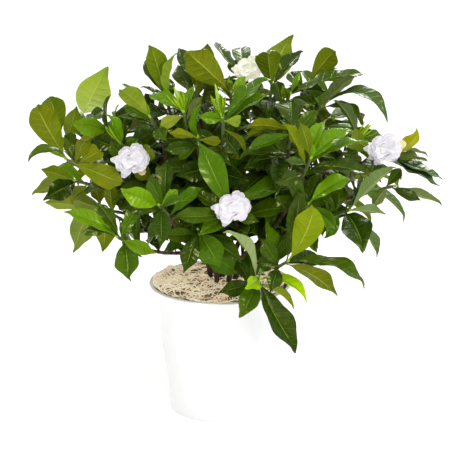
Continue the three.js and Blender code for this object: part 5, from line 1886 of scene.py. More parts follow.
class MeshParts:
    """Gathers the points and faces of one piece, with their place on the blade and their tints."""

    def __init__(self) -> None:
        """Starts with nothing gathered."""
        self.points: list[Array] = []
        self.faces: list[Array] = []
        self.uv: list[Array] = []
        self.upper: list[Array] = []
        self.under: list[Array] = []
        self.count = 0

    def add(self, points: Array, faces: Array, uv: Array, tone: LeafTone) -> None:
        """Adds a part.

        Args:
            points: Its points, in millimetres.
            faces: Rows of point numbers, three or four to a row.
            uv: Each point's place on the blade.
            tone: Its colours.
        """
        self.points.append(points)
        self.faces.append(faces + self.count)
        self.uv.append(uv)
        self.upper.append(np.tile((*tone.upper, 1.0), (len(points), 1)))
        self.under.append(np.tile((*tone.under, 1.0), (len(points), 1)))
        self.count += len(points)

    def build(self, name: str, *materials: bpy.types.Material) -> bpy.types.Object:
        """Makes the piece's mesh and object.

        Args:
            name: The object's name.
            materials: The materials of its slots.

        Returns:
            The object, selected and active.
        """
        faces = [face for group in self.faces for face in group.tolist()]
        piece = new_piece(name, np.concatenate(self.points), [], faces, *materials)
        mesh = piece.data
        corners = np.empty(len(mesh.loops), dtype=int)
        mesh.loops.foreach_get("vertex_index", corners)
        layer = mesh.uv_layers.new(name=TINTS.uv)
        layer.data.foreach_set("uv", np.concatenate(self.uv)[corners].ravel())
        for tint, values in ((TINTS.upper, self.upper), (TINTS.under, self.under)):
            colours = mesh.attributes.new(name=tint, type="FLOAT_COLOR", domain="POINT")
            colours.data.foreach_set("color", np.concatenate(values).ravel())
        return piece


def new_piece(name: str, points: Array, edges: Sequence[Sequence[int]],
              faces: Sequence[Sequence[int]], *materials: bpy.types.Material) -> bpy.types.Object:
    """Makes a mesh and its object.

    Args:
        name: Name of both.
        points: The points, in millimetres.
        edges: Pairs of point numbers, for a line that is still to be turned.
        faces: Rows of point numbers.
        materials: The materials of its slots.

    Returns:
        The object, selected and active.
    """
    mesh = bpy.data.meshes.new(name)
    mesh.from_pydata((points * MM).tolist(), edges, faces)
    for material in materials:
        mesh.materials.append(material)
    thing = bpy.data.objects.new(name, mesh)
    bpy.context.collection.objects.link(thing)
    only(thing)
    return thing


def thicken(thing: bpy.types.Object, thickness: float, offset: float, under_slot: int) -> None:
    """Gives a thin sheet its thickness.

    Args:
        thing: The sheet's object.
        thickness: In millimetres.
        offset: 0 to grow both ways, -1 to grow below the sheet.
        under_slot: How many slots further on the underside's material is.
    """
    only(thing)
    shell = thing.modifiers.new("thickness", "SOLIDIFY")
    shell.thickness = thickness * MM
    shell.offset = offset
    shell.material_offset = under_slot
    bpy.ops.object.modifier_apply(modifier=shell.name)


def join(thing: bpy.types.Object, *others: bpy.types.Object) -> bpy.types.Object:
    """Joins objects.

    Args:
        thing: The object that the others join.
        others: The others.

    Returns:
        The first object.
    """
    only(thing)
    for other in others:
        other.select_set(True)
    bpy.ops.object.join()
    return thing


def settle_piece(thing: bpy.types.Object, nodes: Sequence[str],
                 angle: float = 60.0) -> None:
    """Smooths a finished piece and seats it on the model.

    Args:
        thing: The piece.
        nodes: The nodes that it stands for.
        angle: Edges sharper than this stay sharp, in degrees.
    """
    only(thing)
    bpy.ops.object.shade_smooth_by_angle(angle=math.radians(angle))
    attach(thing, ROOT_BODY)
    if nodes:
        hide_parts(*nodes)
    log.info("%s: %d faces", thing.name, len(thing.data.polygons))


def tube_part(parts: MeshParts, route: Array, radii: Sequence[float], sides: int,
              tone: LeafTone, ribs: int = 0, rib: float = 0.0) -> None:
    """Adds a closed tube to a piece.

    Args:
        parts: The piece.
        route: Points along the tube's middle.
        radii: Its radius at each point.
        sides: Faces round it.
        tone: Its colours.
        ribs: Number of ribs along it.
        rib: Height of a rib, as a share of the radius.
    """
    rings = tube_rings(route, radii, sides).reshape(len(route), sides, 3)
    turn = 2 * math.pi * np.arange(sides) / sides
    if ribs:
        swell = 1 + rib * np.cos(ribs * turn).reshape(1, sides, 1)
        rings = route[:, None] + (rings - route[:, None]) * swell
    points = rings.reshape(-1, 3)
    along = np.repeat(np.linspace(0, 1, len(route)), sides)
    uv = np.stack((np.tile(turn / (2 * math.pi), len(route)), along), axis=1)
    faces = []
    for s in range(len(route) - 1):
        for k in range(sides):
            a, b = s * sides + k, s * sides + (k + 1) % sides
            faces.append((a, b, b + sides, a + sides))
    parts.add(points, np.array(faces), uv, tone)
    for start, flip in ((0, True), ((len(route) - 1) * sides, False)):
        ring = np.arange(sides)
        cap = np.array([ring[::-1] if flip else ring])
        parts.add(points[start:start + sides], cap, uv[start:start + sides], tone)


def refined(route: Array, steps: int) -> Array:
    """Rounds a route off with more points, passing through all of its own.

    Args:
        route: Points to pass through.
        steps: New points for each stretch.

    Returns:
        The rounder route.
    """
    ends = np.concatenate((2 * route[:1] - route[1:2], route, 2 * route[-1:] - route[-2:-1]))
    stretches = []
    for i in range(1, len(ends) - 2):
        before, start, end, after = ends[i - 1:i + 3]
        handles = (start, start + (end - before) / 6, end - (after - start) / 6, end)
        stretches.append(bezier(*handles, np.arange(steps) / steps))
    return np.concatenate((*stretches, route[-1:]))


# Leaves


@dataclass
class LeafSurface:
    """The fine form of a leaf: quilted between its veins, wavy at its edges, with a drip tip.

    Attributes:
        columns: Lines of the mesh from foot to tip.
        vein_pairs: Number of side veins on each side.
        rows_per_vein: Faces from one vein to the next.
        slant: How far the side veins run toward the tip, as a share of the length.
        last: Where the mesh ends, just short of the tip.
        thickness: The leaf's thickness.
        quilt: Height of the quilting between the veins.
        midrib: Depth of the groove over the midrib.
        wave: Range of the height of the waves at the edges.
        waves: Range of the number of waves.
        waves_from: Where along the leaf the waves start and have their full height.
        waves_end: Where they end.
        tip_from: Where the drip tip starts, and where it is narrowest.
        tip_slim: Range of how much narrower the drip tip is.
        hook: Range of how far the drip tip bends down.
        hook_from: Where it starts to bend.
        swing: How far the drip tip bends aside, either way.
        crown: How rounded the wings are from midrib to edge.
        full_size: Width of a leaf whose quilting, waves and hook have their full size.
        body_from: Where along the leaf the relief starts and is full.
        body_to: Where it starts to fade and ends.
        quilt_in: How far from the midrib the quilting is full.
        quilt_out: How far from it the quilting starts to fade, and by what share.
        groove: How wide the midrib's groove is, as a share of the half width.
        light: Range of how bright a leaf is.
        warm: Range of how much yellower it is.
    """

    columns: Numbers = (-1, -0.72, -0.42, -0.13, 0, 0.13, 0.42, 0.72, 1)
    vein_pairs: int = 9
    rows_per_vein: int = 3
    slant: float = 0.11
    last: float = 0.992
    thickness: float = 0.65
    quilt: float = 0.42
    midrib: float = 0.5
    wave: Span = (0.7, 2.4)
    waves: Span = (1.6, 3.6)
    waves_from: Span = (0.1, 0.3)
    waves_end: float = 0.97
    tip_from: Span = (0.66, 0.95)
    tip_slim: Span = (0.42, 0.68)
    hook: Span = (1.0, 5.0)
    hook_from: float = 0.84
    swing: float = 2.5
    crown: float = 0.3
    full_size: float = 30.0
    body_from: Span = (0.08, 0.2)
    body_to: Span = (0.84, 0.96)
    quilt_in: float = 0.3
    quilt_out: Span = (0.8, 0.6)
    groove: float = 0.05
    light: Span = (0.78, 1.22)
    warm: Span = (0.9, 1.12)

    def __post_init__(self) -> None:
        """Models the flat sheet."""
        self.sheet = Sheet(self.columns, self.vein_pairs * self.rows_per_vein)

    def points(self, blade: Blade, draw: Draws) -> Array:
        """Bends the sheet into a leaf.

        Args:
            blade: The leaf's main form.
            draw: Draws for its waves and its tip.

        Returns:
            The mesh's points.
        """
        u, s = self.sheet.u, self.sheet.s * self.last
        out = np.abs(u)
        t = s + self.slant * out * 4 * s * (1 - s)
        mid, normal, across, half = blade.frame_at(t)
        half = half[:, 0] * (1 - draw.between(*self.tip_slim) * smooth(*self.tip_from, t))
        size = blade.wide / self.full_size
        body = smooth(*self.body_from, t) * (1 - smooth(*self.body_to, t))
        rise = math.sin(blade.fold) * half * ((1 + self.crown) * out - self.crown * out * out)
        vein = -np.cos(2 * math.pi * self.vein_pairs * self.sheet.s)
        fade_from, fade = self.quilt_out
        rise += (self.quilt * size * vein * body * smooth(0, self.quilt_in, out)
                 * (1 - fade * smooth(fade_from, 1, out)))
        rise -= self.midrib * body * (out < self.groove)
        count, height = draw.between(*self.waves), draw.between(*self.wave) * size
        phase = np.where(u < 0, draw.between(0, 1), draw.between(0, 1))
        rise += (height * np.sin(2 * math.pi * (count * t + phase)) * out ** 2
                 * smooth(*self.waves_from, t) * (t < self.waves_end))
        bend = smooth(self.hook_from, 1, t) ** 2
        rise -= bend * draw.between(*self.hook) * size
        swing = draw.between(-self.swing, self.swing)
        aside = math.cos(blade.fold) * half * u + bend * swing * size
        return mid + across * aside.reshape(-1, 1) + normal * rise.reshape(-1, 1)

    def add(self, parts: MeshParts, blade: Blade, tone: LeafTone, seed: int) -> None:
        """Adds a leaf to a piece.

        Args:
            parts: The piece.
            blade: The leaf's main form.
            tone: Its colours.
            seed: Whole number that its draws start from.
        """
        draw = Draws(seed)
        light, warm = draw.between(*self.light), draw.between(*self.warm)
        shaded = LeafTone(*((c[0] * light * warm, c[1] * light, c[2] * light / warm)
                            for c in (tone.upper, tone.under)))
        uv = np.stack(((self.sheet.u + 1) / 2, self.sheet.s), axis=1)
        parts.add(self.points(blade, draw), self.sheet.faces, uv, shaded)


@dataclass
class LeafyShoot:
    """A shoot's finished piece: its leaves, its twig, its young leaves and its flower bud.

    Attributes:
        grown: How a grown leaf is formed.
        young: How a young leaf is formed.
        finishes: The finishes.
        twig_points: Number of swellings along a twig.
        twig_sides: Faces round it.
        twig_ends: Its radius at its foot and at its top.
        twig_round: How much narrower its very end is.
        twig_seam: How far it starts from the branch that carries it.
        node_swell: How far it swells where leaves leave it.
        tip_long: Length of a leaf bud.
        tip_radii: Radius of a leaf bud along its length.
        bud_steps: Points added between those of a flower bud.
        bud_sides: Faces round it.
        bud_ribs: Number of ribs along it and their height, as a share of its radius.
        lobes: Number of the calyx's lobes.
        lobe_foot: Number of the bud's point that they grow from.
        lobe_sunk: How far from its middle they start, as a share of its greatest radius.
        lobe_turn: How far a lobe turns from its place, either way.
        lobe_length: Range of their lengths.
        lobe_spread: Range of how far they stand off.
        lobe_wide: Their width.
        lobe_arch: How far they arch outward, as a share of their length.
        lobe_fold: Angle that their sides rise at, in degrees.
        lobe_twist: Angle that they turn through.
        lobe_half: Half the width of their foot.
        TWIG: Colour of twigs.
        GREEN: Colour of buds.
    """

    grown: LeafSurface
    young: LeafSurface
    finishes: "Finishes"
    twig_points: int = 4
    twig_sides: int = 8
    twig_ends: Span = (2.3, TWIG_TIP)
    twig_round: float = 0.6
    twig_seam: float = 0.2
    node_swell: float = 0.45
    tip_long: float = 5.0
    tip_radii: Numbers = (1.6, 1.9, 1.6, 0.9, 0.25)
    bud_steps: int = 3
    bud_sides: int = 15
    bud_ribs: tuple[int, float] = (5, 0.1)
    lobes: int = 7
    lobe_foot: int = 3
    lobe_sunk: float = 0.7
    lobe_turn: float = 0.3
    lobe_length: Span = (18.0, 27.0)
    lobe_spread: Span = (0.15, 0.5)
    lobe_wide: float = 3.2
    lobe_arch: float = 0.08
    lobe_fold: float = 18.0
    lobe_twist: float = 0.3
    lobe_half: float = 0.9

    GROWN_SEED = 211
    SLIP_SEED = 223
    CALYX_SEED = 227
    LOBE_SEED = 229
    TWIG = LeafTone(linear(78, 92, 34), linear(78, 92, 34))
    GREEN = LeafTone(linear(150, 186, 10), linear(150, 182, 20))

    def build(self, shoot: GrownShoot) -> None:
        """Builds the shoot's piece.

        Args:
            shoot: The shoot in its place.
        """
        leaves, slips, wood = MeshParts(), MeshParts(), MeshParts()
        for i, (blade, tone) in enumerate(shoot.blades):
            self.grown.add(leaves, blade, tone, shoot.seed * self.GROWN_SEED + i)
        for i, (blade, tone) in enumerate(shoot.young):
            self.young.add(slips, blade, tone, shoot.seed * self.SLIP_SEED + i)
        self.add_twig(wood, shoot)
        self.add_tip(wood, slips, shoot)
        name = f"{shoot.node}_leaves"
        pieces = []
        for parts, surface in ((leaves, self.grown), (slips, self.young)):
            if parts.count:
                sheet = parts.build(name, self.finishes.upper, self.finishes.under)
                thicken(sheet, surface.thickness, 0.0, 1)
                pieces.append(sheet)
        pieces.append(wood.build(name, self.finishes.twig))
        piece = join(*pieces)
        piece.name = name
        settle_piece(piece, [shoot.node])

    def build_inner(self, leaves: Sequence[tuple[Blade, LeafTone]],
                    surface: LeafSurface) -> None:
        """Builds the leaves on the branches.

        Args:
            leaves: The leaves, each with its colours.
            surface: How a leaf is formed.
        """
        parts = MeshParts()
        for i, (blade, tone) in enumerate(leaves):
            surface.add(parts, blade, tone, INNER.seed_from + i)
        piece = parts.build(INNER.name, self.finishes.upper, self.finishes.under)
        thicken(piece, surface.thickness, 0.0, 1)
        settle_piece(piece, [])

    def slot(self, shoot: GrownShoot) -> str:
        """Chooses the record's material slot.

        Args:
            shoot: The shoot.

        Returns:
            The slot's name.
        """
        if shoot.back:
            return "leaf_grey_green"
        if shoot.plan.name in BRIGHT_SHOOTS:
            return "leaf_bright"
        return "leaf_dark" if shoot.plan.name in DARK_SHOOTS else "leaf_green"

    def add_twig(self, wood: MeshParts, shoot: GrownShoot) -> None:
        """Adds the twig, which swells a little where leaves leave it.

        Args:
            wood: The part that it is added to.
            shoot: The shoot in its place.
        """
        start = shoot.foot + shoot.axis * self.twig_seam
        route = np.linspace(start, shoot.top, 3 * self.twig_points + 1)
        radii = np.linspace(*self.twig_ends, len(route))
        radii[1::3] += self.node_swell
        radii[-1] = self.twig_ends[1] * self.twig_round
        tube_part(wood, route, radii, self.twig_sides, self.TWIG)

    def add_tip(self, wood: MeshParts, slips: MeshParts, shoot: GrownShoot) -> None:
        """Adds what ends the twig: a flower bud with its calyx, or a small pointed leaf bud.

        Args:
            wood: The part that a bud is added to.
            slips: The part that the calyx's lobes are added to.
            shoot: The shoot in its place.
        """
        if shoot.plan.bud:
            self.add_bud(wood, slips, shoot)
        elif not shoot.plan.bloom:
            tip = shoot.top + shoot.axis * self.tip_long
            route = np.linspace(shoot.top - shoot.axis, tip, len(self.tip_radii))
            tube_part(wood, route, self.tip_radii, self.twig_sides, self.GREEN)

    def add_bud(self, wood: MeshParts, slips: MeshParts, shoot: GrownShoot) -> None:
        """Adds a flower bud with its calyx.

        Args:
            wood: The part that the bud is added to.
            slips: The part that the calyx's lobes are added to.
            shoot: The shoot in its place.
        """
        route = refined(BUD.route(shoot), self.bud_steps)
        places = np.linspace(0, 1, len(BUD.radii))
        radii = np.interp(np.linspace(0, 1, len(route)), places, BUD.radii)
        tube_part(wood, route, radii, self.bud_sides, self.GREEN, *self.bud_ribs)
        axis = unit(route[-1] - route[0])
        sideways = unit(cross(axis, VIEW.right))
        lifted = cross(sideways, axis)
        draw = Draws(shoot.seed * self.CALYX_SEED)
        for i in range(self.lobes):
            turn = 2 * math.pi * i / self.lobes + draw.between(-self.lobe_turn, self.lobe_turn)
            out = sideways * math.cos(turn) + lifted * math.sin(turn)
            length = draw.between(*self.lobe_length)
            spread = draw.between(*self.lobe_spread)
            start = route[self.lobe_foot] + out * max(BUD.radii) * self.lobe_sunk
            along = unit(axis + out * spread)
            up = unit(-out + along * np.dot(out, along))
            lobe = Blade(start, start + along * length, up, self.lobe_wide, -self.lobe_arch, 0.0,
                         math.radians(self.lobe_fold), self.lobe_twist, self.lobe_half)
            self.young.add(slips, lobe, self.GREEN, shoot.seed * self.LOBE_SEED + i)


# Blooms


@dataclass
class PetalSurface:
    """The fine form of a petal: cupped, with a round end and a ruffled edge.

    Attributes:
        columns: Lines of the mesh from foot to tip.
        rows: Faces from foot to tip.
        round_end: How far the corners of the end are drawn back.
        thickness: The petal's thickness.
        trough: How far the middle lies below the sides, as a share of the half width.
        ruffle: Range of the height of the ruffles.
        ruffles: Range of the number of ruffles.
        lip: How far the end curls back.
        corner: How suddenly the corners of the end are drawn back.
        flare: How much wider the end is than the plain outline, and where it starts to widen.
        point_from: Where a pointed end starts to narrow.
        level: Share of the way out where a petal is level with its own form.
        trough_to: Where the trough has its full depth.
        ruffle_from: Where the ruffles of the end start.
        ruffle_turn: How far the ruffles run round the edge, across the end and up the sides.
        lip_from: Where the end starts to curl back.
        full_size: Widths of the petals whose ruffles and whose lip have their full size.
    """

    columns: Numbers = (-1, -0.86, -0.64, -0.4, -0.18, 0, 0.18, 0.4, 0.64, 0.86, 1)
    rows: int = 12
    round_end: float = 0.2
    thickness: float = 0.6
    trough: float = 0.2
    ruffle: Span = (0.7, 1.6)
    ruffles: Span = (1.6, 3.2)
    lip: float = 1.5
    corner: float = 2.4
    flare: Span = (0.55, 0.8)
    point_from: float = 0.3
    level: float = 0.45
    trough_to: float = 0.4
    ruffle_from: float = 0.45
    ruffle_turn: Span = (0.5, 0.6)
    lip_from: float = 0.72
    full_size: Span = (20.0, 24.0)

    def __post_init__(self) -> None:
        """Models the flat sheet."""
        self.sheet = Sheet(self.columns, self.rows)

    def add(self, parts: MeshParts, blade: Blade, tone: LeafTone, seed: int,
            point: float = 0.0) -> None:
        """Adds a petal to a piece.

        Args:
            parts: The piece.
            blade: The petal's main form.
            tone: Its colours.
            seed: Whole number that its draws start from.
            point: How much its end narrows.
        """
        draw = Draws(seed)
        u, s = self.sheet.u, self.sheet.s
        out = np.abs(u)
        t = s * (1 - self.round_end * out ** self.corner * s)
        mid, normal, across, half = blade.frame_at(t)
        wider, wider_from = self.flare
        half = (half[:, 0] * (1 + wider * smooth(wider_from, 1, t))
                * (1 - point * smooth(self.point_from, 1, t)))
        rise = self.trough * half * (out ** 2 - self.level) * smooth(0, self.trough_to, t)
        edge = np.maximum(out, smooth(self.ruffle_from, 1, s)) ** 3
        ruffled, curled = (blade.wide / width for width in self.full_size)
        height, count = draw.between(*self.ruffle) * ruffled, draw.between(*self.ruffles)
        over, beside = self.ruffle_turn
        around = u * over + (1 - s) * np.sign(u) * beside
        rise += height * edge * np.sin(2 * math.pi * (count * around + draw.between(0, 1)))
        rise -= self.lip * curled * smooth(self.lip_from, 1, s) ** 2
        points = mid + across * (half * u).reshape(-1, 1) + normal * rise.reshape(-1, 1)
        parts.add(points, self.sheet.faces, np.stack(((u + 1) / 2, s), axis=1), tone)


@dataclass
class Bloom:
    """A double bloom: the plan's petals, curled inner petals and the green cup that carries them.

    Attributes:
        surface: How a petal is formed.
        finishes: The finishes.
        jitter: How far the tips of the inner petals vary.
        widths: Range of how wide an inner petal is, as a share of its plan's width.
        folded: Size of a cream bloom, whose petals curl in, as a share of a white one's.
        cup_front: How far past the bloom's heart its cup reaches.
        cup_radii: Radius of the cup along its length.
        cup_sides: Faces round the cup.
        WHITE: Colour of a white petal.
        CREAM: Colour of a cream petal.
        CUP: Colour of the cup.
    """

    surface: PetalSurface
    finishes: "Finishes"
    jitter: float = 1.3
    widths: Span = (0.9, 1.12)
    folded: float = 0.84
    cup_front: float = 2.0
    cup_radii: Numbers = (2.2, 2.6, 3.2, 3.8, 4.2, 3.2, 1.8)
    cup_sides: int = 12

    INNER_SEED = 311
    PETAL_SEED = 307
    FADED_SEED = 317
    WHITE = LeafTone(linear(238, 233, 244), linear(234, 232, 240))
    CREAM = LeafTone(linear(246, 245, 214), linear(240, 240, 205))
    CUP = LeafTone(linear(120, 150, 60), linear(120, 150, 60))

    def inner_petals(self, seed: int) -> tuple[Petal, ...]:
        """Crumples the inner petals, each bloom in its own way.

        Args:
            seed: Whole number that their draws start from.

        Returns:
            The petals.
        """
        draw = Draws(seed)
        petals = []
        for petal in INNER_PETALS:
            tip = tuple(part + draw.between(-self.jitter, self.jitter) for part in petal.tip)
            petals.append(replace(petal, tip=tip, wide=petal.wide * draw.between(*self.widths)))
        return tuple(petals)

    def build(self, shoot: GrownShoot) -> None:
        """Builds the bloom's piece.

        Args:
            shoot: The shoot that carries it.
        """
        name, heart = shoot.plan.name, shoot.heart
        cream = name in CREAM_BLOOMS
        tone, size = (self.CREAM, self.folded) if cream else (self.WHITE, 1.0)
        parts, cup = MeshParts(), MeshParts()
        petals = OUTER_PETALS + PETALS[OUTER_COUNT:]
        petals += self.inner_petals(shoot.seed * self.INNER_SEED)
        for i, petal in enumerate(petals):
            tip = tuple(size * part for part in petal.tip)
            blade = replace(petal, tip=tip, wide=size * petal.wide).blade(heart)
            self.surface.add(parts, blade, tone, shoot.seed * self.PETAL_SEED + i, petal.point)
        for i, petal in enumerate(FADED_PETALS.get(name, ())):
            seed = shoot.seed * self.FADED_SEED + i
            self.surface.add(parts, petal.blade(heart), FADED, seed)
        seat = heart - shoot.axis * BLOOM.seat
        route = np.array((seat, (seat + heart) / 2, heart, heart + VIEW.toward * self.cup_front))
        tube_part(cup, refined(route, 2), self.cup_radii, self.cup_sides, self.CUP)
        velvet = self.finishes.cream if cream else self.finishes.petal
        piece = parts.build(f"{name}_petals", velvet)
        thicken(piece, self.surface.thickness, 0.0, 0)
        join(piece, cup.build(f"{name}_cup", self.finishes.twig))
        settle_piece(piece, [name], angle=75)


# The pot and what fills it


@dataclass
class Pot:
    """The flared pot, turned from its profile, with a rounded lip and foot.

    Attributes:
        finishes: The finishes.
        segments: Faces round it.
        recess: Height of the hollow under its base.
        ring: How far inside the foot the hollow ends, at its ceiling and at the ground.
        foot_round: Radius of the foot's rounding.
        foot_steps: Stretches of that rounding.
        outside: Heights of the profile's points on the outside.
        lip_steps: Stretches of the lip's rounding.
        inside: Heights of the profile's points on the inside.
        corner: How far the corner inside is drawn in.
        sharp: Edges sharper than this stay sharp, in degrees.
    """

    finishes: "Finishes"
    segments: int = 144
    recess: float = 0.6
    ring: Span = (9.0, 7.0)
    foot_round: float = 2.5
    foot_steps: int = 4
    outside: Numbers = (30, 60, 90, 120, 140, 150, 156, 162, 168, 174, 179, 182)
    lip_steps: int = 8
    inside: Numbers = (181, 176, 170, 162, 156, 150, 120, 80, 40, 16)
    corner: float = 5.0
    sharp: float = 50.0

    def profile(self) -> list[Span]:
        """Lays out the profile.

        Returns:
            Radius and height of its points, from the middle of the base round to the middle of
            the floor.
        """
        ceiling, ground = (POT.base - width for width in self.ring)
        line = [(0.0, self.recess), (ceiling, self.recess), (ground, 0.0)]
        for i in range(self.foot_steps + 1):
            turn = math.pi / 2 * i / self.foot_steps
            line.append((POT.base - self.foot_round * (1 - math.sin(turn)),
                         self.foot_round * (1 - math.cos(turn))))
        line += [(POT.radius(z), z) for z in self.outside]
        lip = POT.wall / 2
        for i in range(1, self.lip_steps):
            turn = math.pi * i / self.lip_steps
            line.append((POT.rim - lip + lip * math.cos(turn),
                         POT.height - lip + lip * math.sin(turn)))
        line += [(POT.radius(z) - POT.wall, z) for z in self.inside]
        inner_corner = POT.radius(POT.floor) - POT.wall - self.corner
        return line + [(inner_corner, POT.floor), (0.0, POT.floor)]

    def build(self) -> None:
        """Turns the pot and glazes it."""
        points = np.array([(radius, 0.0, z) for radius, z in self.profile()])
        edges = [(i, i + 1) for i in range(len(points) - 1)]
        pot = new_piece("pot_glazed", points, edges, [], self.finishes.glaze)
        bpy.ops.object.mode_set(mode="EDIT")
        bpy.ops.mesh.select_all(action="SELECT")
        bpy.ops.mesh.spin(steps=self.segments, angle=2 * math.pi, center=(0, 0, 0),
                          axis=(0, 0, 1))
        bpy.ops.mesh.select_all(action="SELECT")
        bpy.ops.mesh.remove_doubles(threshold=SAME_PLACE)
        bpy.ops.mesh.normals_make_consistent(inside=False)
        bpy.ops.object.mode_set(mode="OBJECT")
        settle_piece(pot, ["pot"], self.sharp)


@dataclass(frozen=True)
class Strands:
    """One layer of loose strands.

    Attributes:
        name: The piece's name.
        count: Number of strands, which the draws start from too.
        tones: The colours that the strands may have.
        lift: Range of their heights over the mat.
        hump: Range of how far a strand's middle rises.
        curl: How strongly they curl.
        length: Range of their lengths.
        radius: Range of their radii.
        shade: Range of how bright a strand is.
        turns: Range of the angles round the pot where they start.
        reach: Range of the distances from the middle where they start, as shares of the mat's
            radius.
        brim: How far past the mat's edge they may lie.
        wiggle: Range of how unsteadily they curl.
        ends: How thick their ends are, as shares of their radius.
    """

    name: str
    count: int
    tones: Sequence[Colour]
    lift: Span
    hump: Span = (0.3, 3.4)
    curl: float = 0.34
    length: Span = (26.0, 70.0)
    radius: Span = (0.45, 0.85)
    shade: Span = (0.7, 1.12)
    turns: Span = (0.0, 2 * math.pi)
    reach: Span = (0.0, 0.97)
    brim: float = -1.0
    wiggle: Span = (0.1, 0.5)
    ends: Span = (0.5, 0.4)


# Strand tints. The upper strands' straw is lit to near white, and their shades above 1 add more: painted
# light on top of the wool's own colour.
STRAW = (linear(255, 247, 220), linear(252, 234, 196), linear(255, 251, 234), linear(234, 206, 160))
PALE_STRAW = (linear(248, 244, 228), linear(228, 222, 198), linear(253, 251, 242),
              linear(198, 190, 160))
# The lower strands' darker browns are partly the wool's own colour and partly painted shade deep in the
# mat.
SHADED_WOOL = (linear(170, 134, 92), linear(126, 92, 60), linear(92, 66, 42), linear(206, 178, 134))
LOW_STRANDS = Strands("moss_strands_low", 1500, SHADED_WOOL, lift=(0.0, 2.5))
TOP_STRANDS = Strands("moss_strands_top", 540, STRAW, lift=(1.5, 5.5), curl=0.45,
                      hump=(0.5, 4.5), shade=(0.62, 1.22))
RIM_STRANDS = Strands("moss_strands_rim", 84, PALE_STRAW, lift=(3.5, 7.0), curl=0.5,
                      hump=(0.5, 6.0), turns=(math.radians(140), math.radians(212)),
                      reach=(0.97, 1.02), brim=3.0, radius=(0.3, 0.48), length=(18.0, 46.0))


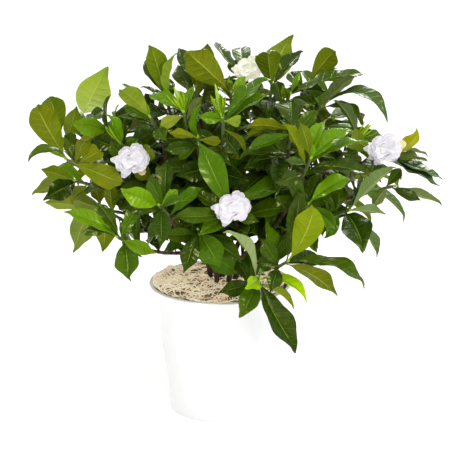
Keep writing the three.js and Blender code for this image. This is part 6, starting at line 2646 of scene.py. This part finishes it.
@dataclass
class Moss:
    """The mat of curled wood wool on the soil, and its loose strands.

    Attributes:
        finishes: The finishes.
        bottom: Height of the mat's underside.
        edge_top: Height of the mat at the pot's wall.
        crown: How far the middle rises above that.
        relief: Height of its lumps.
        rim_share: Past this share of the radius the lumps are lower.
        rim_relief: Share of their height that they have there.
        room: Gap between the mat and the pot's wall.
        sunk: How far the ground lies under the strands' level.
        rings: Rings of faces over the mat.
        sides: Faces round it.
        bits: Points along a strand.
        strand_sides: Faces round a strand.
        climb: How far strands of full lift climb the wall at one side.
        climb_at: Angle round the pot of that side.
        climb_from: Share of the radius from which they climb.
        full_lift: The full lift.
    """

    finishes: "Finishes"
    bottom: float = 165.8
    edge_top: float = 180.0
    crown: float = 3.5
    relief: float = 2.0
    rim_share: float = 0.99
    rim_relief: float = 0.4
    room: float = 1.0
    sunk: float = 1.2
    rings: int = 40
    sides: int = 120
    bits: int = 9
    strand_sides: int = 3
    climb: float = 1.5
    climb_at: float = math.radians(150)
    climb_from: float = 0.72
    full_lift: float = 6.5

    @property
    def edge(self) -> float:
        """Gives the mat's radius at its top."""
        return POT.radius(self.edge_top) - POT.wall - self.room

    @property
    def foot(self) -> float:
        """Gives the mat's radius at its underside."""
        return POT.radius(self.bottom) - POT.wall - self.room

    def height(self, radius: Array, turn: Array) -> Array:
        """Gives the height of the mat's top.

        Args:
            radius: Distances from the pot's middle.
            turn: Angles round it.

        Returns:
            The heights.
        """
        share = radius / self.edge
        broad = np.sin(3 * turn + 0.12 * radius) * np.cos(2 * turn - 0.17 * radius)
        fine = 0.6 * np.sin(7 * turn + 0.31 * radius)
        relief = self.relief * np.where(share > self.rim_share, self.rim_relief, 1)
        return self.edge_top + self.crown * (1 - share ** 2) + (broad + fine) * relief

    def build_mat(self) -> None:
        """Builds the mat itself, painted dark as the shade deep between the strands."""
        turns = 2 * math.pi * np.arange(self.sides) / self.sides
        points, faces = [np.array([[0, 0, float(self.height(0, 0)) - self.sunk]])], []
        for i in range(1, self.rings + 1):
            r = self.edge * i / self.rings
            z = self.height(np.full(self.sides, r), turns) - self.sunk
            points.append(np.stack((r * np.cos(turns), r * np.sin(turns), z), axis=1))
        narrow = self.foot / self.edge
        points.append(points[-1] * (narrow, narrow, 0) + (0, 0, self.bottom))
        points.append(np.array([[0, 0, self.bottom]]))
        last = self.rings * self.sides
        bottom = 1 + (self.rings + 1) * self.sides
        for k in range(self.sides):
            n = (k + 1) % self.sides
            faces.append((0, 1 + k, 1 + n))
            for ring in range(1, last + 1, self.sides):
                beyond = ring + self.sides
                faces.append((ring + k, beyond + k, beyond + n, ring + n))
            faces.append((bottom, last + 1 + n, last + 1 + k))
        mat = new_piece("moss_shaded_ground", np.concatenate(points), [], faces, self.finishes.ground)
        settle_piece(mat, ["moss_mat"])

    def build_strands(self, strands: Strands, wool: bpy.types.Material) -> None:
        """Builds one piece of loose strands.

        Args:
            strands: The layer that they make up.
            wool: Their finish.
        """
        count = strands.count
        rng = np.random.default_rng(count)
        near, far = strands.reach
        outer = self.edge + strands.brim
        r = self.edge * np.sqrt(rng.uniform(near ** 2, far ** 2, count))
        turn = rng.uniform(*strands.turns, count)
        place = np.stack((r * np.cos(turn), r * np.sin(turn)), axis=1)
        heading = rng.uniform(0, 2 * math.pi, count)
        curl = rng.normal(0, strands.curl, count)
        wiggle = rng.uniform(*strands.wiggle, count)
        step = rng.uniform(*strands.length, count) / (self.bits - 1)
        lift = rng.uniform(*strands.lift, count)
        hump = rng.uniform(*strands.hump, count)
        line = []
        for i in range(self.bits):
            away = np.linalg.norm(place, axis=1, keepdims=True)
            place = np.where(away > outer, place / away * outer, place)
            radius, around = np.linalg.norm(place, axis=1), np.arctan2(place[:, 1], place[:, 0])
            beside = 0.5 + 0.5 * np.cos(around - self.climb_at)
            climb = self.climb * smooth(self.climb_from, 1, radius / self.edge) * beside
            bow = hump * np.sin(math.pi * i / (self.bits - 1))
            z = (self.height(radius, around) - self.sunk + lift + bow
                 + climb * lift / self.full_lift)
            line.append(np.column_stack((place, z)))
            place = place + np.stack((np.cos(heading), np.sin(heading)), axis=1) * step[:, None]
            heading = heading + curl + wiggle * rng.normal(0, 1, count)
        routes = np.stack(line, axis=1)
        thick = rng.uniform(*strands.radius, count)
        parts = MeshParts()
        start, end = strands.ends
        taper = np.array((start, *(1.0 for _ in range(self.bits - 2)), end))
        shades = rng.uniform(*strands.shade, count)
        pick = rng.integers(0, len(strands.tones), count)
        sides = self.strand_sides
        faces = np.array([(s + k, s + (k + 1) % sides, s + sides + (k + 1) % sides, s + sides + k)
                          for s in range(0, (self.bits - 1) * sides, sides) for k in range(sides)])
        uv = np.zeros((sides * self.bits, 2))
        for route, radius, shade, tint in zip(routes, thick, shades, pick):
            colour = tuple(part * shade for part in strands.tones[tint])
            rings = tube_rings(route, radius * taper, sides)
            parts.add(rings, faces, uv, LeafTone(colour, colour))
        piece = parts.build(strands.name, wool)
        settle_piece(piece, [], angle=180)


@dataclass
class WoodyStems:
    """The woody stems and branches, on the crown of roots under the moss.

    Attributes:
        finishes: The finishes.
        steps: Points added between those of a stem or branch.
        sides: Faces round it.
        rough: How far its radius varies, either way.
        crooked: How far its points stray.
        crown: Radius and height of the root crown's points.
        crown_sides: Faces round the root crown.
        crown_ribs: Number of its ribs and their height, as a share of its radius.
        BARK: Colour of the bark.
    """

    finishes: "Finishes"
    steps: int = 5
    sides: int = 10
    rough: float = 0.07
    crooked: float = 0.25
    crown: tuple[Span, ...] = ((10, 99), (26, 140), (26, 160))
    crown_sides: int = 18
    crown_ribs: tuple[int, float] = (6, 0.08)

    SEED = 900
    BARK = LeafTone(linear(66, 45, 30), linear(66, 45, 30))

    def build(self, wood: Sequence[WoodTube]) -> None:
        """Builds the piece.

        Args:
            wood: The stems' and branches' routes.
        """
        parts = MeshParts()
        for i, tube in enumerate(wood):
            rng = np.random.default_rng(self.SEED + i)
            route = refined(tube.route, self.steps)
            places = np.arange(len(route)) / self.steps
            radii = np.interp(places, np.arange(len(tube.radii)), tube.radii)
            radii = radii * (1 + rng.uniform(-self.rough, self.rough, len(radii)))
            route[1:-1] += rng.normal(0, self.crooked, (len(route) - 2, 3))
            tube_part(parts, route, radii, self.sides, self.BARK)
        radii, heights = np.array(self.crown, dtype=float).T
        route = np.outer(heights, WORLD_UP)
        tube_part(parts, route, radii, self.crown_sides, self.BARK, *self.crown_ribs)
        piece = parts.build("woody_stems_bark", self.finishes.bark)
        settle_piece(piece, [WOOD_NODE])


# Finishes


class Nodes:
    """A short way to lay out a material's nodes round its one shader.

    Attributes:
        MIX_INPUTS: A Mix node's sockets for the share and the two colours.
        material: The material.
        tree: Its node tree.
        shader: Its shader.
    """

    MIX_INPUTS = (0, 6, 7)

    def __init__(self, name: str) -> None:
        """Starts a material.

        Args:
            name: The material's name.
        """
        self.material = bpy.data.materials.new(name)
        self.material.use_nodes = True
        self.tree = self.material.node_tree
        self.shader = self.tree.nodes["Principled BSDF"]

    def set(self, **values: object) -> None:
        """Sets the shader's own sockets, named with underscores for spaces."""
        for name, value in values.items():
            self.shader.inputs[name.replace("_", " ")].default_value = value

    def add(self, kind: str, *inputs: object, **settings: object) -> bpy.types.Node:
        """Adds a node.

        Args:
            kind: The node's kind, without its prefix.
            inputs: A value or another node's output for each input, None to leave one alone.
            settings: The node's settings.

        Returns:
            The node.
        """
        node = self.tree.nodes.new(f"ShaderNode{kind}")
        for name, value in settings.items():
            setattr(node, name, value)
        for socket, value in zip(node.inputs, inputs):
            self.feed(socket, value)
        return node

    def feed(self, socket: bpy.types.NodeSocket, value: object) -> None:
        """Gives a socket a value or links it to an output.

        Args:
            socket: The socket.
            value: The value or output, or None to leave the socket alone.
        """
        if isinstance(value, bpy.types.NodeSocket):
            self.tree.links.new(value, socket)
        elif value is not None:
            socket.default_value = value

    def math(self, operation: str, *inputs: object) -> bpy.types.NodeSocket:
        """Works out a number from others."""
        return self.add("Math", *inputs, operation=operation).outputs[0]

    def ramp(self, value: object, low: float, high: float) -> bpy.types.NodeSocket:
        """Rises smoothly from 0 at low to 1 at high, or falls where low is above high.

        Args:
            value: The value to judge.
            low: Value that gives 0.
            high: Value that gives 1.

        Returns:
            The share.
        """
        node = self.add("MapRange", interpolation_type="SMOOTHSTEP")
        for name, given in (("Value", value), ("From Min", min(low, high)),
                            ("From Max", max(low, high)), ("To Min", float(low > high)),
                            ("To Max", float(low < high))):
            self.feed(node.inputs[name], given)
        return node.outputs[0]

    def mix(self, share: object, first: object, second: object,
            blend: str = "MIX") -> bpy.types.NodeSocket:
        """Mixes two colours.

        Args:
            share: Share of the second one.
            first: The first colour.
            second: The second colour.
            blend: How they are mixed.

        Returns:
            The colour.
        """
        node = self.add("Mix", data_type="RGBA", blend_type=blend)
        for socket, value in zip((node.inputs[i] for i in self.MIX_INPUTS), (share, first, second)):
            self.feed(socket, value)
        return node.outputs[2]

    def between(self, value: object, low: float, high: float) -> bpy.types.NodeSocket:
        """Spreads a value from 0 to 1 over the range from low to high.

        Args:
            value: The value to spread.
            low: What 0 becomes.
            high: What 1 becomes.

        Returns:
            The spread value.
        """
        node = self.add("MapRange", value)
        for name, given in (("To Min", low), ("To Max", high)):
            self.feed(node.inputs[name], given)
        return node.outputs[0]

    def noise(self, scale: float, detail: float = 3.0, stretch: Point | None = None,
              uv: bool = False) -> bpy.types.NodeSocket:
        """Adds noise on the object's own coordinates.

        Args:
            scale: Its scale, in patches to the metre.
            detail: How many finer layers it has.
            stretch: How its scale differs along each axis.
            uv: Whether it runs over the blade instead.

        Returns:
            Its value.
        """
        where = (self.add("UVMap", uv_map=TINTS.uv).outputs[0] if uv
                 else self.add("TexCoord").outputs["Object"])
        if stretch:
            mapping = self.add("Mapping", where)
            mapping.inputs["Scale"].default_value = stretch
            where = mapping.outputs[0]
        return self.add("TexNoise", where, None, scale, detail).outputs[0]

    def place_on_blade(self) -> tuple[bpy.types.NodeSocket, bpy.types.NodeSocket]:
        """Reads where on its blade a point lies.

        Returns:
            How far from the midrib it is, and how far along the blade, each from 0 to 1.
        """
        parts = self.add("SeparateXYZ", self.add("UVMap", uv_map=TINTS.uv).outputs[0])
        out = self.math("ABSOLUTE", self.math("MULTIPLY_ADD", parts.outputs[0], 2.0, -1.0))
        return out, parts.outputs[1]

    def tint(self, name: str) -> bpy.types.NodeSocket:
        """Gives the colour that the piece's points carry."""
        return self.add("Attribute", attribute_name=name).outputs["Color"]

    def bump(self, height: object, distance: float, strength: float = 1.0,
             after: bpy.types.NodeSocket | None = None) -> bpy.types.NodeSocket:
        """Turns a height into a relief that the light shows.

        Args:
            height: The height, from 0 to 1.
            distance: The relief's full height, in millimetres.
            strength: How strongly it shows.
            after: A relief that this one lies on.

        Returns:
            The relief's normal.
        """
        node = self.add("Bump")
        for name, value in (("Height", height), ("Distance", distance * MM), ("Strength", strength),
                            ("Normal", after)):
            self.feed(node.inputs[name], value)
        return node.outputs[0]

    def finish(self, colour: object, roughness: object,
               normal: object = None) -> bpy.types.Material:
        """Feeds the shader.

        Args:
            colour: Its colour.
            roughness: Its roughness, None where it is set already.
            normal: Its relief.

        Returns:
            The finished material.
        """
        for name, value in (("Base Color", colour), ("Roughness", roughness), ("Normal", normal)):
            self.feed(self.shader.inputs[name], value)
        return self.material


@dataclass(frozen=True)
class LeafFinish:
    """A leaf's face, with its midrib and side veins. Scales are in patches to the metre.

    Attributes:
        name: The material's name.
        tint: Name of the colour that the points carry.
        vein: Colour of the veins.
        vein_share: How strongly the side veins show.
        midrib_share: How strongly the midrib shows.
        rough: Range of roughness.
        gloss: How strongly it mirrors the light.
        relief: Height of the veins' relief.
        patches: Scale of the darker patches.
        patch_range: Where in the noise they start and are full.
        patch_tint: What they multiply the colour by.
        specks: Scale of the lighter specks.
        speck_range: Where in the noise they start and are full.
        speck_share: How strongly they show.
        speck_vein: Share of the veins' colour in them.
        side_width: Where a side vein ends and is full, in spacings from its middle.
        side_reach: Where across the leaf the side veins end and are full.
        rib_width: Where across the leaf the midrib ends and is full.
        rib_reach: Where along the leaf it ends and is full.
        smudges: Scale of the smudges in the gloss.
        pores: Scale, height and strength of the pores.
        mirrored: Colour of what it mirrors.
    """

    name: str
    tint: str
    vein: Colour
    vein_share: float
    midrib_share: float
    rough: Span
    gloss: float
    relief: float = 0.5
    patches: float = 38.0
    patch_range: Span = (0.35, 0.7)
    patch_tint: Rgba = (0.82, 0.95, 0.8, 1.0)
    specks: float = 150.0
    speck_range: Span = (0.5, 0.75)
    speck_share: float = 0.35
    speck_vein: float = 0.25
    side_width: Span = (0.09, 0.02)
    side_reach: Span = (0.97, 0.6)
    rib_width: Span = (0.065, 0.02)
    rib_reach: Span = (0.97, 0.7)
    smudges: float = 60.0
    pores: Point = (900.0, 0.05, 0.5)
    mirrored: Rgba = (0.95, 1.0, 0.35, 1.0)

    def material(self) -> bpy.types.Material:
        """Makes the material.

        Returns:
            The material.
        """
        nodes = Nodes(self.name)
        out, along = nodes.place_on_blade()
        vein = (*self.vein, 1)
        patches = nodes.ramp(nodes.noise(self.patches), *self.patch_range)
        base = nodes.mix(patches, nodes.tint(self.tint), self.patch_tint, "MULTIPLY")
        lighter = nodes.mix(self.speck_vein, base, vein)
        specks = nodes.ramp(nodes.noise(self.specks, 2), *self.speck_range)
        base = nodes.mix(nodes.math("MULTIPLY", specks, self.speck_share), base, lighter)
        count = nodes.math("MULTIPLY", along, float(LeafSurface.vein_pairs))
        near = nodes.math("ABSOLUTE", nodes.math("SUBTRACT", count, nodes.math("ROUND", count)))
        side = nodes.math("MULTIPLY", nodes.ramp(near, *self.side_width),
                          nodes.ramp(out, *self.side_reach))
        rib = nodes.math("MULTIPLY", nodes.ramp(out, *self.rib_width),
                         nodes.ramp(along, *self.rib_reach))
        for lines, share in ((side, self.vein_share), (rib, self.midrib_share)):
            base = nodes.mix(nodes.math("MULTIPLY", lines, share), base, vein)
        rough = nodes.between(nodes.noise(self.smudges), *self.rough)
        raised = nodes.bump(nodes.math("MAXIMUM", side, rib), self.relief)
        scale, depth, strength = self.pores
        pores = nodes.bump(nodes.noise(scale, 2), depth, strength, raised)
        nodes.set(Specular_IOR_Level=self.gloss, Specular_Tint=self.mirrored)
        return nodes.finish(base, rough, pores)


@dataclass(frozen=True)
class PlainFinish:
    """A finish of two mixed colours with a relief, for bark, soil, moss and floor.

    Attributes:
        name: The material's name.
        dark: Its darker colour.
        light: Its lighter colour.
        scale: Scale of the mixing, in patches to the metre.
        rough: Its roughness.
        relief: Height of its relief.
        stretch: How the pattern is stretched along each axis.
        glow: How strongly it shines by itself.
        light_range: Where in the coarse noise the lighter colour starts and is full.
        dark_range: Where in the fine noise the darker colour starts and is full.
        finer: How much finer the fine noise is.
    """

    name: str
    dark: Colour
    light: Colour
    scale: float
    rough: float
    relief: float
    stretch: Point | None = None
    glow: float = 0.0
    light_range: Span = (0.36, 0.64)
    dark_range: Span = (0.55, 0.75)
    finer: float = 5.0

    def material(self) -> bpy.types.Material:
        """Makes the material.

        Returns:
            The material.
        """
        nodes = Nodes(self.name)
        dark, light = (*self.dark, 1), (*self.light, 1)
        pattern = nodes.noise(self.scale, 5, self.stretch)
        fine = nodes.noise(self.scale * self.finer, 3, self.stretch)
        base = nodes.mix(nodes.ramp(pattern, *self.light_range), dark, light)
        base = nodes.mix(nodes.ramp(fine, *self.dark_range), base, dark)
        nodes.set(Emission_Color=light, Emission_Strength=self.glow, Roughness=self.rough)
        raised = nodes.bump(pattern, self.relief)
        return nodes.finish(base, None, nodes.bump(fine, self.relief, 1.0, raised))


@dataclass(frozen=True)
class TintedFinish:
    """A finish in the colour that the points carry, with a fine grain.

    Attributes:
        name: The material's name.
        rough: Its roughness.
        grain: Scale of the grain, in patches to the metre.
        relief: Height of the grain's relief.
        glow: How strongly it shines by itself; where it is set, this glow is painted light.
        glow_tint: The colour that it shines in.
        grain_range: Where in the noise the darker grain starts and is full.
        grain_tint: What the darker grain multiplies the colour by.
    """

    name: str
    rough: float
    grain: float
    relief: float
    glow: float = 0.0
    glow_tint: Colour = linear(242, 226, 196)
    grain_range: Span = (0.45, 0.75)
    grain_tint: Rgba = (0.8, 0.77, 0.7, 1.0)

    def material(self) -> bpy.types.Material:
        """Makes the material.

        Returns:
            The material.
        """
        nodes = Nodes(self.name)
        grain = nodes.noise(self.grain)
        darker = nodes.ramp(grain, *self.grain_range)
        base = nodes.mix(darker, nodes.tint(TINTS.upper), self.grain_tint, "MULTIPLY")
        # Where glow is set, this emission is painted light on parts that lie in shade.
        nodes.set(Emission_Color=(*self.glow_tint, 1), Emission_Strength=self.glow,
                  Roughness=self.rough)
        return nodes.finish(base, None, nodes.bump(grain, self.relief))


@dataclass(frozen=True)
class PetalFinish:
    """Soft white petals: creamy toward the base and the edge, with faint veins from foot to tip.

    Attributes:
        name: The material's name.
        glow: How strongly it shines by itself: painted light that lightens the shade in the creases
            between the petals.
        glow_tint: The colour that it shines in.
        vein_stretch: How the veins' noise is stretched across and along the petal.
        vein_range: Where in that noise they start and are full.
        vein_tint: What they multiply the colour by.
        vein_relief: Their height and how strongly it shows.
        base_reach: Where along the petal the green of its base ends and is full.
        base_tint: That green.
        side_reach: Where across the petal its edge starts and is full.
        end_reach: Where along it.
        edge_share: How strongly the edge's cream shows.
        edge_tint: That cream.
        grain: Scale, height and strength of the velvet's grain.
        rough: Roughness.
        sheen: Share and roughness of the velvet's sheen.
        depth: How strongly light passes through, and how far, in metres.
    """

    name: str = "petal_velvet_painted_glow"
    glow: float = 0.03
    glow_tint: Rgba = (1.0, 0.97, 1.0, 1.0)
    vein_stretch: Point = (26.0, 2.2, 1.0)
    vein_range: Span = (0.42, 0.72)
    vein_tint: Rgba = (0.93, 0.925, 0.95, 1.0)
    vein_relief: Span = (0.25, 0.7)
    base_reach: Span = (0.3, 0.0)
    base_tint: Rgba = (0.82, 0.84, 0.66, 1.0)
    side_reach: Span = (0.86, 1.0)
    end_reach: Span = (0.9, 1.0)
    edge_share: float = 0.35
    edge_tint: Rgba = (0.93, 0.88, 0.7, 1.0)
    grain: Point = (420.0, 0.15, 0.5)
    rough: float = 0.55
    sheen: Span = (0.25, 0.4)
    depth: Span = (0.6, 0.005)

    def material(self) -> bpy.types.Material:
        """Makes the material.

        Returns:
            The material.
        """
        nodes = Nodes(self.name)
        out, along = nodes.place_on_blade()
        veins = nodes.noise(1.0, 2, self.vein_stretch, uv=True)
        base = nodes.mix(nodes.ramp(veins, *self.vein_range), nodes.tint(TINTS.upper),
                         self.vein_tint, "MULTIPLY")
        base = nodes.mix(nodes.ramp(along, *self.base_reach), base, self.base_tint)
        edge = nodes.math("MAXIMUM", nodes.ramp(out, *self.side_reach),
                          nodes.ramp(along, *self.end_reach))
        base = nodes.mix(nodes.math("MULTIPLY", edge, self.edge_share), base, self.edge_tint)
        (sheen, sheen_rough), (through, reach) = self.sheen, self.depth
        # The emission is painted light: a faint glow that lightens the shade between the petals.
        nodes.set(Emission_Color=self.glow_tint, Emission_Strength=self.glow, Roughness=self.rough,
                  Sheen_Weight=sheen, Sheen_Roughness=sheen_rough, Subsurface_Weight=through,
                  Subsurface_Radius=(reach, reach, reach), Subsurface_Scale=1.0)
        scale, height, strength = self.grain
        grain = nodes.bump(nodes.noise(scale), height, strength)
        return nodes.finish(base, None, nodes.bump(veins, *self.vein_relief, grain))


@dataclass(frozen=True)
class GlazeFinish:
    """White glaze: glossy, and very slightly uneven. Scales are in patches to the metre.

    Attributes:
        name: The material's name.
        colour: Its colour.
        shade: Its colour in slightly darker clouds.
        clouds: Scale of the clouds.
        cloud_range: Where in the noise they start and are full.
        smudges: Scale of the smudges in the gloss.
        rough: Range of roughness.
        coat: Share and roughness of the clear coat.
        waves: Scale, height and strength of its waves.
    """

    name: str = "white_glaze"
    colour: Rgba = (0.84, 0.84, 0.835, 1.0)
    shade: Rgba = (0.82, 0.825, 0.825, 1.0)
    clouds: float = 9.0
    cloud_range: Span = (0.3, 0.7)
    smudges: float = 24.0
    rough: Span = (0.16, 0.26)
    coat: Span = (0.35, 0.08)
    waves: Point = (34.0, 0.12, 0.4)

    def material(self) -> bpy.types.Material:
        """Makes the material.

        Returns:
            The material.
        """
        nodes = Nodes(self.name)
        clouds = nodes.ramp(nodes.noise(self.clouds), *self.cloud_range)
        tone = nodes.mix(clouds, self.colour, self.shade)
        rough = nodes.between(nodes.noise(self.smudges), *self.rough)
        coat, coat_rough = self.coat
        nodes.set(Coat_Weight=coat, Coat_Roughness=coat_rough)
        scale, height, strength = self.waves
        return nodes.finish(tone, rough, nodes.bump(nodes.noise(scale, 2), height, strength))


@dataclass
class Finishes:
    """All the finishes, made once."""

    def __post_init__(self) -> None:
        """Makes the materials."""
        self.upper = LeafFinish("leaf_upper", TINTS.upper, linear(140, 176, 40), vein_share=0.1,
                                midrib_share=0.4, rough=(0.12, 0.32), gloss=0.18).material()
        self.under = LeafFinish("leaf_under", TINTS.under, linear(176, 188, 70), vein_share=0.2,
                                midrib_share=0.55, rough=(0.48, 0.62), gloss=0.12).material()
        self.twig = TintedFinish("green_twig", 0.55, 260, 0.2).material()
        # Lit and shaded copies of one wood wool: the lower strands' copy has only a faint painted glow.
        self.wool_shaded = TintedFinish("wood_wool_low_painted_shade", 0.75, 420, 0.15, glow=0.02).material()
        # The upper and rim strands' copy glows strongly: painted light in place of the light that the
        # bush keeps off the moss.
        self.wool_lit_by_glow = TintedFinish("wood_wool_top_painted_glow", 0.75, 420, 0.15, glow=0.4).material()
        self.bark = PlainFinish("bark", linear(42, 29, 19), linear(94, 69, 46), scale=160,
                                rough=0.85, relief=0.5, stretch=(1, 1, 0.25)).material()
        # Painted shade: the mat's dark browns stand for the shade that lies deep between the strands.
        self.ground = PlainFinish("moss_shaded_ground", linear(44, 30, 20), linear(120, 96, 66),
                                  scale=210, rough=0.9, relief=1.2).material()
        self.soil = PlainFinish("soil", linear(30, 20, 14), linear(78, 56, 38), scale=240,
                                rough=0.95, relief=1.0).material()
        # The petals carry a faint painted glow that lightens the shade in their creases; the cream
        # bloom's glow is stronger.
        self.petal = PetalFinish().material()
        self.cream = PetalFinish("petal_cream_velvet_painted_glow", glow=0.1).material()
        self.glaze = GlazeFinish().material()
        self.floor = PlainFinish("pale_floor", (0.88, 0.88, 0.88), (0.9, 0.9, 0.9), scale=2,
                                 rough=0.7, relief=0.0, glow=0.2).material()


# Studio


@dataclass
class Studio:
    """A plain pale floor and soft light from above.

    Attributes:
        finishes: The finishes.
        floor_size: Width of the floor, in metres.
        world: Brightness of the pale room.
        sun: Strength of the wide light overhead.
        sun_from: Where that light comes from.
        sun_width: How wide it is.
        lights: Place, width and power of each lamp.
        sheens: The same for the lamps that only show as sheen on glossy faces.
        aim: Place that the lamps point at, in metres.
    """

    finishes: Finishes
    floor_size: float = 120.0
    world: float = 0.86
    sun: float = 1.05
    sun_from: Point = (0.4, -0.8, 1.9)
    sun_width: float = math.radians(60)
    lights: tuple[tuple[Point, float, float], ...] = (
        ((-0.6, 1.3, 1.5), 0.35, 6.0), ((1.5, -0.3, 1.4), 0.25, 4.0), ((0.8, -2.4, 1.0), 0.5, 11.0),
    )
    sheens: tuple[tuple[Point, float, float], ...] = (
        ((0.7, 1.4, 1.5), 0.9, 34.0), ((-0.9, -1.2, 2.2), 0.8, 46.0), ((1.7, -0.9, 1.5), 0.6, 26.0),
    )
    aim: Point = (0.0, 0.0, 0.3)

    def turn(self, away: Vector) -> Euler:
        """Gives the turn of a lamp that shines the given way."""
        return away.to_track_quat("-Z", "Y").to_euler()

    def build(self) -> None:
        """Adds the floor, the lights, the pale surroundings and the camera."""
        bpy.ops.mesh.primitive_plane_add(size=self.floor_size)
        floor = bpy.context.object
        floor.name = "studio_floor"
        floor.data.materials.append(self.finishes.floor)
        bpy.ops.object.light_add(type="SUN", location=self.sun_from)
        sun = bpy.context.object
        sun.name = "studio_sun"
        sun.data.energy = self.sun
        sun.data.angle = self.sun_width
        sun.rotation_euler = self.turn(-Vector(self.sun_from))
        for i, (place, size, power) in enumerate(self.lights + self.sheens):
            bpy.ops.object.light_add(type="AREA", location=place)
            light = bpy.context.object
            light.name = f"studio_light_{i + 1}"
            light.data.shape = "DISK"
            light.data.size = size
            light.data.energy = power
            light.visible_diffuse = i < len(self.lights)
            light.rotation_euler = self.turn(Vector(self.aim) - Vector(place))
        world = bpy.data.worlds.new("pale_room")
        world.use_nodes = True
        sky = world.node_tree.nodes["Background"]
        sky.inputs["Color"].default_value = (1, 1, 1, 1)
        sky.inputs["Strength"].default_value = self.world
        bpy.context.scene.world = world
        bpy.context.scene.view_settings.view_transform = "Standard"
        VIEW.add_camera()


def main() -> None:
    """Builds every piece in order."""
    logging.basicConfig(level=logging.INFO, format="%(message)s")
    finishes = Finishes()
    Studio(finishes).build()
    bush = Bush()
    bush.grow()
    log.info("laid out %d shoots with %d leaves, and %d leaves on the branches", len(bush.shoots),
             sum(len(shoot.blades) for shoot in bush.shoots), len(bush.inner))
    Pot(finishes).build()
    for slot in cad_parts["potting_mix"].material_slots:
        slot.material = finishes.soil
    moss = Moss(finishes)
    moss.build_mat()
    moss.build_strands(LOW_STRANDS, finishes.wool_shaded)
    # The upper and rim strands take the glowing copy of the wool, whose glow is painted light.
    for strands in (TOP_STRANDS, RIM_STRANDS):
        moss.build_strands(strands, finishes.wool_lit_by_glow)
    WoodyStems(finishes).build(bush.wood)
    young = LeafSurface(columns=(-1, -0.5, 0, 0.5, 1), rows_per_vein=1, thickness=0.5, quilt=0.0,
                        midrib=0.3, wave=(0.1, 0.4), hook=(0.3, 1.5))
    deep = LeafSurface(columns=(-1, 0, 1), vein_pairs=8, rows_per_vein=1, quilt=0.0, midrib=0.3)
    leafy = LeafyShoot(LeafSurface(), young, finishes)
    bloom = Bloom(PetalSurface(), finishes)
    leafy.build_inner(bush.inner, deep)
    for shoot in bush.shoots:
        leafy.build(shoot)
        if shoot.plan.bloom:
            bloom.build(shoot)


if __name__ == "__main__":
    main()
